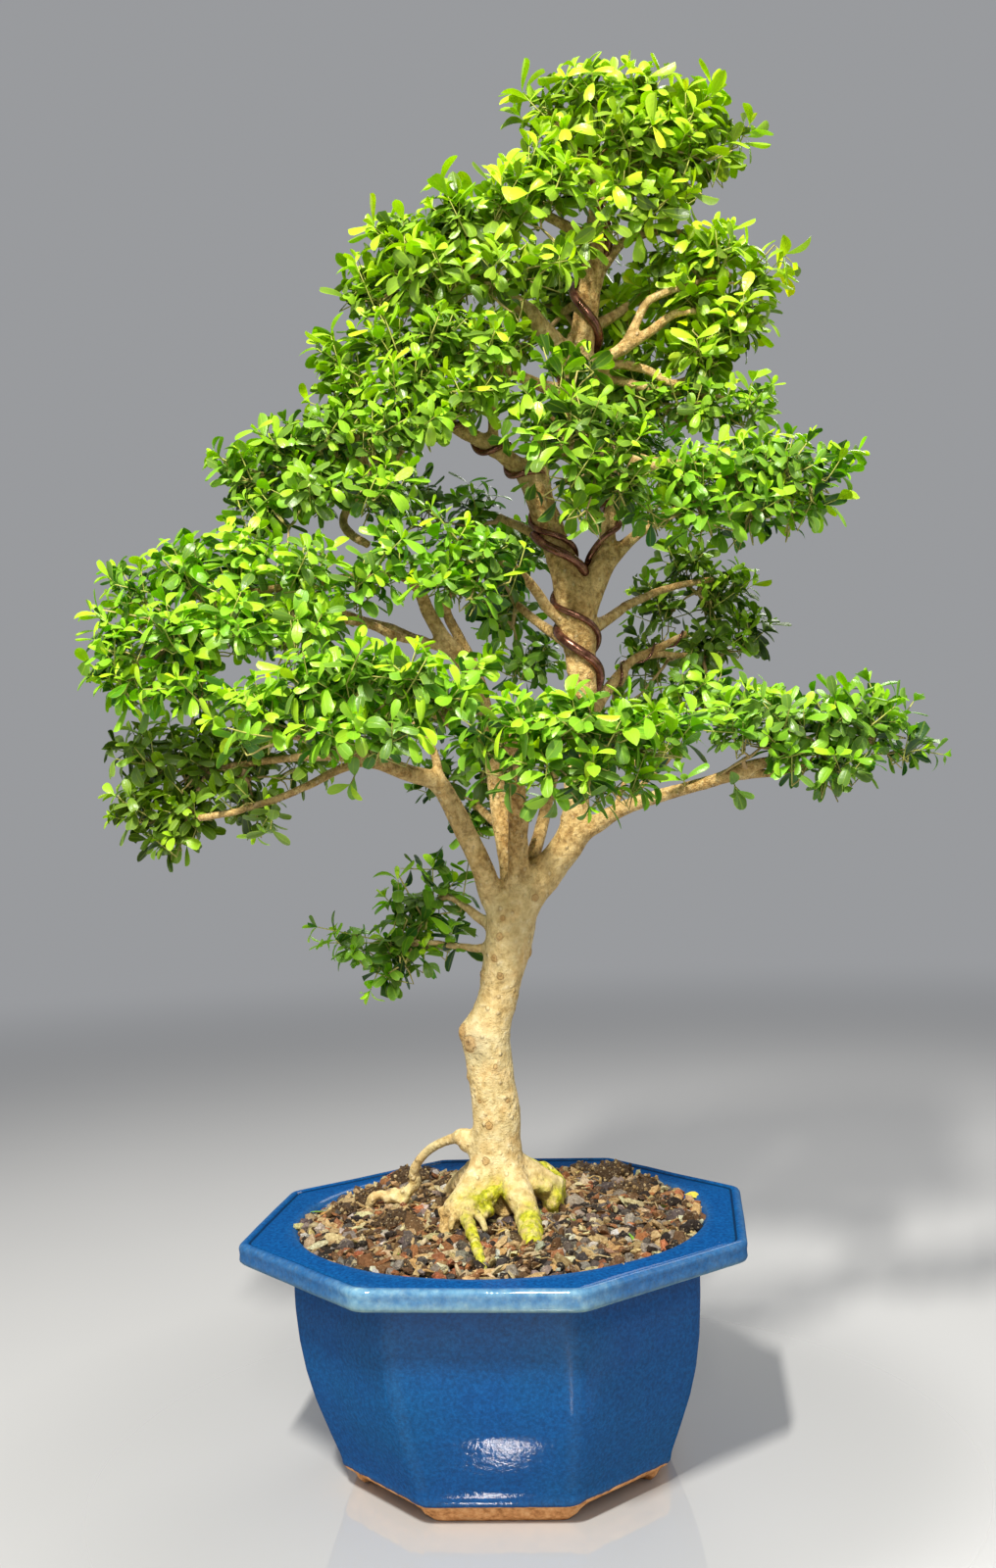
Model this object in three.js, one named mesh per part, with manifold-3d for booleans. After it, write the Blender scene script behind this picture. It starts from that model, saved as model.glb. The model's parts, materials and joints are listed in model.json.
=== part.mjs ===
// A bonsai boxwood in an octagonal glazed pot, life size.
// Millimetres, +Z up. The ground plane is z = 0 and every number below is measured
// from the pot's own axis; PLACE then moves the finished model so that the middle of
// its outline stands over the origin.
import * as THREE from 'three';
import { mergeVertices } from 'three/addons/utils/BufferGeometryUtils.js';
import { ConvexGeometry } from 'three/addons/geometries/ConvexGeometry.js';
import Module from 'manifold-3d';

const wasm = await Module();
wasm.setup();

// ---- driving dimensions ----------------------------------------------------
const POT_HEIGHT = 128;          // ground to the top of the rim
const RIM_FLATS = 254;           // rim, across the flats
const RIM_BAND = 11;             // height of the rim's outer face
const POT_TURN = -7.47;          // degrees, the pot's turn about its axis
const OPENING_R = 109;           // round opening at the top of the rim
const FOOT_HEIGHT = 9;
const FLOOR_TOP = 18;            // inside floor
const FOOT_INNER_R = 66;         // the underside is hollow inside this
const DRAIN_R = 11;
const TIE_HOLE_R = 3;
const TIE_HOLE_Y = 30;
const GAP = 0.4;                 // clearance between neighbouring solids
const SOIL_EDGE_Z = 125.4;
const WIRE_GAP = 1.25;           // training wire to bark, at the middle of its straight steps less
const PLACE = [-13, 0, 0];        // shift of the whole model

// Each branch or root is a run of points [x, y, z, radius].
const BRANCHES = {
  trunk: [[-3.2, 2, 89.9, 14], [-2.5, 2, 108.1, 17.5], [-1.8, 2, 124.8, 18.5], [-1.9, 2, 135.7, 17], [-1.5, 1, 144.9, 15.2], [-1.1, 0, 155.5, 13.9], [-0.8, 0, 168.5, 12.9], [-0.3, 0, 180.5, 12.6], [-2.5, 0, 198.4, 12.1], [-3.8, 0, 213.1, 12.3], [-4.3, 0, 223.1, 12.9], [-1.1, 0, 232.4, 11.2], [3, 0, 243.2, 10.8], [4.9, 0, 252.5, 10.9], [8.1, 0, 265, 11.9], [11.3, 0, 279.6, 12.8], [14.4, 0, 291, 12.8], [20.5, -1, 299.3, 11.6], [28.1, -1, 305.8, 9.8], [36.4, -1, 314.4, 8.9], [43.6, -1, 323, 8.6], [48.3, 0, 333.4, 7.8], [49.4, 1, 346, 6.7], [51.5, 3, 366.1, 6.8], [54.1, 5, 387.4, 7], [56.2, 7, 408.8, 7.2], [55.4, 8, 426.1, 8.2], [54.9, 8, 441.1, 9.4], [52.3, 8, 455.7, 9], [49.4, 8, 469.2, 8], [45.4, 8, 483.4, 7.4], [41.2, 8, 498.1, 7.2], [36.4, 6, 512.3, 7.2], [35.5, 8, 527.9, 7], [41.1, 10, 544.4, 6.8], [51, 10, 563, 6.8], [59.1, 8, 578.3, 7.5], [62.9, 6, 595.4, 7], [66.9, 4, 617.2, 6.3], [70.4, 3, 639.4, 5.8], [73.2, 1, 659, 5.2], [75.9, -2, 676.5, 4.5], [80.1, -5, 693.8, 3.6], [84.7, -8, 709.4, 2.4]],
  left_main: [[13.1, 0, 285.8, 8], [3.4, -2, 294.2, 6.8], [-2.2, -6, 311.4, 6], [-9, -12, 328, 5.6], [-17.2, -18, 346.4, 5.3], [-24.3, -24, 358.4, 5], [-38.4, -34, 363.8, 4.4], [-55.4, -46, 370.5, 3.8], [-69.6, -56, 375.6, 3.3], [-87.5, -68, 382.5, 2.8], [-109.4, -74, 389.8, 2.2]],
  left_main_stub: [[-23.8, -24, 358.4, 2.8], [-24, -24, 367.1, 2.4], [-26.5, -26, 377.3, 2], [-35.8, -34, 391, 1.6]],
  left_cut: [[-59.7, -48, 370.6, 2.6], [-70.3, -52, 367.4, 2.3], [-84, -55, 360.5, 2], [-102.1, -57, 353.4, 1.8], [-121.7, -58, 347.8, 1.6], [-143.7, -58, 344.8, 1.7]],
  mid_back: [[13.6, 4, 296.1, 6], [11.8, 10, 314.5, 5.6], [9.5, 16, 333.3, 5.4], [7.1, 22, 353.4, 5], [5.8, 27, 374.3, 4.8], [2.8, 30, 393.8, 4.6], [-1.4, 32, 413.4, 4.6], [-10.1, 30, 428.9, 4.4], [-19.4, 26, 440.9, 4.2], [-26.8, 20, 454.1, 3.8], [-32.4, 10, 467.4, 3.2], [-42.3, 0, 473.1, 2.4]],
  mid_back_b: [[-0.4, 32, 410.6, 3.4], [-4.2, 34, 427.5, 3.2], [-10.8, 34, 441.6, 3], [-17.2, 30, 456.8, 2.8], [-12.7, 18, 467.9, 2.2], [-5.2, 2, 474.6, 1.8]],
  mid_back_c: [[-14.3, 29, 433.4, 2.8], [-31.4, 24, 438.4, 2.6], [-47.1, 16, 441.8, 2.6], [-57.1, 8, 446.6, 2.4], [-74.5, -4, 448.8, 2]],
  mid_front: [[16.1, -3, 296.4, 6], [16.7, -10, 314.9, 5.4], [16.9, -18, 335.7, 5], [16.9, -27, 353.6, 4.6], [15.7, -42, 368.3, 4], [14.8, -62, 378.8, 3.2], [23.3, -80, 385.5, 2.4]],
  mid_back_right: [[21.6, 4, 309, 4.4], [26.7, 14, 321.3, 3.9], [31.4, 26, 334, 3.6], [35.2, 38, 347.1, 3.4], [40.9, 52, 362.8, 3.2], [53.2, 68, 377.1, 2.8], [74.6, 80, 385.6, 2.2]],
  mid_stub: [[20, 0, 326.1, 2], [21.4, 0, 334.5, 1.8], [22.1, -1, 343.9, 1.7]],
  right_low: [[47.5, -2, 329.2, 6], [56.9, -5, 332.5, 5], [66.2, -10, 337.9, 4.3], [75.3, -14, 342.2, 3.9], [92, -20, 347.1, 3.5], [107.7, -27, 351, 3.3], [122.2, -33, 354.8, 3.3], [136.8, -38, 360.1, 3.2], [151.6, -40, 363, 2.7], [172, -40, 368.7, 2.3], [195.5, -38, 373.9, 1.9]],
  right_low_twig_a: [[77.9, -15, 342.6, 2], [82.1, -18, 352.2, 1.7], [93.5, -26, 362.8, 1.5], [100.2, -32, 370.4, 1.2]],
  right_low_twig_b: [[67.2, -10, 337.9, 1.6], [70.6, -10, 345, 1.4], [74.5, -12, 355.2, 1.2], [81.2, -18, 366.7, 1]],
  right_low_under: [[127.2, -34, 356.1, 2.6], [136.8, -37, 356.1, 2.4], [149.8, -40, 356.5, 2], [168.7, -42, 359.7, 1.5]],
  left_small: [[46.5, 8, 445.2, 3.6], [39.1, 4, 450.8, 3.2], [33.3, -4, 458.3, 2.9], [27.4, -14, 464.3, 2.6], [20, -30, 468.1, 2.2], [7.8, -46, 470.9, 1.8]],
  right_sub: [[55.2, 8, 446.5, 7], [62.1, 9, 458.1, 6.6], [67.7, 10, 473.2, 5.6], [72, 10, 485.9, 4.6], [74.5, 8, 499.5, 3.9], [78, 4, 514.6, 3.2], [84.6, 0, 526.8, 2.6]],
  right_sub_b: [[66.9, 10, 467.8, 4.6], [73.3, 11, 476.4, 4.2], [81.8, 12, 484.9, 3.6], [90.7, 12, 492.1, 3], [105.5, 6, 500.5, 2.4], [123.4, -2, 508.8, 1.9]],
  rb_a: [[63.8, 12, 441.3, 4], [72.2, 20, 446.4, 3.2], [84.6, 32, 455.3, 2.6], [97, 42, 461.8, 2.3], [115.4, 52, 468.3, 2], [139.2, 58, 472.3, 1.6]],
  rb_b: [[56.6, 10, 388.7, 4.4], [66.3, 24, 401.8, 3.6], [79, 36, 417.2, 3], [87.3, 44, 425.5, 2.6], [99.1, 52, 431, 2.4], [111.4, 58, 436.9, 2], [121, 60, 441.3, 1.9]],
  rb_c: [[90.4, 46, 426.7, 2], [103.8, 54, 429.4, 1.9], [120.4, 60, 428.8, 1.7], [136.6, 62, 426.7, 1.4]],
  rb_d: [[81.2, 36, 417.1, 2.4], [76.9, 44, 404.6, 2.2], [84.5, 58, 392.4, 2], [101.4, 70, 385.1, 1.6]],
  wired_left: [[36, 6, 516.7, 5.4], [26.3, 4, 528.4, 5], [16.4, 0, 536.3, 4.6], [6.6, -4, 542.1, 4.2], [-3.7, -8, 546.7, 3.8], [-12.4, -12, 551.3, 3.4], [-25.1, -18, 552.7, 2.8], [-43.3, -22, 545.5, 2.4], [-69.2, -22, 540.3, 2]],
  wired_left_up: [[11.8, -1, 539.5, 3.2], [12.7, -3, 548.5, 2.9], [12.1, -6, 559.9, 2.7], [8.8, -14, 569.9, 2.4], [-3.3, -22, 578.3, 2]],
  ls_low: [[-24.2, -17, 551.9, 2.4], [-42.7, 4, 535.3, 2.2], [-59.9, 12, 522.8, 2.8], [-70.9, 8, 505.1, 2.4], [-66.3, 0, 495.3, 2.6], [-56.9, -8, 487.6, 2.2]],
  cm: [[38.6, 9, 537.7, 4.2], [45.2, -8, 535.3, 3.4], [53.4, -28, 533, 2.8], [62.6, -48, 529.5, 2.2]],
  rl: [[44, 10, 550.8, 4.6], [64.4, 6, 541.4, 4], [89.8, -2, 528.8, 3.4], [117.4, -10, 519.4, 2.8], [148.9, -10, 518.2, 2.2], [178.8, -6, 520.1, 1.7]],
  lu_a: [[56, 8, 568.7, 4.2], [37.6, 0, 573, 3.4], [17.5, -12, 578.6, 3], [-5.7, -18, 583.3, 2.4], [-37, -16, 583.6, 2]],
  lu_limb: [[58.7, 7, 584, 6.2], [51.4, 4, 592.5, 5.4], [42.9, -2, 601, 4.9], [34.6, -8, 608.9, 4.6], [27.3, -12, 614.1, 4.2], [11.5, -18, 624.6, 3.4], [-8.8, -20, 636.7, 2.6], [-34.9, -16, 637.6, 2]],
  lu_limb_b: [[71.8, 1, 650.4, 3.6], [57.6, -8, 654.8, 3], [39.1, -16, 661.2, 2.6], [18.3, -20, 664, 2]],
  r1: [[62.8, 7, 580.6, 4.4], [72.5, 4, 585.2, 3.6], [86.5, 2, 592.1, 3], [100.6, 1, 599.9, 2.6], [114.7, 0, 608.6, 2.2], [136.1, 0, 608.9, 1.7]],
  r1b: [[85.4, 2, 591.6, 2.6], [92.2, 1, 603.4, 2.4], [99.4, -1, 615.3, 2.3], [109.6, -2, 619.9, 2], [122.1, -2, 623.8, 1.9], [144.6, -2, 628.3, 1.4]],
  r2: [[71.1, 4, 628.9, 3.6], [77.8, 8, 640, 3], [88.7, 9, 652.4, 2.7], [101.4, 6, 655.7, 2.5], [117.1, 3, 654.4, 2.1], [137.7, 0, 645.4, 1.6]],
  r3: [[67.7, 8, 605.1, 3.8], [79.3, 20, 613.6, 3], [100.1, 30, 628.5, 2.6], [121.6, 34, 638.1, 2]],
  r4: [[59.5, 9, 574.8, 4], [73, 14, 579.6, 3], [97.9, 16, 573.8, 2.6], [119.7, 14, 569.1, 2.3], [143.4, 8, 562.7, 1.7]],
  r5: [[66.2, 9, 580, 3], [81.6, 10, 585.1, 2.6], [97.6, 10, 581.8, 2.4], [114, 10, 573.6, 2.2], [130.7, 8, 580.5, 1.6]],
  ap_a: [[75.9, -2, 676.5, 3.2], [68.7, -6, 691.1, 2.6], [59.5, -10, 704, 2], [49.5, -10, 716.6, 1.4]],
  ap_b: [[79.4, -5, 691.1, 3], [95.8, -4, 700.1, 2.6], [114.2, -4, 706.4, 2.2], [134.2, -4, 701.9, 1.6]],
  bk_a: [[55.4, 9, 426.2, 4.2], [47.4, 30, 437.1, 3.4], [35.5, 52, 449.9, 2.8], [22.5, 74, 465.6, 2.2]],
  bk_b: [[38.4, 9, 532.4, 4.2], [50.9, 34, 543.6, 3.2], [77.3, 58, 558.3, 2.4]],
  bk_c: [[67.5, 6, 616.8, 3.8], [64.1, 30, 626.5, 3], [57.1, 52, 630, 2.2]],
  bk_d: [[53.6, 6, 386.4, 4], [59.6, 34, 380.8, 3], [68.5, 64, 379.2, 2.4]],
  bk_e: [[9.5, 16, 333.3, 3], [2.7, 32, 339, 2.4], [-4.7, 50, 346.6, 2]],
  bk_f: [[44.9, 8, 483.4, 4], [34.1, 34, 498, 3], [15.6, 62, 514, 2.2]],
  bk_g: [[5.8, 27, 374.3, 3.6], [-12, 50, 390.1, 3.2], [-34.9, 75, 405.9, 2.8], [-64, 82, 414.6, 2.4], [-98.6, 80, 418.1, 1.8]],
  bk_h: [[-31.4, 24, 438.4, 2.8], [-48, 34, 447.5, 2.6], [-70.8, 46, 456.7, 2.4], [-93.4, 52, 468.6, 2], [-121.7, 52, 465.2, 1.6]],
  bk_i: [[-42.7, 4, 535.3, 2.6], [-57.5, 24, 540.8, 2.5], [-74.8, 36, 546.7, 2.3], [-99.8, 36, 545.4, 1.8]],
  bk_j: [[89.8, -2, 528.8, 3], [118.2, 12, 528.9, 2.7], [150.4, 26, 528.9, 2.4], [178.2, 28, 527.2, 1.8]],
  bk_k: [[34.6, -8, 608.9, 3.4], [17.2, 16, 631, 3], [-6.9, 30, 647, 2.6], [-37.5, 30, 641.5, 2]],
  bk_l: [[100.1, 30, 628.5, 2.6], [126.9, 42, 634.1, 2.4], [148.7, 46, 629, 1.9]],
  llb: [[-55.4, -46, 370.5, 2.6], [-83.2, -22, 374.7, 2.2], [-115.2, 4, 375, 2], [-148.9, 14, 371.9, 1.8]],
  l3: [[-42.3, 0, 473.1, 2.4], [-69.8, -18, 468.5, 2.2], [-101.9, -30, 462.7, 2], [-139.8, -32, 456.2, 1.7]],
  sprig: [[1.9, 4, 280.7, 3.6], [-5.9, 8, 285.6, 2.8], [-13.1, 12, 291.5, 2.2], [-23.2, 15, 297.1, 1.7], [-31.4, 14, 292.1, 1.4]],
  sprig_b: [[2.5, 2, 270.3, 3], [-7.1, 5, 268.9, 2.2], [-16.1, 8, 270.1, 1.8], [-32, 11, 272.6, 1.5], [-53.4, 12, 274.4, 1.2]],
  root_aerial: [[-11.8, 2, 163.3, 5.5], [-16.9, 4, 167.8, 5], [-22.2, 6, 167.6, 3.2], [-29.3, 9, 165.2, 2.6], [-37.5, 12, 160.6, 2.5], [-43.8, 15, 153.9, 2.5], [-46.9, 18, 146.9, 2.6], [-45.1, 20, 139.9, 2.7], [-49.6, 20, 134.8, 2.8], [-59.3, 20, 133.6, 2.8], [-70.1, 20, 131.9, 2.4], [-81, 20, 127.1, 2]],
  root_front_right: [[2.3, -4, 151.1, 9.5], [7.6, -14, 144.5, 8.4], [12.6, -28, 136.2, 6.6], [14.4, -42, 130, 5.6], [14.8, -54, 123.6, 4.6], [15, -66, 115.2, 3.4]],
  root_left: [[-6.5, -2, 151, 9.5], [-12.5, -8, 143.9, 7.6], [-18.9, -16, 138, 6.2], [-23.2, -22, 130.6, 5.2], [-28.9, -30, 121, 4]],
  root_front_left: [[-14.6, -18, 141.4, 4.6], [-17.7, -30, 136.6, 3.2], [-16.2, -48, 132.5, 2.7], [-13.2, -70, 129.5, 2.4], [-10, -88, 126.2, 2.2], [-7.9, -96, 119.9, 1.8]],
  root_right: [[6.6, 2, 151.1, 9], [14.9, 6, 144, 7.6], [24.3, 9, 138.1, 6.4], [31.5, 12, 130.7, 5.4], [40.7, 14, 118.7, 4]],
  root_back_right: [[5.7, 8, 151.8, 8.6], [17.5, 18, 146.8, 6.4], [27.3, 28, 141.4, 5.4], [36.6, 36, 132, 4.4], [43.7, 42, 120.3, 3.2]],
  root_back_left: [[-6, 10, 149.7, 8.4], [-16, 24, 142.5, 6.6], [-25.3, 38, 133, 5], [-33.9, 50, 119.3, 3.6]],
};
const WIRES = {
  wire_trunk_heavy: { r: 2.2, pts: [[60.2, -2.6, 366.7], [54.4, -6.4, 374.5], [47.4, -4.1, 381.6], [43.7, 3.4, 387.8], [46.4, 11.9, 393.3], [54.2, 16.6, 398.5], [62.6, 15.1, 404.9], [66.8, 8.6, 412.7], [64.4, 0.8, 420], [56.4, -3.6, 426], [47.1, -1.2, 432.3], [42.2, 7.3, 438.6], [44.8, 16.4, 444.4], [52.2, 20.5, 452.6], [59.6, 17, 461.2], [61.4, 8.4, 469], [56.2, 0.3, 475.6], [46.4, -2.9, 480.6], [36.8, 0.4, 485.9], [31.7, 8.2, 492.6]] },
  wire_top_heavy: { r: 2.2, pts: [[58.7, 9.9, 555.6], [58.2, 2.3, 561.5], [53.8, -1.1, 569.3], [49.6, 1.6, 577.1], [48.9, 8.8, 582.5], [54.1, 15.6, 586.6], [63.1, 17.2, 590.2], [71.1, 12.3, 593.7], [73.8, 3.8, 598.2], [70.3, -3.5, 604.4], [63.7, -5.3, 612], [58.9, -1, 619.9], [59.2, 6.2, 627.1], [65.1, 11.7, 633.4], [73.5, 11.7, 639.7], [79.7, 6.1, 646.3], [80.6, -1.8, 653.5], [76.7, -7.5, 662], [71.3, -8.4, 671.1], [69, -4.7, 680.2]] },
  wire_left_branch: { r: 1.45, pts: [[62.7, 6.6, 379.9], [62.3, -0.2, 387.1], [56.9, -3.9, 394.5], [50.3, -1.8, 401.6], [46.5, 5, 407.3], [47.7, 12.9, 412.7], [53.8, 18.1, 419.2], [61.7, 16.9, 426.2], [66.6, 9.7, 432.7], [64.6, 0.8, 439.2], [56.3, -3.9, 444.9], [46.4, -1.5, 449.3], [40.8, 6.4, 454.3], [42.3, 14.9, 460.8], [48.4, 18.7, 468.1], [54.5, 16.1, 475.8], [56.3, 8.9, 482.4], [52.3, 1.5, 487.1], [44.1, -1.9, 490.4], [35.8, 0.6, 493.2], [31, 7.3, 497.3], [31.1, 13.6, 504.2], [36.6, 15.9, 511.4], [41.9, 12, 517.4], [42.2, 6, 522.9], [37.5, 0.2, 525.8], [30.8, -2.9, 524.8], [24.5, -1.4, 523], [20.1, 3.3, 523.7], [18.5, 7.9, 527.9], [19.4, 9.3, 534], [21.1, 6.3, 539.4], [21.6, 0.5, 541.7], [19.6, -5.3, 540.4], [15, -8.1, 537.2], [9.5, -7, 534.7], [4.8, -3.2, 535.2], [1.9, 0.3, 539.2], [0.8, 0.9, 545.2], [0.7, -2.5, 550.3], [0.2, -8.2, 552.1], [-2.3, -13.5, 550.6], [-6.5, -15.9, 547.9], [-11.3, -14.9, 545.8], [-15.6, -12, 545.8], [-19.2, -9.9, 548.8], [-21.8, -10.5, 553.5], [-23.4, -14.1, 557.3]] },
  wire_right_branch: { r: 1.5, pts: [[61.9, 17.3, 470.3], [60.7, 11.7, 477.6], [65.1, 5.6, 484.6], [72, 2.7, 490], [77.9, 3.7, 493.2], [80.8, 7.9, 496.4], [79.6, 12.3, 500], [75.4, 13.8, 503.5], [71.1, 11.3, 506], [69.6, 6.2, 507], [71.9, 1.5, 507.1], [76.7, -0.4, 507.4], [81.5, 1.3, 509.2], [83.4, 5.1, 512], [82.1, 8.3, 515.6], [79, 8.6, 519.5], [76.4, 5.5, 522.6]] },
  wire_back_twig: { r: 0.7, pts: [[79.2, 31.3, 410], [80.5, 30.6, 415.4], [80, 32.7, 420.8], [79.6, 37.6, 424.5], [80.9, 43.2, 425.6], [84.3, 47.4, 425], [89, 49, 423.8], [93.9, 48.5, 424], [97.9, 47.4, 426.6], [100.1, 47.6, 431], [100.8, 50, 435], [101.4, 54.3, 436.8], [103.3, 58.3, 436.2], [106.8, 60.5, 434.5], [111, 60.1, 433.4], [114.4, 57.9, 434], [116.5, 55.9, 436.8], [117.5, 55.7, 440.6], [118.7, 57.9, 443.9]] },
};
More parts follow.
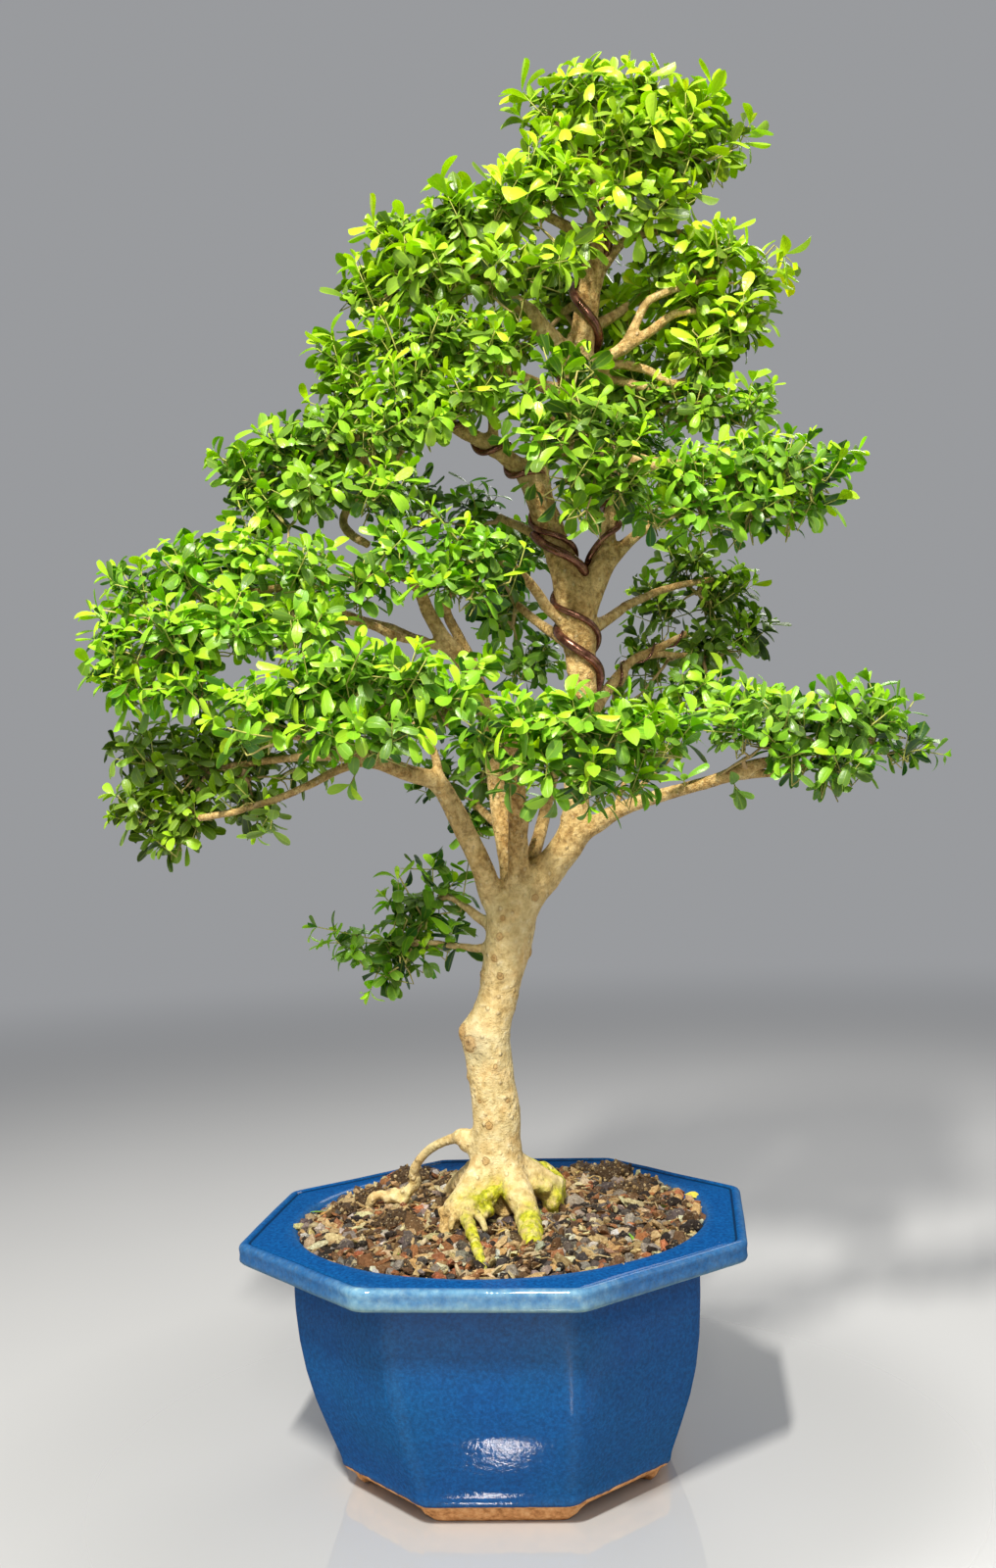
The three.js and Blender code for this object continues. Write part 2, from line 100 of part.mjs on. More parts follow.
const FOLIAGE = {
  foliage_apex: [[43.5, -8, 723.7, 20.9, 26, 15.7], [71.4, -6, 730.1, 25.1, 32, 15.7], [103.2, -5, 726.2, 24.1, 32, 15.7], [130.6, -5, 719.9, 21, 28, 15.7], [145.9, -4, 699.9, 12.6, 20, 15.7], [91.1, -10, 701.8, 32.3, 38, 16.7], [124.1, 2, 695.4, 23.3, 30, 16.9], [56.5, -14, 701.1, 20.7, 28, 14.5]],
  foliage_upper_left: [[55, -22, 673.8, 21.5, 32, 17.4], [25.9, -26, 662.7, 23.5, 34, 21.4], [-4.3, -24, 654.3, 23.5, 36, 20.5], [-34.5, -18, 645.8, 21.6, 32, 20.6], [-56.5, -12, 626.7, 16.6, 26, 17.7], [-16.9, -26, 622.7, 29.6, 36, 18.4], [24.2, -38, 625.4, 27.1, 28, 20.1], [50.4, -40, 623.7, 12, 16, 16], [40.2, -16, 687.6, 18.6, 24, 11.4]],
  foliage_upper_left_low: [[-71.1, -12, 587.7, 18.7, 28, 17.7], [-43.1, -20, 594.6, 23.6, 34, 17.5], [-11.8, -28, 593.3, 24.4, 34, 17.3], [17.5, -34, 585.1, 23.2, 28, 17.2], [-29.2, -30, 566.5, 28.4, 34, 17.2], [6.4, -36, 560.3, 23.2, 28, 17.1], [-66.4, -14, 568.5, 22.8, 28, 14.5], [-24.6, -34, 548.3, 23.2, 28, 12.1]],
  foliage_centre_upper: [[30, -52, 552.7, 16.8, 22, 13.8], [52.3, -60, 540.6, 20.5, 26, 15.6], [78, -60, 531.7, 20.5, 26, 15.6], [58.5, -62, 515.2, 23.3, 26, 15.6], [33.9, -56, 531.5, 14.7, 22, 13.7], [81, -54, 508.3, 21.6, 26, 13.8], [53.3, -54, 496.5, 16.7, 22, 10.8]],
  foliage_right_upper: [[116.5, 2, 644.3, 18, 24, 14.8], [141.5, -2, 641.8, 22.1, 28, 18.9], [163.8, 0, 631, 14.8, 22, 16.9], [121.6, 8, 619.3, 19.2, 30, 18.1], [149.2, 0, 604.7, 22.1, 30, 22.1], [128.7, 10, 589.9, 24.6, 30, 17.1], [101.8, 18, 634.6, 15.1, 20, 15.1]],
  foliage_right_middle: [[158, 0, 561.4, 15.8, 24, 17.9], [133.5, 4, 559.7, 24.4, 30, 17], [105.3, 16, 568.1, 22.6, 28, 15.1], [86.7, 26, 581.1, 17.4, 24, 15.3]],
  foliage_right_long: [[192.6, -6, 520.6, 16.7, 22, 17.8], [170.2, -10, 523.7, 22.9, 28, 22.9], [140.8, -18, 520.8, 24.7, 30, 20.6], [112.7, -24, 516.2, 23.5, 30, 19.4], [155.2, -14, 499.7, 23.8, 28, 16.6], [120.2, -20, 496.1, 24.7, 28, 14.4], [183.8, -4, 505.5, 18.9, 24, 14.7], [87.2, -24, 498.6, 16.4, 22, 11.2]],
  foliage_left_second: [[-126.4, -12, 529.3, 17.7, 24, 19.7], [-98.9, -20, 539.4, 23.6, 30, 19.5], [-68.5, -28, 543.9, 23.4, 30, 18.3], [-40.1, -34, 542.2, 23.2, 30, 21.2], [-43.4, -38, 513.8, 23.1, 28, 17.1], [-81.2, -30, 514.1, 25.4, 30, 18.3], [-113.8, -18, 506.6, 23.7, 28, 16.5]],
  foliage_left_third: [[-182.4, -22, 467.1, 21.5, 26, 19.5], [-151, -28, 477.7, 24.4, 30, 18.3], [-117.4, -34, 480.4, 25.2, 30, 20.2], [-83.6, -40, 470.5, 26, 30, 20], [-53.5, -44, 463.6, 20.9, 26, 16.9], [-187.5, -26, 438.5, 20.4, 26, 20.4], [-154.4, -38, 439.2, 27.1, 32, 23.1], [-118.2, -44, 441.1, 26.9, 32, 21.9], [-83.9, -46, 443.4, 23.8, 30, 16.9], [-183.7, -28, 415.1, 19.3, 24, 15.3], [-150, -40, 410.2, 22, 26, 16]],
  foliage_centre_small: [[-15.5, -52, 483.1, 17.7, 22, 14.8], [7.9, -56, 474, 17.6, 22, 13.7], [-18.2, -52, 463.4, 18.7, 22, 13.8], [3.3, -54, 456.7, 15.7, 20, 10.8], [23.7, -48, 469.9, 7.9, 12, 7.9]],
  foliage_left_front: [[-111.7, -76, 397.4, 22.9, 30, 21], [-83.4, -86, 408.2, 23.5, 32, 20.7], [-55.4, -92, 412.6, 22.4, 32, 19.6], [-29.8, -94, 407.6, 21.4, 30, 18.6], [-72.8, -88, 384.1, 25.3, 30, 15.9], [-39.9, -96, 384.6, 21.3, 30, 16.7], [-13, -92, 399.7, 16.8, 26, 16.8]],
  foliage_centre_front: [[-4.3, -98, 380.7, 15.7, 24, 17.6], [17, -104, 384.1, 18.3, 28, 20.2], [44.5, -104, 384.4, 20.2, 30, 19.2], [70, -96, 380.2, 20.4, 28, 17.6], [50.7, -106, 359.7, 19.2, 26, 15.5], [23.9, -106, 364, 14.6, 22, 14.6], [96, -82, 379.1, 19.9, 28, 15.1]],
  foliage_right_low: [[125.3, -52, 381.8, 18.7, 28, 16.8], [151, -50, 382.4, 21.7, 30, 20.7], [178.8, -46, 383.1, 21.9, 30, 20.9], [205.5, -40, 383.5, 19, 26, 20], [224.7, -34, 368.9, 12.1, 18, 13.1], [183.3, -48, 361.4, 22.8, 26, 11.9], [151.9, -52, 367.4, 17.7, 26, 12.8]],
  foliage_right_low_back: [[122.2, 20, 407.4, 21.6, 28, 16.2], [147.5, 12, 397.6, 22.5, 28, 15], [99.4, 50, 391.3, 24.7, 30, 17.9], [74.6, 78, 388.4, 26.6, 30, 18.5], [43.7, 86, 390.1, 21, 26, 17.5]],
  foliage_right_back: [[123.2, 62, 486.8, 21.6, 26, 17.1], [146.8, 64, 467.9, 23.9, 28, 19.4], [159.4, 64, 441.5, 19.4, 24, 18.2], [134.1, 66, 434.1, 25.1, 28, 18.3], [104.3, 80, 465, 20.9, 28, 22.1], [97.5, 84, 433, 19.8, 26, 18.7]],
  foliage_left_low_back: [[-183.3, 14, 382.4, 25.8, 32, 21.5], [-153.5, 20, 381.5, 26, 32, 21.6], [-124.6, 22, 382, 22.8, 30, 20.6], [-190.9, 10, 353.7, 20.3, 26, 19.2], [-163, 14, 350.5, 23.6, 28, 18.2], [-181.4, 10, 334.1, 16, 20, 10.7], [-127.4, 20, 355, 21.6, 26, 14.1], [-93.1, 10, 374.9, 18.2, 26, 16]],
  foliage_low_sprig: [[-22.6, 20, 300.5, 16.2, 18, 14.1], [-38.1, 17, 286.8, 19.4, 20, 16.2], [-56.1, 13, 273.4, 16.1, 17, 11.8], [-82.2, 8, 277, 12.8, 12, 8], [-57.7, 11, 257.7, 11.8, 13, 9.6], [-20.2, 17, 278, 11.9, 16, 14]],
  foliage_back_centre: [[-32.8, 74, 531.8, 21.9, 26, 19.6], [-0.1, 80, 526, 23.2, 28, 19.7], [28.3, 88, 500, 22.3, 28, 23.4], [16.9, 94, 465.8, 24.8, 30, 23.6], [35, 88, 433.6, 24.6, 28, 19.9], [-8.1, 84, 500.6, 22.2, 26, 19.8]],
  foliage_back_low: [[-25.7, 62, 364.6, 21.6, 26, 17.1], [-7.5, 66, 337.7, 16, 24, 20.6], [16.2, 78, 353, 18.5, 26, 23.2], [4.4, 80, 376.7, 23.2, 28, 17.4]],
  foliage_back_upper: [[49.6, 62, 644.2, 28.4, 34, 22.7], [79.5, 72, 626.2, 27.6, 34, 24.2], [17, 62, 619.4, 26.2, 30, 21.6], [72.4, 48, 664, 22.4, 28, 20.1], [94.5, 74, 591.2, 26.5, 32, 20.8]],
  foliage_back_middle: [[65.3, 84, 574.5, 28, 32, 22.2], [98.3, 70, 554.9, 29.8, 34, 23], [75.7, 88, 533.7, 25.8, 30, 21.1], [118.2, 56, 521.9, 24.8, 28, 18.1]],
  foliage_back_left: [[-104.8, 55, 476.3, 25.9, 32, 19.2], [-127.4, 50, 456.1, 24.7, 30, 19.1], [-89.4, 62, 456.2, 22.7, 30, 14.8], [-144.7, 40, 469.9, 22.2, 28, 17.7]],
  foliage_back_left_low: [[-86.9, 80, 421.2, 26.7, 32, 19.7], [-52.9, 88, 411.7, 27, 32, 19.9], [-114.8, 70, 414.4, 25.3, 28, 18.4], [-29.8, 92, 405.2, 21.2, 28, 17.7]],
  foliage_left_second_back: [[-99.8, 36, 545.4, 24.3, 28, 17.6], [-72.2, 40, 553.7, 22.2, 28, 17.7], [-49.7, 46, 541.4, 19, 26, 15.6], [-121.9, 26, 531.7, 19.6, 26, 16.3]],
  foliage_upper_left_back: [[-17.8, 34, 654.5, 27.5, 30, 20.9], [16.2, 34, 673.5, 24.2, 28, 18.7], [-44.6, 28, 639.9, 20.7, 28, 18.6], [33.2, 26, 684.6, 19.6, 26, 17.4]],
  foliage_right_upper_back: [[140.4, 46, 645.3, 20.1, 26, 17.9], [154.6, 50, 618.8, 20.2, 26, 20.2], [131.1, 56, 620.6, 20.3, 26, 16.9]],
  foliage_right_long_back: [[151.1, 30, 529.8, 24.1, 28, 17.5], [179.4, 26, 525.6, 19.6, 24, 17.4], [127.8, 34, 527.2, 19.8, 24, 15.4]],
};

// ---- helpers ---------------------------------------------------------------
const turn = THREE.MathUtils.degToRad(POT_TURN);

function toSolid(geometry) {
  const g = geometry.index ? geometry.toNonIndexed() : geometry.clone();
  for (const name of Object.keys(g.attributes)) if (name !== 'position') g.deleteAttribute(name);
  const m = mergeVertices(g, 1e-4);
  const idx = [];
  const src = m.index.array;
  for (let i = 0; i < src.length; i += 3) {
    const a = src[i], b = src[i + 1], c = src[i + 2];
    if (a !== b && b !== c && a !== c) idx.push(a, b, c);
  }
  const mesh = new wasm.Mesh({
    numProp: 3,
    vertProperties: new Float32Array(m.attributes.position.array),
    triVerts: new Uint32Array(idx),
  });
  let s = new wasm.Manifold(mesh);
  if (s.volume() < 0) {
    for (let i = 0; i < idx.length; i += 3) [idx[i + 1], idx[i + 2]] = [idx[i + 2], idx[i + 1]];
    s = new wasm.Manifold(new wasm.Mesh({
      numProp: 3,
      vertProperties: new Float32Array(m.attributes.position.array),
      triVerts: new Uint32Array(idx),
    }));
  }
  return s;
}

function toGeometry(solid) {
  const m = solid.getMesh();
  const n = m.vertProperties.length / m.numProp;
  const pos = new Float32Array(n * 3);
  for (let i = 0; i < n; i++)
    for (let k = 0; k < 3; k++) pos[3 * i + k] = m.vertProperties[m.numProp * i + k];
  const g = new THREE.BufferGeometry();
  g.setAttribute('position', new THREE.BufferAttribute(pos, 3));
  g.setIndex(new THREE.BufferAttribute(new Uint32Array(m.triVerts), 1));
  g.computeVertexNormals();
  return g;
}

function union(list) {
  let items = list.slice();
  while (items.length > 1) {
    const next = [];
    for (let i = 0; i < items.length; i += 2)
      next.push(i + 1 < items.length ? items[i].add(items[i + 1]) : items[i]);
    items = next;
  }
  return items[0];
}

function largest(solid) {
  const parts = solid.decompose();
  parts.sort((a, b) => b.volume() - a.volume());
  return parts[0];
}

// A round bar along a smooth curve through the points; its radius follows the
// fourth number of each point, with grow added to it.
function bar(points, sides, steps, grow = 0, radiusOf = null) {
  const curve = new THREE.CatmullRomCurve3(points.map((p) => new THREE.Vector3(p[0], p[1], p[2])), false, 'centripetal');
  const unit = 0.5;
  const shape = new THREE.Shape();
  for (let i = 0; i < sides; i++) {
    const a = (2 * Math.PI * i) / sides;
    if (i) shape.lineTo(unit * Math.cos(a), unit * Math.sin(a));
    else shape.moveTo(unit * Math.cos(a), unit * Math.sin(a));
  }
  shape.closePath();
  const g = new THREE.ExtrudeGeometry(shape, { steps, bevelEnabled: false, extrudePath: curve, curveSegments: 1 });
  const rings = curve.getSpacedPoints(steps);
  const radii = rings.map((_, i) => {
    const t = curve.getUtoTmapping(i / steps) * (points.length - 1);
    const k = Math.min(points.length - 2, Math.floor(t));
    const f = t - k;
    const r = points[k][3] * (1 - f) + points[k + 1][3] * f;
    return (radiusOf ? radiusOf(r) : r) + grow;
  });
  const pos = g.attributes.position;
  const p = new THREE.Vector3();
  for (let i = 0; i < pos.count; i++) {
    p.fromBufferAttribute(pos, i);
    let best = 0, bd = Infinity;
    for (let k = 0; k < rings.length; k++) {
      const d = p.distanceTo(rings[k]);
      if (d < bd) { bd = d; best = k; }
    }
    p.sub(rings[best]).multiplyScalar(radii[best] / unit).add(rings[best]);
    pos.setXYZ(i, p.x, p.y, p.z);
  }
  return toSolid(g);
}

function lengthOf(points) {
  let s = 0;
  for (let i = 1; i < points.length; i++)
    s += Math.hypot(...[0, 1, 2].map((k) => points[i][k] - points[i - 1][k]));
  return s;
}

function branchSteps(points) {
  const mean = points.reduce((s, p) => s + p[3], 0) / points.length;
  return Math.max(2, Math.min(40, Math.round(lengthOf(points) / (11 + 1.2 * mean))));
}

function branch(points, grow = 0, radiusOf = null) {
  const thick = Math.max(...points.map((p) => p[3]));
  const sides = thick > 9 ? 10 : thick > 4 ? 7 : 5;
  return bar(points, sides, branchSteps(points), grow, radiusOf);
}

// Branches that go on as fine twigs inside the leaves end where they get thinner
// than TWIG_R; the bare ones keep their full length.
const TWIG_R = 2.3;
const BARE = ['left_cut', 'right_low_twig_a', 'rb_a', 'rb_b', 'root_aerial', 'root_front_left', 'root_left', 'root_right', 'root_back_right'];
const WOOD = {};
for (const [name, pts] of Object.entries(BRANCHES)) {
  const kept = BARE.includes(name) ? pts : pts.filter((p) => p[3] >= TWIG_R);
  if (kept.length >= 2) WOOD[name] = kept;
}

function wireBar(wire, grow = 0) {
  const pts = wire.pts.map((p) => [p[0], p[1], p[2], wire.r]);
  return bar(pts, wire.sides ?? 6, wire.steps ?? pts.length + 2, grow);
}

// Solid of revolution about Z. Profile points are [radius, z].
function lathe(profile, segments, start = 0) {
  const g = new THREE.LatheGeometry(profile.map((p) => new THREE.Vector2(p[0], p[1])), segments, start);
  g.rotateX(Math.PI / 2);
  return toSolid(g);
}

function place(geometry, x, y, z, rz = 0) {
  geometry.rotateZ(rz);
  geometry.translate(x, y, z);
  return toSolid(geometry);
}

function cylinder(r, z0, z1, segments, x = 0, y = 0) {
  const g = new THREE.CylinderGeometry(r, r, z1 - z0, segments);
  g.rotateX(Math.PI / 2);
  return place(g, x, y, (z0 + z1) / 2);
}

// A spray of leaves as one closed form: the hull round its clumps.
function spray(list, grow = 0) {
  const points = [];
  for (const [x, y, z, rx, ry, rz] of list) {
    const pos = new THREE.IcosahedronGeometry(1, 0).attributes.position;
    for (let i = 0; i < pos.count; i++)
      points.push(new THREE.Vector3(
        x + pos.getX(i) * (rx * 1.05 + grow), y + pos.getY(i) * (ry * 1.05 + grow), z + pos.getZ(i) * (rz * 1.05 + grow)));
  }
  return toSolid(new ConvexGeometry(points));
}

// ---- pot -------------------------------------------------------------------
const RIM_R = RIM_FLATS / 2 / Math.cos(Math.PI / 8);
const POT_PROFILE = [
  [0, 0], [80, 0], [84.5, 5], [86.5, FOOT_HEIGHT], [89.5, 12], [93.2, 20], [97.2, 30], [103.2, 46],
  [107.4, 61], [110.2, 77], [112, 97], [112.6, 112], [113.6, POT_HEIGHT - RIM_BAND - 0.6],
  [133.6, POT_HEIGHT - RIM_BAND - 0.4], [136.4, POT_HEIGHT - RIM_BAND + 0.9], [RIM_R, POT_HEIGHT - 7],
  [RIM_R, POT_HEIGHT - 2.2], [RIM_R - 1.8, POT_HEIGHT - 0.6], [RIM_R - 4.2, POT_HEIGHT], [0, POT_HEIGHT],
];
const CAVITY = [
  [0, FLOOR_TOP], [68, FLOOR_TOP], [79, 28], [87, 46], [93, 73], [96, 105], [98, 114],
  [103, 122], [OPENING_R, POT_HEIGHT],
];
// The octagon's corner nearest the front left lies at -112.5 degrees before the turn.
const octStart = THREE.MathUtils.degToRad(90 + 22.5) + turn;

function makePot() {
  let pot = lathe(POT_PROFILE, 8, octStart);
  pot = pot.subtract(lathe([...CAVITY, [OPENING_R, POT_HEIGHT + 8], [0, POT_HEIGHT + 8]], 24));
  pot = pot.subtract(cylinder(FOOT_INNER_R, -2, FOOT_HEIGHT, 24));
  // four feet: an arched notch in each diagonal side of the foot ring
  for (let i = 0; i < 4; i++) {
    const s = new THREE.Shape();
    s.moveTo(-31, -2);
    s.lineTo(-29.5, 2.4);
    s.lineTo(-25.5, 5.6);
    s.lineTo(-19, 7.6);
    s.lineTo(19, 7.6);
    s.lineTo(25.5, 5.6);
    s.lineTo(29.5, 2.4);
    s.lineTo(31, -2);
    s.closePath();
    const g = new THREE.ExtrudeGeometry(s, { depth: 48, bevelEnabled: false });
    g.rotateX(Math.PI / 2);      // the shape's height becomes Z, its depth runs along -Y
    g.translate(0, -50, 0);
    pot = pot.subtract(place(g, 0, 0, 0, turn + Math.PI / 4 + (i * Math.PI) / 2));
  }
  pot = pot.subtract(cylinder(DRAIN_R, 2, FLOOR_TOP + 4, 16));
  for (const side of [-1, 1]) pot = pot.subtract(cylinder(TIE_HOLE_R, 2, FLOOR_TOP + 4, 12, 0, side * TIE_HOLE_Y));
  return pot;
}

// ---- drainage mesh, its clip and the anchor wire -----------------------------
const MESH_SIDE = 36;
const MESH_PITCH = 6.4;
const MESH_HOLE = 4.6;
const MESH_Z = FLOOR_TOP + 0.35;
const MESH_THICK = 1.2;

function makeMesh() {
  const mid = MESH_Z + MESH_THICK / 2;
  let plate = place(new THREE.BoxGeometry(MESH_SIDE, MESH_SIDE, MESH_THICK), 0, 0, mid);
  const holes = [];
  for (let i = -2; i <= 2; i++)
    for (let j = -2; j <= 2; j++)
      holes.push(place(new THREE.BoxGeometry(MESH_HOLE, MESH_HOLE, 3 * MESH_THICK), i * MESH_PITCH, j * MESH_PITCH, mid));
  return plate.subtract(union(holes));
}

const CLIP_R = 0.9;
const CLIP = {
  r: CLIP_R, sides: 5, steps: 30,
  pts: [[-21, 0, 7.4], [-14, 0, 7.3], [-8.6, 0, 7.3], [-6.6, 0, 9.5], [-6.4, 0, 14], [-6.4, 0, 19], [-5.6, 0, 20.8],
    [-2, 0, 21.2], [2, 0, 21.2], [5.6, 0, 20.8], [6.4, 0, 19], [6.4, 0, 14], [6.6, 0, 9.5], [8.6, 0, 7.3], [14, 0, 7.3], [21, 0, 7.4]],
};
const ANCHOR = {
  r: 1.1, sides: 5, steps: 64,
  pts: [[30, -5, 119], [29, -4, 112], [25, -16, 108], [12, -27, 103], [2, -30, 92], [0, -30, 70], [0, -30, 45], [0, -30, 22],
    [0, -30, 12], [0, -29, 8], [0, -25, 6.6], [0, -14, 6.4], [0, 0, 6.4], [0, 14, 6.4], [0, 25, 6.6], [0, 29, 8], [0, 30, 12], [0, 30, 22],
    [0, 30, 45], [0, 30, 70], [2, 30, 92], [12, 27, 103], [25, 16, 108], [29, 4, 112], [30, 1, 119]],
};

// ---- soil --------------------------------------------------------------------
function soilHeight(x, y) {
  const r = Math.hypot(x, y);
  const hill = (cx, cy, s, h) => h * Math.exp(-((x - cx) ** 2 + (y - cy) ** 2) / (s * s));
  return SOIL_EDGE_Z + 2.4 * (1 - Math.min(1, r / 108)) + hill(-52, 72, 26, 4.6) + hill(66, 70, 26, 4.2)
    + hill(-62, 10, 24, 1.8) + hill(40, -52, 24, 1.2) + 0.7 * Math.sin(x * 0.16 + 1) * Math.sin(y * 0.14 + 2);
}

function makeSoil() {
  const inner = CAVITY.slice(0, -1).map(([r, z]) => [r ? r - GAP - 0.2 : 0, z === FLOOR_TOP ? z + GAP : z]);
  const rim = [[105.4, SOIL_EDGE_Z + 0.1], [95, SOIL_EDGE_Z + 1], [72, SOIL_EDGE_Z + 1], [46, SOIL_EDGE_Z + 1], [0, SOIL_EDGE_Z + 2]];
  const top0 = inner.filter(([r, z]) => z < SOIL_EDGE_Z - 1);
  const g = new THREE.LatheGeometry([...top0, ...rim].map((p) => new THREE.Vector2(p[0], p[1])), 24);
  g.rotateX(Math.PI / 2);
  const pos = g.attributes.position;
  for (let i = 0; i < pos.count; i++) {
    const x = pos.getX(i), y = pos.getY(i);
    if (pos.getZ(i) > SOIL_EDGE_Z + 0.3) pos.setZ(i, soilHeight(x, y));
  }
  return toSolid(g);
}

// ---- put together --------------------------------------------------------------
const wireSolids = {};
const wireRoom = [];
for (const [name, w] of Object.entries(WIRES)) {
  wireSolids[name] = wireBar(w);
  wireRoom.push(wireBar(w, GAP / Math.cos(Math.PI / 6)));
}
const anchor = wireBar(ANCHOR);
const anchorRoom = wireBar(ANCHOR, 0.5);
const clip = wireBar(CLIP);
const clipRoom = wireBar(CLIP, 0.5);

const bars = Object.values(WOOD).map((pts) => branch(pts));
let tree = union(bars).subtract(union([...wireRoom, anchorRoom]));
tree = largest(tree);

const wideBars = Object.values(WOOD).map((pts) => branch(pts, GAP + 0.1));
const treeRoom = union(wideBars);

// room for the wound wires, as a sleeve round the wood they are wound on
const SLEEVES = [['trunk', 330, 720, 2.2], ['wired_left', 0, 900, 1.45], ['right_sub', 0, 900, 1.5], ['rb_b', 0, 900, 0.7]];
const sleeves = union(SLEEVES.map(([name, z0, z1, r]) => {
  const pts = BRANCHES[name].filter((p) => p[2] >= z0 && p[2] <= z1);
  return branch(pts, 0, (q) => (q + WIRE_GAP + 2 * r + 0.5) / Math.cos(Math.PI / 8));
}));

const pot = makePot();
const mesh = makeMesh();
const meshRoom = place(new THREE.BoxGeometry(MESH_SIDE + 2 * GAP, MESH_SIDE + 2 * GAP, 6), 0, 0, MESH_Z - 3 + MESH_THICK + GAP);
let soil = makeSoil().subtract(union([treeRoom, meshRoom, anchorRoom, clipRoom]));
soil = largest(soil);

const pads = {};
const done = [];
for (const [name, list] of Object.entries(FOLIAGE)) {
  let s = spray(list);
  s = s.subtract(treeRoom).subtract(sleeves);
  for (const d of done) s = s.subtract(d);
  pads[name] = largest(s);
  done.push(spray(list, 0.6));
}

// ---- scene graph -----------------------------------------------------------------
const material = (hex, roughness, metalness = 0) => new THREE.MeshStandardMaterial({ color: new THREE.Color(hex), roughness, metalness });
const GLAZE = material('#14508f', 0.22);
const BARK = material('#c3a672', 0.8);
const LEAF = material('#5f9e1c', 0.45);
const SOIL = material('#6b5744', 0.95);
const WIRE = material('#3a2219', 0.35, 0.8);
const PLASTIC = material('#1c1c1c', 0.6);

const root = new THREE.Group();
const bonsai = new THREE.Group();
bonsai.position.set(...PLACE);
root.add(bonsai);

function put(group, name, solid, mat) {
  const m = new THREE.Mesh(toGeometry(solid), mat);
  m.name = name;
  group.add(m);
}
const potGroup = new THREE.Group();
put(potGroup, 'pot', pot, GLAZE);
put(potGroup, 'soil', soil, SOIL);
put(potGroup, 'drain_mesh', mesh, PLASTIC);
put(potGroup, 'drain_mesh_clip', clip, WIRE);
put(potGroup, 'anchor_wire', anchor, WIRE);
const plantGroup = new THREE.Group();
put(plantGroup, 'tree', tree, BARK);
for (const [name, s] of Object.entries(wireSolids)) put(plantGroup, name, s, WIRE);
for (const [name, s] of Object.entries(pads)) put(plantGroup, name, s, LEAF);
bonsai.add(potGroup, plantGroup);

export default root;
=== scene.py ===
# A bonsai boxwood in an octagonal glazed pot: the looks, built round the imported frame.
# Lengths below are millimetres measured from the pot's axis with the ground at z = 0,
# unless a line says otherwise; PLACE moves them into the row frame.
import json
import math

import bpy
import numpy as np
from mathutils import Matrix, Vector

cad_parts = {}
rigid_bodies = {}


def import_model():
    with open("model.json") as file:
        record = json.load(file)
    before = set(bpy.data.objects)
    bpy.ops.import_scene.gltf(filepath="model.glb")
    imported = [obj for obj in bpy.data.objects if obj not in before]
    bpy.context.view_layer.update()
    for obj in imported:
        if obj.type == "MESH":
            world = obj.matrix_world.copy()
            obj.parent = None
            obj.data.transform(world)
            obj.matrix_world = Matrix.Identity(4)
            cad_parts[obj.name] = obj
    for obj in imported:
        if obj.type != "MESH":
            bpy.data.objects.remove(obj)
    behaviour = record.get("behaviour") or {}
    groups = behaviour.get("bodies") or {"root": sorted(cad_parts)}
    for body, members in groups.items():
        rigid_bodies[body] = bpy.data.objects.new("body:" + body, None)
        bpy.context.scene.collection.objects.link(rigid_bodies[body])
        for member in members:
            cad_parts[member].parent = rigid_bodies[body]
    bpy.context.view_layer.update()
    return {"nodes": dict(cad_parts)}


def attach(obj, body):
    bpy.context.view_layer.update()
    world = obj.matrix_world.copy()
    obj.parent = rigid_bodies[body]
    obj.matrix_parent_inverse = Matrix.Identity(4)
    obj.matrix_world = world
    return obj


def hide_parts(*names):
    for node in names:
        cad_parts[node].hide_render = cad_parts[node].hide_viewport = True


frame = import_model()

MM = 0.001
PLACE = np.array([-13.0, 0.0, 0.0])
POT_TURN = math.radians(-7.47)
OPENING_R = 109.0
SOIL_EDGE_Z = 125.4

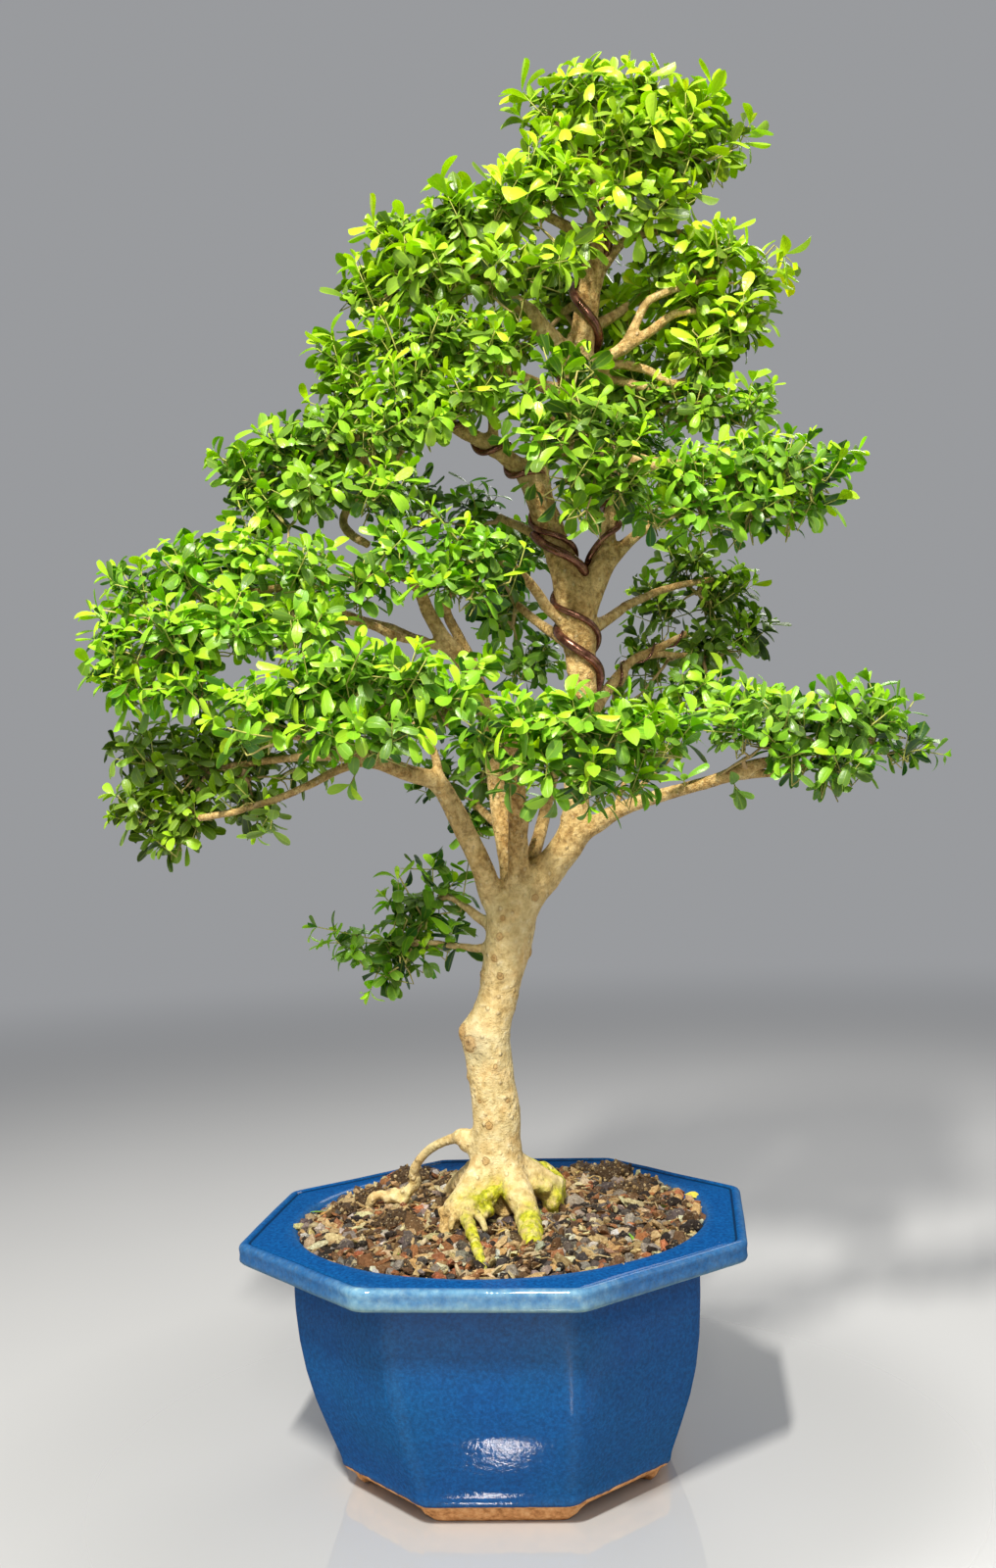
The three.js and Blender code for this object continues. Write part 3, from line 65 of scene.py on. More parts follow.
# Branches and roots: runs of points [x, y, z, radius] in millimetres from the pot's axis.
BRANCHES = {
    'trunk': [[-3.2, 2, 89.9, 14], [-2.5, 2, 108.1, 17.5], [-1.8, 2, 124.8, 18.5], [-1.9, 2, 135.7, 17], [-1.5, 1, 144.9, 15.2], [-1.1, 0, 155.5, 13.9], [-0.8, 0, 168.5, 12.9], [-0.3, 0, 180.5, 12.6], [-2.5, 0, 198.4, 12.1], [-3.8, 0, 213.1, 12.3], [-4.3, 0, 223.1, 12.9], [-1.1, 0, 232.4, 11.2], [3, 0, 243.2, 10.8], [4.9, 0, 252.5, 10.9], [8.1, 0, 265, 11.9], [11.3, 0, 279.6, 12.8], [14.4, 0, 291, 12.8], [20.5, -1, 299.3, 11.6], [28.1, -1, 305.8, 9.8], [36.4, -1, 314.4, 8.9], [43.6, -1, 323, 8.6], [48.3, 0, 333.4, 7.8], [49.4, 1, 346, 6.7], [51.5, 3, 366.1, 6.8], [54.1, 5, 387.4, 7], [56.2, 7, 408.8, 7.2], [55.4, 8, 426.1, 8.2], [54.9, 8, 441.1, 9.4], [52.3, 8, 455.7, 9], [49.4, 8, 469.2, 8], [45.4, 8, 483.4, 7.4], [41.2, 8, 498.1, 7.2], [36.4, 6, 512.3, 7.2], [35.5, 8, 527.9, 7], [41.1, 10, 544.4, 6.8], [51, 10, 563, 6.8], [59.1, 8, 578.3, 7.5], [62.9, 6, 595.4, 7], [66.9, 4, 617.2, 6.3], [70.4, 3, 639.4, 5.8], [73.2, 1, 659, 5.2], [75.9, -2, 676.5, 4.5], [80.1, -5, 693.8, 3.6], [84.7, -8, 709.4, 2.4]],
    'left_main': [[13.1, 0, 285.8, 8], [3.4, -2, 294.2, 6.8], [-2.2, -6, 311.4, 6], [-9, -12, 328, 5.6], [-17.2, -18, 346.4, 5.3], [-24.3, -24, 358.4, 5], [-38.4, -34, 363.8, 4.4], [-55.4, -46, 370.5, 3.8], [-69.6, -56, 375.6, 3.3], [-87.5, -68, 382.5, 2.8], [-109.4, -74, 389.8, 2.2]],
    'left_main_stub': [[-23.8, -24, 358.4, 2.8], [-24, -24, 367.1, 2.4], [-26.5, -26, 377.3, 2], [-35.8, -34, 391, 1.6]],
    'left_cut': [[-59.7, -48, 370.6, 2.6], [-70.3, -52, 367.4, 2.3], [-84, -55, 360.5, 2], [-102.1, -57, 353.4, 1.8], [-121.7, -58, 347.8, 1.6], [-143.7, -58, 344.8, 1.7]],
    'mid_back': [[13.6, 4, 296.1, 6], [11.8, 10, 314.5, 5.6], [9.5, 16, 333.3, 5.4], [7.1, 22, 353.4, 5], [5.8, 27, 374.3, 4.8], [2.8, 30, 393.8, 4.6], [-1.4, 32, 413.4, 4.6], [-10.1, 30, 428.9, 4.4], [-19.4, 26, 440.9, 4.2], [-26.8, 20, 454.1, 3.8], [-32.4, 10, 467.4, 3.2], [-42.3, 0, 473.1, 2.4]],
    'mid_back_b': [[-0.4, 32, 410.6, 3.4], [-4.2, 34, 427.5, 3.2], [-10.8, 34, 441.6, 3], [-17.2, 30, 456.8, 2.8], [-12.7, 18, 467.9, 2.2], [-5.2, 2, 474.6, 1.8]],
    'mid_back_c': [[-14.3, 29, 433.4, 2.8], [-31.4, 24, 438.4, 2.6], [-47.1, 16, 441.8, 2.6], [-57.1, 8, 446.6, 2.4], [-74.5, -4, 448.8, 2]],
    'mid_front': [[16.1, -3, 296.4, 6], [16.7, -10, 314.9, 5.4], [16.9, -18, 335.7, 5], [16.9, -27, 353.6, 4.6], [15.7, -42, 368.3, 4], [14.8, -62, 378.8, 3.2], [23.3, -80, 385.5, 2.4]],
    'mid_back_right': [[21.6, 4, 309, 4.4], [26.7, 14, 321.3, 3.9], [31.4, 26, 334, 3.6], [35.2, 38, 347.1, 3.4], [40.9, 52, 362.8, 3.2], [53.2, 68, 377.1, 2.8], [74.6, 80, 385.6, 2.2]],
    'mid_stub': [[20, 0, 326.1, 2], [21.4, 0, 334.5, 1.8], [22.1, -1, 343.9, 1.7]],
    'right_low': [[47.5, -2, 329.2, 6], [56.9, -5, 332.5, 5], [66.2, -10, 337.9, 4.3], [75.3, -14, 342.2, 3.9], [92, -20, 347.1, 3.5], [107.7, -27, 351, 3.3], [122.2, -33, 354.8, 3.3], [136.8, -38, 360.1, 3.2], [151.6, -40, 363, 2.7], [172, -40, 368.7, 2.3], [195.5, -38, 373.9, 1.9]],
    'right_low_twig_a': [[77.9, -15, 342.6, 2], [82.1, -18, 352.2, 1.7], [93.5, -26, 362.8, 1.5], [100.2, -32, 370.4, 1.2]],
    'right_low_twig_b': [[67.2, -10, 337.9, 1.6], [70.6, -10, 345, 1.4], [74.5, -12, 355.2, 1.2], [81.2, -18, 366.7, 1]],
    'right_low_under': [[127.2, -34, 356.1, 2.6], [136.8, -37, 356.1, 2.4], [149.8, -40, 356.5, 2], [168.7, -42, 359.7, 1.5]],
    'left_small': [[46.5, 8, 445.2, 3.6], [39.1, 4, 450.8, 3.2], [33.3, -4, 458.3, 2.9], [27.4, -14, 464.3, 2.6], [20, -30, 468.1, 2.2], [7.8, -46, 470.9, 1.8]],
    'right_sub': [[55.2, 8, 446.5, 7], [62.1, 9, 458.1, 6.6], [67.7, 10, 473.2, 5.6], [72, 10, 485.9, 4.6], [74.5, 8, 499.5, 3.9], [78, 4, 514.6, 3.2], [84.6, 0, 526.8, 2.6]],
    'right_sub_b': [[66.9, 10, 467.8, 4.6], [73.3, 11, 476.4, 4.2], [81.8, 12, 484.9, 3.6], [90.7, 12, 492.1, 3], [105.5, 6, 500.5, 2.4], [123.4, -2, 508.8, 1.9]],
    'rb_a': [[63.8, 12, 441.3, 4], [72.2, 20, 446.4, 3.2], [84.6, 32, 455.3, 2.6], [97, 42, 461.8, 2.3], [115.4, 52, 468.3, 2], [139.2, 58, 472.3, 1.6]],
    'rb_b': [[56.6, 10, 388.7, 4.4], [66.3, 24, 401.8, 3.6], [79, 36, 417.2, 3], [87.3, 44, 425.5, 2.6], [99.1, 52, 431, 2.4], [111.4, 58, 436.9, 2], [121, 60, 441.3, 1.9]],
    'rb_c': [[90.4, 46, 426.7, 2], [103.8, 54, 429.4, 1.9], [120.4, 60, 428.8, 1.7], [136.6, 62, 426.7, 1.4]],
    'rb_d': [[81.2, 36, 417.1, 2.4], [76.9, 44, 404.6, 2.2], [84.5, 58, 392.4, 2], [101.4, 70, 385.1, 1.6]],
    'wired_left': [[36, 6, 516.7, 5.4], [26.3, 4, 528.4, 5], [16.4, 0, 536.3, 4.6], [6.6, -4, 542.1, 4.2], [-3.7, -8, 546.7, 3.8], [-12.4, -12, 551.3, 3.4], [-25.1, -18, 552.7, 2.8], [-43.3, -22, 545.5, 2.4], [-69.2, -22, 540.3, 2]],
    'wired_left_up': [[11.8, -1, 539.5, 3.2], [12.7, -3, 548.5, 2.9], [12.1, -6, 559.9, 2.7], [8.8, -14, 569.9, 2.4], [-3.3, -22, 578.3, 2]],
    'ls_low': [[-24.2, -17, 551.9, 2.4], [-42.7, 4, 535.3, 2.2], [-59.9, 12, 522.8, 2.8], [-70.9, 8, 505.1, 2.4], [-66.3, 0, 495.3, 2.6], [-56.9, -8, 487.6, 2.2]],
    'cm': [[38.6, 9, 537.7, 4.2], [45.2, -8, 535.3, 3.4], [53.4, -28, 533, 2.8], [62.6, -48, 529.5, 2.2]],
    'rl': [[44, 10, 550.8, 4.6], [64.4, 6, 541.4, 4], [89.8, -2, 528.8, 3.4], [117.4, -10, 519.4, 2.8], [148.9, -10, 518.2, 2.2], [178.8, -6, 520.1, 1.7]],
    'lu_a': [[56, 8, 568.7, 4.2], [37.6, 0, 573, 3.4], [17.5, -12, 578.6, 3], [-5.7, -18, 583.3, 2.4], [-37, -16, 583.6, 2]],
    'lu_limb': [[58.7, 7, 584, 6.2], [51.4, 4, 592.5, 5.4], [42.9, -2, 601, 4.9], [34.6, -8, 608.9, 4.6], [27.3, -12, 614.1, 4.2], [11.5, -18, 624.6, 3.4], [-8.8, -20, 636.7, 2.6], [-34.9, -16, 637.6, 2]],
    'lu_limb_b': [[71.8, 1, 650.4, 3.6], [57.6, -8, 654.8, 3], [39.1, -16, 661.2, 2.6], [18.3, -20, 664, 2]],
    'r1': [[62.8, 7, 580.6, 4.4], [72.5, 4, 585.2, 3.6], [86.5, 2, 592.1, 3], [100.6, 1, 599.9, 2.6], [114.7, 0, 608.6, 2.2], [136.1, 0, 608.9, 1.7]],
    'r1b': [[85.4, 2, 591.6, 2.6], [92.2, 1, 603.4, 2.4], [99.4, -1, 615.3, 2.3], [109.6, -2, 619.9, 2], [122.1, -2, 623.8, 1.9], [144.6, -2, 628.3, 1.4]],
    'r2': [[71.1, 4, 628.9, 3.6], [77.8, 8, 640, 3], [88.7, 9, 652.4, 2.7], [101.4, 6, 655.7, 2.5], [117.1, 3, 654.4, 2.1], [137.7, 0, 645.4, 1.6]],
    'r3': [[67.7, 8, 605.1, 3.8], [79.3, 20, 613.6, 3], [100.1, 30, 628.5, 2.6], [121.6, 34, 638.1, 2]],
    'r4': [[59.5, 9, 574.8, 4], [73, 14, 579.6, 3], [97.9, 16, 573.8, 2.6], [119.7, 14, 569.1, 2.3], [143.4, 8, 562.7, 1.7]],
    'r5': [[66.2, 9, 580, 3], [81.6, 10, 585.1, 2.6], [97.6, 10, 581.8, 2.4], [114, 10, 573.6, 2.2], [130.7, 8, 580.5, 1.6]],
    'ap_a': [[75.9, -2, 676.5, 3.2], [68.7, -6, 691.1, 2.6], [59.5, -10, 704, 2], [49.5, -10, 716.6, 1.4]],
    'ap_b': [[79.4, -5, 691.1, 3], [95.8, -4, 700.1, 2.6], [114.2, -4, 706.4, 2.2], [134.2, -4, 701.9, 1.6]],
    'bk_a': [[55.4, 9, 426.2, 4.2], [47.4, 30, 437.1, 3.4], [35.5, 52, 449.9, 2.8], [22.5, 74, 465.6, 2.2]],
    'bk_b': [[38.4, 9, 532.4, 4.2], [50.9, 34, 543.6, 3.2], [77.3, 58, 558.3, 2.4]],
    'bk_c': [[67.5, 6, 616.8, 3.8], [64.1, 30, 626.5, 3], [57.1, 52, 630, 2.2]],
    'bk_d': [[53.6, 6, 386.4, 4], [59.6, 34, 380.8, 3], [68.5, 64, 379.2, 2.4]],
    'bk_e': [[9.5, 16, 333.3, 3], [2.7, 32, 339, 2.4], [-4.7, 50, 346.6, 2]],
    'bk_f': [[44.9, 8, 483.4, 4], [34.1, 34, 498, 3], [15.6, 62, 514, 2.2]],
    'bk_g': [[5.8, 27, 374.3, 3.6], [-12, 50, 390.1, 3.2], [-34.9, 75, 405.9, 2.8], [-64, 82, 414.6, 2.4], [-98.6, 80, 418.1, 1.8]],
    'bk_h': [[-31.4, 24, 438.4, 2.8], [-48, 34, 447.5, 2.6], [-70.8, 46, 456.7, 2.4], [-93.4, 52, 468.6, 2], [-121.7, 52, 465.2, 1.6]],
    'bk_i': [[-42.7, 4, 535.3, 2.6], [-57.5, 24, 540.8, 2.5], [-74.8, 36, 546.7, 2.3], [-99.8, 36, 545.4, 1.8]],
    'bk_j': [[89.8, -2, 528.8, 3], [118.2, 12, 528.9, 2.7], [150.4, 26, 528.9, 2.4], [178.2, 28, 527.2, 1.8]],
    'bk_k': [[34.6, -8, 608.9, 3.4], [17.2, 16, 631, 3], [-6.9, 30, 647, 2.6], [-37.5, 30, 641.5, 2]],
    'bk_l': [[100.1, 30, 628.5, 2.6], [126.9, 42, 634.1, 2.4], [148.7, 46, 629, 1.9]],
    'llb': [[-55.4, -46, 370.5, 2.6], [-83.2, -22, 374.7, 2.2], [-115.2, 4, 375, 2], [-148.9, 14, 371.9, 1.8]],
    'l3': [[-42.3, 0, 473.1, 2.4], [-69.8, -18, 468.5, 2.2], [-101.9, -30, 462.7, 2], [-139.8, -32, 456.2, 1.7]],
    'sprig': [[1.9, 4, 280.7, 3.6], [-5.9, 8, 285.6, 2.8], [-13.1, 12, 291.5, 2.2], [-23.2, 15, 297.1, 1.7], [-31.4, 14, 292.1, 1.4]],
    'sprig_b': [[2.5, 2, 270.3, 3], [-7.1, 5, 268.9, 2.2], [-16.1, 8, 270.1, 1.8], [-32, 11, 272.6, 1.5], [-53.4, 12, 274.4, 1.2]],
    'root_aerial': [[-11.8, 2, 163.3, 5.5], [-16.9, 4, 167.8, 5], [-22.2, 6, 167.6, 3.2], [-29.3, 9, 165.2, 2.6], [-37.5, 12, 160.6, 2.5], [-43.8, 15, 153.9, 2.5], [-46.9, 18, 146.9, 2.6], [-45.1, 20, 139.9, 2.7], [-49.6, 20, 134.8, 2.8], [-59.3, 20, 133.6, 2.8], [-70.1, 20, 131.9, 2.4], [-81, 20, 127.1, 2]],
    'root_front_right': [[2.3, -4, 151.1, 9.5], [7.6, -14, 144.5, 8.4], [12.6, -28, 136.2, 6.6], [14.4, -42, 130, 5.6], [14.8, -54, 123.6, 4.6], [15, -66, 115.2, 3.4]],
    'root_left': [[-6.5, -2, 151, 9.5], [-12.5, -8, 143.9, 7.6], [-18.9, -16, 138, 6.2], [-23.2, -22, 130.6, 5.2], [-28.9, -30, 121, 4]],
    'root_front_left': [[-14.6, -18, 141.4, 4.6], [-17.7, -30, 136.6, 3.2], [-16.2, -48, 132.5, 2.7], [-13.2, -70, 129.5, 2.4], [-10, -88, 126.2, 2.2], [-7.9, -96, 119.9, 1.8]],
    'root_right': [[6.6, 2, 151.1, 9], [14.9, 6, 144, 7.6], [24.3, 9, 138.1, 6.4], [31.5, 12, 130.7, 5.4], [40.7, 14, 118.7, 4]],
    'root_back_right': [[5.7, 8, 151.8, 8.6], [17.5, 18, 146.8, 6.4], [27.3, 28, 141.4, 5.4], [36.6, 36, 132, 4.4], [43.7, 42, 120.3, 3.2]],
    'root_back_left': [[-6, 10, 149.7, 8.4], [-16, 24, 142.5, 6.6], [-25.3, 38, 133, 5], [-33.9, 50, 119.3, 3.6]],
}
# Training wires: (radius, points along the winding).
WIRES = {
    'wire_trunk_heavy': (2.2, [[59.2, -1.9, 366.8], [57.4, -4, 370.3], [54.8, -5.2, 373.7], [51.9, -5.2, 377.1], [49.1, -4, 380.2], [46.7, -1.8, 383.2], [45.2, 1.3, 386], [44.9, 4.9, 388.7], [45.7, 8.5, 391.2], [47.7, 11.7, 393.6], [50.7, 14.1, 396], [54.2, 15.4, 398.4], [57.8, 15.6, 401.1], [61.2, 14.6, 404.1], [63.8, 12.6, 407.5], [65.3, 9.9, 411], [65.7, 6.7, 414.5], [64.8, 3.5, 417.8], [62.8, 0.7, 420.8], [59.7, -1.5, 423.5], [55.9, -2.5, 426.2], [51.9, -2.2, 429.1], [48.2, -0.6, 432], [45.3, 2.2, 435], [43.6, 6, 437.8], [43.4, 10.1, 440.5], [44.6, 13.9, 443.1], [46.8, 17, 446.1], [49.8, 18.9, 449.7], [53.1, 19.4, 453.6], [56.4, 18.4, 457.5], [59, 16, 461.2], [60.4, 12.7, 464.8], [60.4, 9, 468.3], [59.1, 5.3, 471.5], [56.6, 2.1, 474.4], [53.1, -0.3, 477], [48.9, -1.6, 479.3], [44.6, -1.7, 481.6], [40.4, -0.5, 484], [36.9, 1.8, 486.7], [34.3, 4.8, 489.7], [32.8, 8.2, 492.9]]),
    'wire_top_heavy': (2.2, [[57.7, 9.9, 556.1], [58.2, 6.6, 558.5], [57.7, 3.7, 561.3], [56.4, 1.5, 564.4], [54.7, 0.2, 567.8], [52.9, 0.1, 571.5], [51.2, 1.2, 574.9], [50.1, 3.2, 577.9], [49.6, 6, 580.4], [50.2, 9.2, 582.5], [51.8, 12.2, 584.4], [54.6, 14.6, 586.2], [58.1, 16, 588], [61.9, 16.2, 589.7], [65.7, 15.2, 591.3], [68.9, 13, 593], [71.3, 10, 594.8], [72.5, 6.4, 596.8], [72.5, 2.8, 599.2], [71.4, -0.3, 601.9], [69.5, -2.7, 604.9], [66.9, -4.1, 608.2], [64.3, -4.2, 611.7], [61.9, -3.2, 615.2], [60.2, -1.2, 618.7], [59.4, 1.4, 622.1], [59.7, 4.4, 625.3], [61, 7.2, 628.3], [63.4, 9.5, 631.2], [66.5, 11, 634], [69.9, 11.3, 636.9], [73.3, 10.6, 639.8], [76.3, 8.7, 642.8], [78.4, 6.1, 645.9], [79.6, 2.9, 649.1], [79.8, -0.3, 652.4], [79, -3.2, 656], [77.4, -5.5, 659.9], [75.4, -7, 664], [73.4, -7.6, 668.2], [71.5, -7.2, 672.1], [70.3, -6, 676.1], [70, -4.4, 680.1]]),
    'wire_left_branch': (1.45, [[61.6, 6.4, 380.1], [62.1, 3.6, 383.2], [61.6, 0.9, 386.4], [60.1, -1.2, 389.7], [57.8, -2.5, 393], [55.2, -2.8, 396.3], [52.5, -2, 399.6], [50.1, -0.1, 402.5], [48.4, 2.5, 405.2], [47.5, 5.7, 407.7], [47.6, 9, 410.1], [48.6, 12.1, 412.6], [50.5, 14.8, 415.4], [53.2, 16.6, 418.4], [56.3, 17.3, 421.5], [59.5, 16.7, 424.7], [62.4, 14.9, 427.7], [64.6, 12, 430.7], [65.6, 8.4, 433.5], [65.3, 4.7, 436.4], [63.5, 1.2, 439.4], [60.6, -1.4, 442.1], [56.7, -2.7, 444.6], [52.4, -2.7, 446.8], [48.4, -1.4, 448.8], [45, 1.1, 450.9], [42.6, 4.5, 453.2], [41.7, 8.3, 455.7], [42.1, 11.9, 458.6], [43.6, 14.8, 461.7], [45.9, 16.8, 464.9], [48.6, 17.6, 468.3], [51.2, 17.2, 471.7], [53.4, 15.6, 475], [54.9, 13.2, 478.2], [55.3, 10.2, 481], [54.7, 6.9, 483.5], [53, 3.8, 485.7], [50.4, 1.3, 487.5], [47.1, -0.3, 489.1], [43.4, -0.8, 490.6], [39.8, -0.2, 492], [36.6, 1.4, 493.4], [34.1, 3.8, 495], [32.4, 6.6, 497], [31.5, 9.4, 499.6], [31.6, 11.9, 502.8], [32.7, 13.7, 506.2], [34.8, 14.7, 509.4], [37.4, 14.7, 512.2], [40, 13.5, 514.8], [41.3, 10.9, 517.4], [41.8, 8.6, 519.9], [41.3, 6.3, 522.2], [39.8, 3.8, 524], [37.6, 1.6, 525.1], [35, -0.2, 525.5], [32.2, -1.4, 525.2], [29.3, -1.8, 524.6], [26.7, -1.4, 524], [24.3, -0.2, 523.7], [22.3, 1.5, 523.8], [20.8, 3.4, 524.6], [19.8, 5.3, 526.1], [19.3, 6.9, 528], [19.2, 7.9, 530.4], [19.5, 8.3, 532.9], [20, 7.8, 535.3], [20.6, 6.6, 537.5], [21, 4.8, 539.2], [21.1, 2.5, 540.3], [20.9, 0, 540.8], [20.2, -2.4, 540.6], [18.9, -4.5, 539.9], [17.3, -6.1, 538.9], [15.2, -7, 537.7], [13, -7.2, 536.6], [10.7, -6.7, 535.8], [8.4, -5.6, 535.4], [6.5, -4.2, 535.7], [4.8, -2.7, 536.6], [3.4, -1.4, 538.1], [2.4, -0.4, 540.1], [1.7, 0.1, 542.4], [1.2, -0.1, 544.8], [0.9, -1.1, 547], [0.7, -2.6, 548.9], [0.4, -4.6, 550.3], [0, -6.9, 551], [-0.8, -9.3, 551], [-1.9, -11.4, 550.6], [-3.3, -13.1, 549.9], [-5.1, -14.3, 549.1], [-7, -14.9, 548.2], [-9, -14.9, 547.3], [-10.9, -14.3, 546.8], [-12.9, -13.5, 546.5], [-14.7, -12.5, 546.7], [-16.3, -11.6, 547.4], [-17.9, -10.9, 548.6], [-19.3, -10.7, 550.1], [-20.5, -11, 551.9], [-21.6, -11.7, 553.6], [-22.4, -13, 555.2], [-23.2, -14.6, 556.4]]),
    'wire_right_branch': (1.5, [[62.5, 16.3, 470.1], [61.6, 14.5, 473.4], [61.6, 12.1, 476.5], [62.6, 9.6, 479.4], [64.6, 7.3, 482.5], [67.5, 5.5, 486], [70.2, 4.3, 488.6], [72.8, 3.7, 490.6], [75.2, 3.8, 492.1], [77.2, 4.6, 493.5], [78.7, 5.9, 494.9], [79.6, 7.6, 496.3], [79.7, 9.3, 497.7], [79.2, 10.9, 499.2], [78.1, 12.1, 500.7], [76.6, 12.7, 502.2], [74.9, 12.6, 503.6], [73.2, 11.9, 504.7], [71.9, 10.6, 505.6], [71, 8.8, 506.3], [70.7, 6.8, 506.7], [71, 4.8, 507], [72, 3.1, 507.1], [73.4, 1.7, 507.3], [75.2, 0.9, 507.4], [77.2, 0.7, 507.9], [79.1, 1.1, 508.7], [80.6, 2, 509.6], [81.8, 3.2, 510.7], [82.3, 4.6, 511.9], [82.3, 5.9, 513.3], [81.8, 7, 514.8], [81, 7.6, 516.4], [79.9, 7.8, 518], [78.8, 7.3, 519.5], [77.9, 6.3, 520.9], [77.2, 4.9, 522]]),
    'wire_back_twig': (0.7, [[78.3, 31.6, 410.6], [79.2, 31.3, 412.6], [79.7, 31.4, 414.8], [79.9, 31.8, 416.9], [79.9, 32.7, 419], [79.9, 34.3, 421], [80, 36.2, 422.6], [80.2, 38.3, 423.8], [80.8, 40.5, 424.6], [81.7, 42.6, 425], [82.9, 44.5, 425.2], [84.4, 46, 425.1], [86.1, 47.2, 424.9], [87.9, 47.9, 424.7], [89.8, 48.3, 424.6], [91.7, 48.4, 424.7], [93.6, 48.3, 425.1], [95.4, 48.2, 425.9], [96.9, 48, 427], [98.2, 48, 428.5], [99.2, 48.3, 430], [99.9, 48.9, 431.7], [100.4, 49.8, 433.2], [100.9, 51.1, 434.4], [101.3, 52.6, 435.3], [101.9, 54.2, 435.8], [102.6, 55.8, 435.9], [103.6, 57.2, 435.8], [104.8, 58.3, 435.4], [106.2, 59.2, 435], [107.8, 59.6, 434.6], [109.4, 59.7, 434.3], [111, 59.4, 434.2], [112.5, 58.8, 434.4], [113.7, 58.2, 434.9], [114.8, 57.5, 435.7], [115.7, 56.9, 436.8], [116.5, 56.6, 438], [117.1, 56.6, 439.4], [117.6, 56.9, 440.7], [118.3, 57.6, 442], [119, 58.5, 443]]),
}
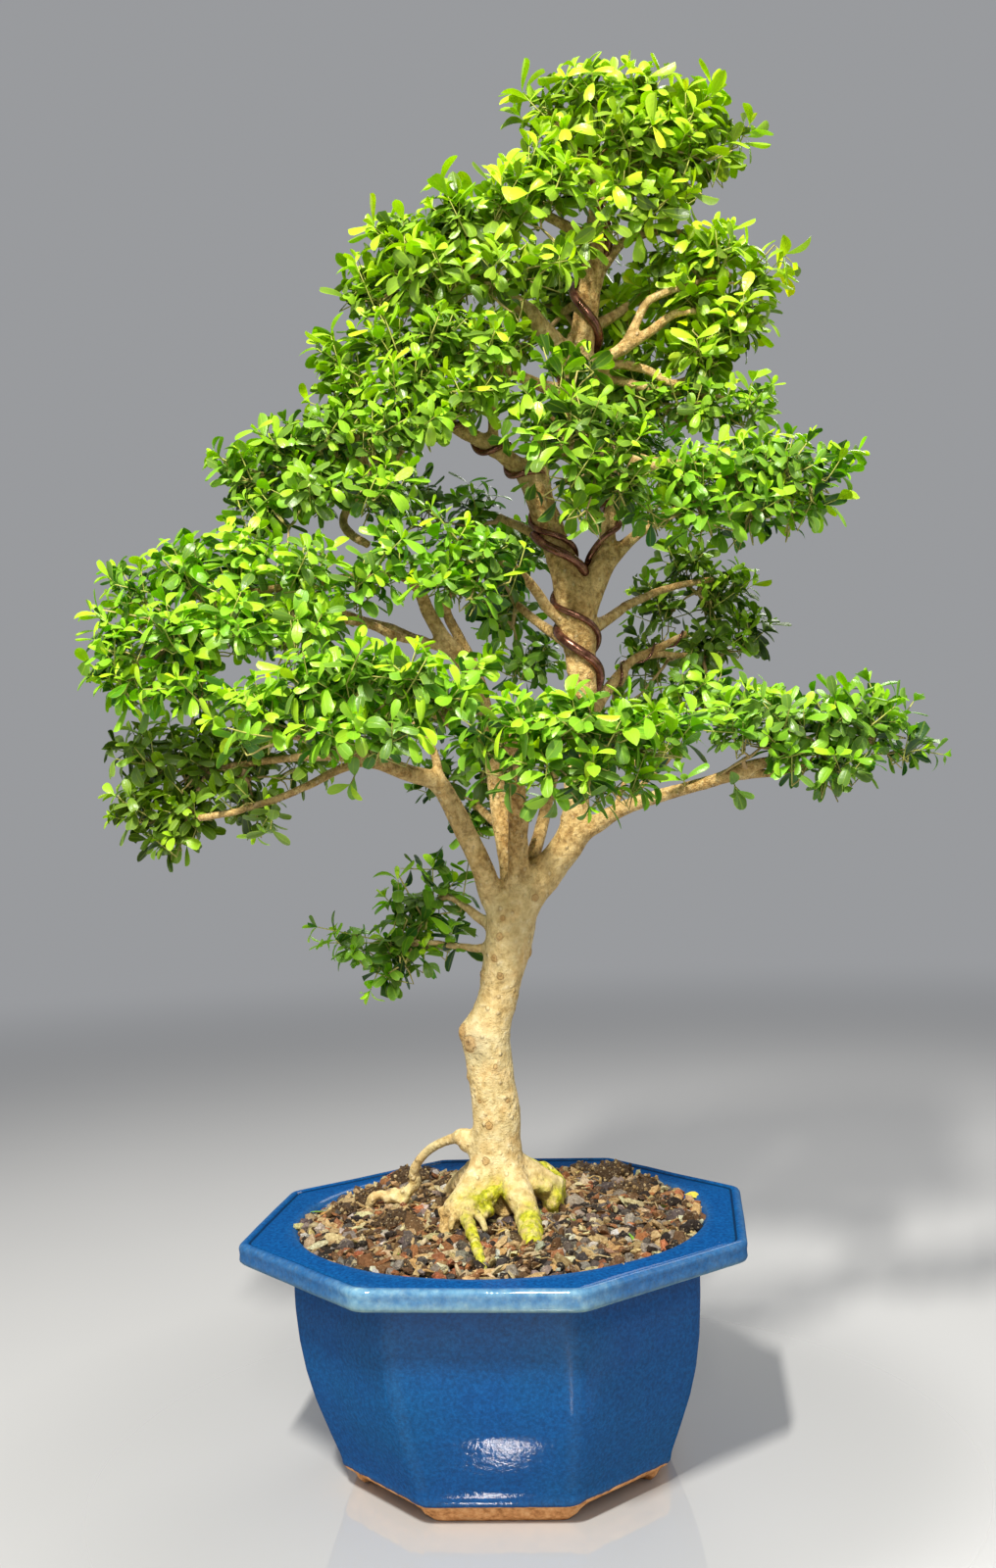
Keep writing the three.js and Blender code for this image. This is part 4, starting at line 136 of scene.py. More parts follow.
# Foliage: each pad is a list of clumps [x, y, z, half width, half depth, half height].
FOLIAGE = {
    'foliage_apex': [[43.5, -8, 723.7, 20.9, 26, 15.7], [71.4, -6, 730.1, 25.1, 32, 15.7], [103.2, -5, 726.2, 24.1, 32, 15.7], [130.6, -5, 719.9, 21, 28, 15.7], [145.9, -4, 699.9, 12.6, 20, 15.7], [91.1, -10, 701.8, 32.3, 38, 16.7], [124.1, 2, 695.4, 23.3, 30, 16.9], [56.5, -14, 701.1, 20.7, 28, 14.5]],
    'foliage_upper_left': [[55, -22, 673.8, 21.5, 32, 17.4], [25.9, -26, 662.7, 23.5, 34, 21.4], [-4.3, -24, 654.3, 23.5, 36, 20.5], [-34.5, -18, 645.8, 21.6, 32, 20.6], [-56.5, -12, 626.7, 16.6, 26, 17.7], [-16.9, -26, 622.7, 29.6, 36, 18.4], [24.2, -38, 625.4, 27.1, 28, 20.1], [50.4, -40, 623.7, 12, 16, 16], [40.2, -16, 687.6, 18.6, 24, 11.4]],
    'foliage_upper_left_low': [[-71.1, -12, 587.7, 18.7, 28, 17.7], [-43.1, -20, 594.6, 23.6, 34, 17.5], [-11.8, -28, 593.3, 24.4, 34, 17.3], [17.5, -34, 585.1, 23.2, 28, 17.2], [-29.2, -30, 566.5, 28.4, 34, 17.2], [6.4, -36, 560.3, 23.2, 28, 17.1], [-66.4, -14, 568.5, 22.8, 28, 14.5], [-24.6, -34, 548.3, 23.2, 28, 12.1]],
    'foliage_centre_upper': [[30, -52, 552.7, 16.8, 22, 13.8], [52.3, -60, 540.6, 20.5, 26, 15.6], [78, -60, 531.7, 20.5, 26, 15.6], [58.5, -62, 515.2, 23.3, 26, 15.6], [33.9, -56, 531.5, 14.7, 22, 13.7], [81, -54, 508.3, 21.6, 26, 13.8], [53.3, -54, 496.5, 16.7, 22, 10.8]],
    'foliage_right_upper': [[116.5, 2, 644.3, 18, 24, 14.8], [141.5, -2, 641.8, 22.1, 28, 18.9], [163.8, 0, 631, 14.8, 22, 16.9], [121.6, 8, 619.3, 19.2, 30, 18.1], [149.2, 0, 604.7, 22.1, 30, 22.1], [128.7, 10, 589.9, 24.6, 30, 17.1], [101.8, 18, 634.6, 15.1, 20, 15.1]],
    'foliage_right_middle': [[158, 0, 561.4, 15.8, 24, 17.9], [133.5, 4, 559.7, 24.4, 30, 17], [105.3, 16, 568.1, 22.6, 28, 15.1], [86.7, 26, 581.1, 17.4, 24, 15.3]],
    'foliage_right_long': [[192.6, -6, 520.6, 16.7, 22, 17.8], [170.2, -10, 523.7, 22.9, 28, 22.9], [140.8, -18, 520.8, 24.7, 30, 20.6], [112.7, -24, 516.2, 23.5, 30, 19.4], [155.2, -14, 499.7, 23.8, 28, 16.6], [120.2, -20, 496.1, 24.7, 28, 14.4], [183.8, -4, 505.5, 18.9, 24, 14.7], [87.2, -24, 498.6, 16.4, 22, 11.2]],
    'foliage_left_second': [[-126.4, -12, 529.3, 17.7, 24, 19.7], [-98.9, -20, 539.4, 23.6, 30, 19.5], [-68.5, -28, 543.9, 23.4, 30, 18.3], [-40.1, -34, 542.2, 23.2, 30, 21.2], [-43.4, -38, 513.8, 23.1, 28, 17.1], [-81.2, -30, 514.1, 25.4, 30, 18.3], [-113.8, -18, 506.6, 23.7, 28, 16.5]],
    'foliage_left_third': [[-182.4, -22, 467.1, 21.5, 26, 19.5], [-151, -28, 477.7, 24.4, 30, 18.3], [-117.4, -34, 480.4, 25.2, 30, 20.2], [-83.6, -40, 470.5, 26, 30, 20], [-53.5, -44, 463.6, 20.9, 26, 16.9], [-187.5, -26, 438.5, 20.4, 26, 20.4], [-154.4, -38, 439.2, 27.1, 32, 23.1], [-118.2, -44, 441.1, 26.9, 32, 21.9], [-83.9, -46, 443.4, 23.8, 30, 16.9], [-183.7, -28, 415.1, 19.3, 24, 15.3], [-150, -40, 410.2, 22, 26, 16]],
    'foliage_centre_small': [[-15.5, -52, 483.1, 17.7, 22, 14.8], [7.9, -56, 474, 17.6, 22, 13.7], [-18.2, -52, 463.4, 18.7, 22, 13.8], [3.3, -54, 456.7, 15.7, 20, 10.8], [23.7, -48, 469.9, 7.9, 12, 7.9]],
    'foliage_left_front': [[-111.7, -76, 397.4, 22.9, 30, 21], [-83.4, -86, 408.2, 23.5, 32, 20.7], [-55.4, -92, 412.6, 22.4, 32, 19.6], [-29.8, -94, 407.6, 21.4, 30, 18.6], [-72.8, -88, 384.1, 25.3, 30, 15.9], [-39.9, -96, 384.6, 21.3, 30, 16.7], [-13, -92, 399.7, 16.8, 26, 16.8]],
    'foliage_centre_front': [[-4.3, -98, 380.7, 15.7, 24, 17.6], [17, -104, 384.1, 18.3, 28, 20.2], [44.5, -104, 384.4, 20.2, 30, 19.2], [70, -96, 380.2, 20.4, 28, 17.6], [50.7, -106, 359.7, 19.2, 26, 15.5], [23.9, -106, 364, 14.6, 22, 14.6], [96, -82, 379.1, 19.9, 28, 15.1]],
    'foliage_right_low': [[125.3, -52, 381.8, 18.7, 28, 16.8], [151, -50, 382.4, 21.7, 30, 20.7], [178.8, -46, 383.1, 21.9, 30, 20.9], [205.5, -40, 383.5, 19, 26, 20], [224.7, -34, 368.9, 12.1, 18, 13.1], [183.3, -48, 361.4, 22.8, 26, 11.9], [151.9, -52, 367.4, 17.7, 26, 12.8]],
    'foliage_right_low_back': [[122.2, 20, 407.4, 21.6, 28, 16.2], [147.5, 12, 397.6, 22.5, 28, 15], [99.4, 50, 391.3, 24.7, 30, 17.9], [74.6, 78, 388.4, 26.6, 30, 18.5], [43.7, 86, 390.1, 21, 26, 17.5]],
    'foliage_right_back': [[123.2, 62, 486.8, 21.6, 26, 17.1], [146.8, 64, 467.9, 23.9, 28, 19.4], [159.4, 64, 441.5, 19.4, 24, 18.2], [134.1, 66, 434.1, 25.1, 28, 18.3], [104.3, 80, 465, 20.9, 28, 22.1], [97.5, 84, 433, 19.8, 26, 18.7]],
    'foliage_left_low_back': [[-183.3, 14, 382.4, 25.8, 32, 21.5], [-153.5, 20, 381.5, 26, 32, 21.6], [-124.6, 22, 382, 22.8, 30, 20.6], [-190.9, 10, 353.7, 20.3, 26, 19.2], [-163, 14, 350.5, 23.6, 28, 18.2], [-181.4, 10, 334.1, 16, 20, 10.7], [-127.4, 20, 355, 21.6, 26, 14.1], [-93.1, 10, 374.9, 18.2, 26, 16]],
    'foliage_low_sprig': [[-22.6, 20, 300.5, 16.2, 18, 14.1], [-38.1, 17, 286.8, 19.4, 20, 16.2], [-56.1, 13, 273.4, 16.1, 17, 11.8], [-82.2, 8, 277, 12.8, 12, 8], [-57.7, 11, 257.7, 11.8, 13, 9.6], [-20.2, 17, 278, 11.9, 16, 14]],
    'foliage_back_centre': [[-32.8, 74, 531.8, 21.9, 26, 19.6], [-0.1, 80, 526, 23.2, 28, 19.7], [28.3, 88, 500, 22.3, 28, 23.4], [16.9, 94, 465.8, 24.8, 30, 23.6], [35, 88, 433.6, 24.6, 28, 19.9], [-8.1, 84, 500.6, 22.2, 26, 19.8]],
    'foliage_back_low': [[-25.7, 62, 364.6, 21.6, 26, 17.1], [-7.5, 66, 337.7, 16, 24, 20.6], [16.2, 78, 353, 18.5, 26, 23.2], [4.4, 80, 376.7, 23.2, 28, 17.4]],
    'foliage_back_upper': [[49.6, 62, 644.2, 28.4, 34, 22.7], [79.5, 72, 626.2, 27.6, 34, 24.2], [17, 62, 619.4, 26.2, 30, 21.6], [72.4, 48, 664, 22.4, 28, 20.1], [94.5, 74, 591.2, 26.5, 32, 20.8]],
    'foliage_back_middle': [[65.3, 84, 574.5, 28, 32, 22.2], [98.3, 70, 554.9, 29.8, 34, 23], [75.7, 88, 533.7, 25.8, 30, 21.1], [118.2, 56, 521.9, 24.8, 28, 18.1]],
    'foliage_back_left': [[-104.8, 55, 476.3, 25.9, 32, 19.2], [-127.4, 50, 456.1, 24.7, 30, 19.1], [-89.4, 62, 456.2, 22.7, 30, 14.8], [-144.7, 40, 469.9, 22.2, 28, 17.7]],
    'foliage_back_left_low': [[-86.9, 80, 421.2, 26.7, 32, 19.7], [-52.9, 88, 411.7, 27, 32, 19.9], [-114.8, 70, 414.4, 25.3, 28, 18.4], [-29.8, 92, 405.2, 21.2, 28, 17.7]],
    'foliage_left_second_back': [[-99.8, 36, 545.4, 24.3, 28, 17.6], [-72.2, 40, 553.7, 22.2, 28, 17.7], [-49.7, 46, 541.4, 19, 26, 15.6], [-121.9, 26, 531.7, 19.6, 26, 16.3]],
    'foliage_upper_left_back': [[-17.8, 34, 654.5, 27.5, 30, 20.9], [16.2, 34, 673.5, 24.2, 28, 18.7], [-44.6, 28, 639.9, 20.7, 28, 18.6], [33.2, 26, 684.6, 19.6, 26, 17.4]],
    'foliage_right_upper_back': [[140.4, 46, 645.3, 20.1, 26, 17.9], [154.6, 50, 618.8, 20.2, 26, 20.2], [131.1, 56, 620.6, 20.3, 26, 16.9]],
    'foliage_right_long_back': [[151.1, 30, 529.8, 24.1, 28, 17.5], [179.4, 26, 525.6, 19.6, 24, 17.4], [127.8, 34, 527.2, 19.8, 24, 15.4]],
}
# Knots and scars of the bark: [x, y, z, radius, height, and the way it faces, x and y].
KNOTS = [[5.2, -11.4, 276.11, 3, 0.9, -0.42, -0.91], [1.73, -10.09, 264.65, 2.7, 0.8, -0.53, -0.85], [4.51, -11.06, 255.15, 2.6, 0.8, -0.1, -1], [-4.45, -12.06, 176.88, 2.9, 0.9, -0.31, -0.95], [-6.89, -12.37, 158.37, 2.9, 1, -0.43, -0.9], [20.17, -2.39, 266.58, 3.4, 1.6, 0.98, -0.2], [-5.17, -2.22, 255.87, 2.2, 1.4, -0.98, -0.2], [-14.68, -2.42, 201.53, 2, 1.3, -0.98, -0.2], [-15.83, -2.49, 225.12, 6.5, 2.6, -0.98, -0.2], [-13.24, -8.83, 219.9, 6, 1.2, -0.72, -0.69], [12.03, -3.2, 301.26, 2.8, 0.8, -0.98, -0.2], [24.61, -10.84, 296.17, 3, 0.9, 0.53, -0.85], [7.33, -11.48, 285.83, 2.2, 0.7, -0.44, -0.9], [11.25, -2.2, 236.48, 1.9, 0.7, 0.98, -0.2], [-0.02, -11.78, 207.83, 2, 0.6, 0.27, -0.96], [5.55, -10.18, 189.45, 2, 0.6, 0.57, -0.82], [-8.68, -10, 189.45, 1.8, 0.6, -0.59, -0.81], [59.57, 0.72, 413.11, 3, 1.2, 0.48, -0.88], [50.33, 2.81, 408.8, 2.4, 1, -0.81, -0.58], [61.52, 1.97, 433.05, 2.6, 1.2, 0.73, -0.69], [47.46, 3.85, 390.05, 2.5, 1, -0.98, -0.2], [46.22, 0.87, 462.74, 2.4, 1, -0.54, -0.84], [56.65, 0.45, 457.32, 2.4, 0.9, 0.53, -0.85], [42.55, 0.91, 506, 2, 0.9, 0.56, -0.83], [33.33, 5.95, 500.71, 2, 0.9, -0.97, -0.23], [56.79, 4.3, 599.03, 2.6, 1.2, -0.98, -0.2], [66.35, 1.59, 588.67, 2.4, 1, 0.69, -0.72], [-6.83, 3.85, 244.62, 2.32, 0.67, -0.93, 0.36], [65.04, 1.97, 583.06, 2.17, 0.53, 0.67, -0.74], [60.59, 14.47, 585.34, 2.51, 0.64, -0.01, 1], [55.01, 14.12, 408.96, 2.86, 1.01, -0.16, 0.99], [55.67, -0.38, 428.46, 2.55, 0.54, 0.04, -1], [56.96, 0.92, 354.32, 2.83, 0.54, 0.99, -0.13], [13.22, 6.78, 300.1, 1.92, 1.04, -0.73, 0.68], [-2.41, 12.33, 214.99, 2.59, 0.5, 0.12, 0.99], [55.6, -2.26, 377.87, 1.88, 0.69, 0.39, -0.92], [33.34, 7.38, 540.72, 2.23, 0.98, -0.95, -0.32], [46.88, 4.59, 500.61, 2.72, 0.8, 0.91, -0.42], [59.62, 4.58, 376.5, 1.62, 1.06, 1, 0.09], [48.38, 13.17, 569.14, 2.12, 1.07, -0.83, 0.56], [52.24, 15.46, 425.25, 2.38, 0.64, -0.39, 0.92], [32.71, 2.23, 506.74, 1.75, 0.92, -0.77, -0.63], [46.31, -7.24, 318.92, 2.72, 0.62, 0.7, -0.71], [47.19, 10.51, 429.35, 2.13, 0.93, -0.95, 0.3], [43.34, 7.16, 328.91, 2.99, 0.93, -0.36, 0.93], [11.73, 6.2, 242.92, 2.6, 1.01, 0.82, 0.57], [52.78, 0.25, 424.42, 2.27, 1.08, -0.33, -0.94], [55.66, 1.09, 462.91, 1.6, 0.75, 0.58, -0.82], [38.16, 6.97, 320.63, 2.89, 0.7, -0.4, 0.92], [11.37, 5.08, 163.05, 2.75, 0.59, 0.92, 0.38], [59.09, 14.97, 422.65, 2.8, 1, 0.45, 0.9], [40.26, 3.3, 545.02, 1.96, 0.8, -0.17, -0.99], [54.57, 7.23, 355.4, 2.81, 0.67, 0.62, 0.79], [58.17, 13.19, 403.4, 1.6, 0.62, 0.35, 0.94], [49.06, 16.2, 451.68, 2.85, 0.79, -0.44, 0.9], [49.14, 2.63, 399.92, 2.8, 0.7, -0.87, -0.5], [41.2, -0.29, 337.09, 2.3, 0.91, -1, -0.08], [15.72, 12.48, 292.21, 1.65, 0.59, 0.04, 1], [43.92, 8.35, 510.45, 1.67, 0.63, 0.96, 0.29], [43.3, 5.89, 334.01, 2.09, 0.72, -0.66, 0.75], [48.81, 4.23, 417.3, 2.7, 1.06, -0.91, -0.42], [46.41, 5.59, 436.08, 2.08, 0.99, -0.96, -0.27], [34.4, 12.3, 502.8, 2.31, 0.94, -0.72, 0.69], [57.43, 0.01, 363.59, 2.29, 0.53, 0.91, -0.4], [59.84, -0.21, 587.87, 2.27, 1, -0.19, -0.98], [60.91, -0.71, 597.93, 2.29, 0.86, -0.35, -0.94], [50.29, -5.22, 350.98, 2.46, 0.65, 0.05, -1], [44.46, -1.2, 355.66, 1.87, 1.09, -0.88, -0.47]]
# Single shoots that stand out of the pads: (pad, base, tip).
SPRIGS = [('foliage_left_front', [-62.6, -50, 367.7], [-66.2, -58, 358.7]), ('foliage_left_front', [-59.7, -50, 365.6], [-51.7, -56, 357.2]), ('foliage_left_front', [-50.3, -44, 365.4], [-44.2, -50, 358]), ('foliage_left_low_back', [-102.1, -57, 353.4], [-113.6, -60, 335.3]), ('foliage_left_low_back', [-104.6, -57, 353], [-105.8, -66, 337.9]), ('foliage_left_low_back', [-113.3, -58, 349.9], [-123, -62, 360.9]), ('foliage_left_low_back', [-124.2, -58, 347.4], [-132.3, -60, 355.5]), ('foliage_right_low', [126.8, -36, 355], [128.7, -44, 348.2]), ('foliage_right_low', [104.9, -28, 350], [102.4, -34, 357.6]), ('foliage_low_sprig', [-53.4, 12, 273.4], [-92.6, 4, 284.1]), ('foliage_low_sprig', [-55.5, 12, 273.5], [-90.2, 8, 275.2]), ('foliage_low_sprig', [-57.9, 12, 266.6], [-66.1, 12, 248.3]), ('foliage_low_sprig', [-15.4, 12, 288.9], [-10.1, 14, 315.3]), ('foliage_centre_front', [44.2, -104, 353.2], [48.2, -106, 342.9]), ('foliage_centre_front', [30.4, -104, 353.7], [32.7, -108, 346.2]), ('foliage_right_low', [222.7, -30, 366.1], [238.9, -30, 362.4]), ('foliage_right_low', [213.4, -38, 378.2], [222.5, -38, 390]), ('foliage_left_third', [-200.1, -28, 426], [-209.7, -28, 427.4]), ('foliage_left_third', [-197.9, -24, 446.8], [-208, -24, 451.3]), ('foliage_right_long', [200.3, -6, 528.8], [207.7, -6, 527.5]), ('foliage_right_upper', [169.3, -2, 643.5], [178, -4, 632.7]), ('foliage_apex', [151.1, -4, 697], [158, -4, 708.6]), ('foliage_apex', [145.2, -4, 708], [156.2, -6, 701.3])]


# ---- small tools ------------------------------------------------------------------
def unit(v):
    return v / np.maximum(np.linalg.norm(v, axis=-1, keepdims=True), 1e-9)


def smooth01(x, lo, hi):
    t = np.clip((x - lo) / (hi - lo), 0, 1)
    return t * t * (3 - 2 * t)


def lattice(i, seed):
    h = i[:, 0] * 73856093 ^ i[:, 1] * 19349663 ^ i[:, 2] * 83492791 ^ (seed * 2654435761)
    h = ((h ^ (h >> 13)) * 1274126177) & 0xFFFFFFFF
    h = ((h ^ (h >> 15)) * 2246822519) & 0xFFFFFFFF
    return ((h ^ (h >> 16)) & 0xFFFF) / 65535.0


def noise3(p, scale, seed):
    """Smooth noise from -1 to 1 with cells of scale millimetres."""
    q = np.asarray(p, float) / scale
    i = np.floor(q).astype(np.int64)
    f = q - i
    f = f * f * (3 - 2 * f)
    out = np.zeros(len(q))
    for dx in (0, 1):
        for dy in (0, 1):
            for dz in (0, 1):
                w = (
                    (f[:, 0] if dx else 1 - f[:, 0])
                    * (f[:, 1] if dy else 1 - f[:, 1])
                    * (f[:, 2] if dz else 1 - f[:, 2])
                )
                out += w * lattice(i + np.array([dx, dy, dz]), seed)
    return 2 * out - 1


def srgb(r, g, b):
    c = np.array([r, g, b], float) / 255.0
    return np.where(c <= 0.04045, c / 12.92, ((c + 0.055) / 1.055) ** 2.4)


def lin(r, g, b):
    return (*srgb(r, g, b).tolist(), 1.0)


def make_mesh(name, verts, polys, mats, mat_index=None, smooth=True, floats=None, colors=None, uv=None):
    """A mesh object from arrays, in millimetres from the pot's axis. polys is a list of (n, k) index arrays."""
    me = bpy.data.meshes.new(name)
    co = (np.asarray(verts, float) + PLACE) * MM
    me.vertices.add(len(co))
    me.vertices.foreach_set("co", co.astype(np.float32).ravel())
    polys = [p for p in polys if len(p)]
    loops = np.concatenate([p.ravel() for p in polys]).astype(np.int32)
    totals = np.concatenate([np.full(len(p), p.shape[1]) for p in polys])
    starts = np.concatenate([[0], np.cumsum(totals)[:-1]]).astype(np.int32)
    me.loops.add(len(loops))
    me.loops.foreach_set("vertex_index", loops)
    me.polygons.add(len(totals))
    me.polygons.foreach_set("loop_start", starts)
    flags = np.full(len(totals), smooth) if isinstance(smooth, bool) else np.asarray(smooth)
    me.polygons.foreach_set("use_smooth", flags)
    for m in mats:
        me.materials.append(m)
    if mat_index is not None:
        me.polygons.foreach_set("material_index", np.asarray(mat_index, np.int32))
    me.update(calc_edges=True)
    for k, v in (floats or {}).items():
        me.attributes.new(k, "FLOAT", "POINT").data.foreach_set("value", np.asarray(v, np.float32))
    for k, v in (colors or {}).items():
        rgba = np.ones((len(v), 4), np.float32)
        rgba[:, :3] = v
        me.attributes.new(k, "FLOAT_COLOR", "POINT").data.foreach_set("color", rgba.ravel())
    if uv is not None:
        layer = me.uv_layers.new(name="blade")
        layer.data.foreach_set("uv", np.asarray(uv, np.float32)[loops].ravel())
    ob = bpy.data.objects.new(name, me)
    bpy.context.scene.collection.objects.link(ob)
    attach(ob, "root")
    return ob


def crom(points, step=2.0):
    """Samples of a centripetal Catmull-Rom curve through [x, y, z, r] points, about step apart."""
    p = np.asarray(points, float)
    first = p[0] * 2 - p[1]
    last = p[-1] * 2 - p[-2]
    first[3], last[3] = p[0][3], p[-1][3]
    q = np.vstack([first, p, last])
    out = []
    for i in range(len(p) - 1):
        a, b, c, d = q[i : i + 4]
        k = lambda u, v: max(1e-4, np.linalg.norm(v[:3] - u[:3]) ** 0.5)
        t0, t1 = 0.0, k(a, b)
        t2 = t1 + k(b, c)
        t3 = t2 + k(c, d)
        n = max(1, int(math.ceil(np.linalg.norm(c[:3] - b[:3]) / step)))
        t = np.linspace(t1, t2, n, endpoint=False)[:, None]
        a1 = (t1 - t) / (t1 - t0) * a + (t - t0) / (t1 - t0) * b
        a2 = (t2 - t) / (t2 - t1) * b + (t - t1) / (t2 - t1) * c
        a3 = (t3 - t) / (t3 - t2) * c + (t - t2) / (t3 - t2) * d
        b1 = (t2 - t) / (t2 - t0) * a1 + (t - t0) / (t2 - t0) * a2
        b2 = (t3 - t) / (t3 - t1) * a2 + (t - t1) / (t3 - t1) * a3
        cc = (t2 - t) / (t2 - t1) * b1 + (t - t1) / (t2 - t1) * b2
        f = (t - t1) / (t2 - t1)
        cc[:, 3] = ((1 - f) * b[3] + f * c[3])[:, 0]
        out.append(cc)
    out.append(p[-1:])
    return np.vstack(out)


def frames_along(c):
    """Tangents and a slowly turning pair of normals for paths c, shaped (n, k, 3)."""
    t = np.gradient(c, axis=1)
    t = unit(t)
    ref = np.where(np.abs(t[:, :1, 2:3]) < 0.8, np.array([0.0, 0.0, 1.0]), np.array([1.0, 0.0, 0.0]))
    u = np.zeros_like(c)
    u[:, 0] = unit(np.cross(t[:, 0], ref[:, 0]))
    for k in range(1, c.shape[1]):
        v = u[:, k - 1] - np.sum(u[:, k - 1] * t[:, k], -1, keepdims=True) * t[:, k]
        u[:, k] = unit(v)
    return t, u, np.cross(t, u)


def tubes(c, r, sides, phase=0.0, point_end=True):
    """Tubes along paths c (n, k, 3) with radii r (n, k). Returns vertices and quad and triangle arrays."""
    n, k, _ = c.shape
    t, u, v = frames_along(c)
    a = np.linspace(0, 2 * np.pi, sides, endpoint=False) + phase
    ring = c[:, :, None] + r[:, :, None, None] * (np.cos(a)[:, None] * u[:, :, None] + np.sin(a)[:, None] * v[:, :, None])
    verts = ring.reshape(n, k * sides, 3)
    tip = c[:, -1] + t[:, -1] * r[:, -1:] * (0.7 if point_end else 0.25)
    start = c[:, 0] - t[:, 0] * r[:, :1] * 0.3
    verts = np.concatenate([verts, tip[:, None], start[:, None]], 1)
    per = k * sides + 2
    j = np.arange(sides)
    q = []
    for i in range(k - 1):
        q.append(np.stack([i * sides + j, i * sides + (j + 1) % sides, (i + 1) * sides + (j + 1) % sides, (i + 1) * sides + j], 1))
    q = np.concatenate(q)
    top = np.stack([(k - 1) * sides + j, (k - 1) * sides + (j + 1) % sides, np.full(sides, k * sides)], 1)
    bot = np.stack([(j + 1) % sides, j, np.full(sides, k * sides + 1)], 1)
    tri = np.concatenate([top, bot])
    base = (np.arange(n) * per)[:, None, None]
    return verts.reshape(-1, 3), (q[None] + base).reshape(-1, 4), (tri[None] + base).reshape(-1, 3)


def bezier(a, b, c, n):
    """Quadratic curves from a over b to c, arrays (m, 3), as (m, n, 3)."""
    t = np.linspace(0, 1, n)[None, :, None]
    return (1 - t) ** 2 * a[:, None] + 2 * t * (1 - t) * b[:, None] + t * t * c[:, None]


# ---- materials --------------------------------------------------------------------
class Nodes:
    """Short words for building a material's nodes."""

    def __init__(self, name):
        self.mat = bpy.data.materials.new(name)
        self.mat.use_nodes = True
        self.tree = self.mat.node_tree
        self.tree.nodes.clear()
        self.out = self.tree.nodes.new("ShaderNodeOutputMaterial")

    def node(self, kind, **sets):
        n = self.tree.nodes.new(kind)
        for k, v in sets.items():
            setattr(n, k, v)
        return n

    def link(self, a, b):
        self.tree.links.new(a, b)

    def put(self, socket, value):
        if isinstance(value, bpy.types.NodeSocket):
            self.link(value, socket)
        else:
            socket.default_value = value

    def attr(self, name):
        return self.node("ShaderNodeAttribute", attribute_name=name)

    def place(self):
        return self.node("ShaderNodeTexCoord").outputs["Object"]

    def noise(self, scale, detail=3.0, rough=0.55, vector=None, distortion=0.0):
        n = self.node("ShaderNodeTexNoise")
        n.inputs["Scale"].default_value = scale
        n.inputs["Detail"].default_value = detail
        n.inputs["Roughness"].default_value = rough
        n.inputs["Distortion"].default_value = distortion
        self.link(vector if vector is not None else self.place(), n.inputs["Vector"])
        return n.outputs["Fac"]

    def voronoi(self, scale, feature="F1", vector=None, rand=1.0):
        n = self.node("ShaderNodeTexVoronoi", feature=feature)
        n.inputs["Scale"].default_value = scale
        n.inputs["Randomness"].default_value = rand
        self.link(vector if vector is not None else self.place(), n.inputs["Vector"])
        return n

    def scaled(self, x, y, z, vector=None):
        n = self.node("ShaderNodeVectorMath", operation="MULTIPLY")
        self.link(vector if vector is not None else self.place(), n.inputs[0])
        n.inputs[1].default_value = (x, y, z)
        return n.outputs[0]

    def ramp(self, fac, stops, mode="LINEAR"):
        n = self.node("ShaderNodeValToRGB")
        n.color_ramp.interpolation = mode
        els = n.color_ramp.elements
        while len(els) < len(stops):
            els.new(0.5)
        for e, (pos, col) in zip(els, stops):
            e.position = pos
            e.color = col if hasattr(col, "__len__") else (col, col, col, 1)
        self.put(n.inputs["Fac"], fac)
        return n.outputs["Color"]

    def math(self, op, a, b=0.0, clamp=False):
        n = self.node("ShaderNodeMath", operation=op, use_clamp=clamp)
        self.put(n.inputs[0], a)
        self.put(n.inputs[1], b)
        return n.outputs[0]

    def span(self, v, lo, hi, to_lo=0.0, to_hi=1.0):
        n = self.node("ShaderNodeMapRange")
        self.put(n.inputs["Value"], v)
        n.inputs["From Min"].default_value = lo
        n.inputs["From Max"].default_value = hi
        n.inputs["To Min"].default_value = to_lo
        n.inputs["To Max"].default_value = to_hi
        return n.outputs["Result"]

    def mix(self, fac, a, b, how="MIX"):
        n = self.node("ShaderNodeMix", data_type="RGBA", blend_type=how)
        self.put(n.inputs["Factor"], fac)
        self.put(n.inputs["A"] if False else n.inputs[6], a)
        self.put(n.inputs[7], b)
        return n.outputs[2]

    def bump(self, height, strength, distance, normal=None):
        n = self.node("ShaderNodeBump")
        n.inputs["Strength"].default_value = strength
        n.inputs["Distance"].default_value = distance
        self.link(height, n.inputs["Height"])
        if normal is not None:
            self.link(normal, n.inputs["Normal"])
        return n.outputs["Normal"]

    def shader(self, color, roughness, normal=None, **consts):
        n = self.node("ShaderNodeBsdfPrincipled")
        self.put(n.inputs["Base Color"], color)
        self.put(n.inputs["Roughness"], roughness)
        for k, v in consts.items():
            n.inputs[k.replace("_", " ")].default_value = v
        if normal is not None:
            self.link(normal, n.inputs["Normal"])
        return n

    def done(self, shader):
        self.link(shader.outputs[0], self.out.inputs["Surface"])
        return self.mat


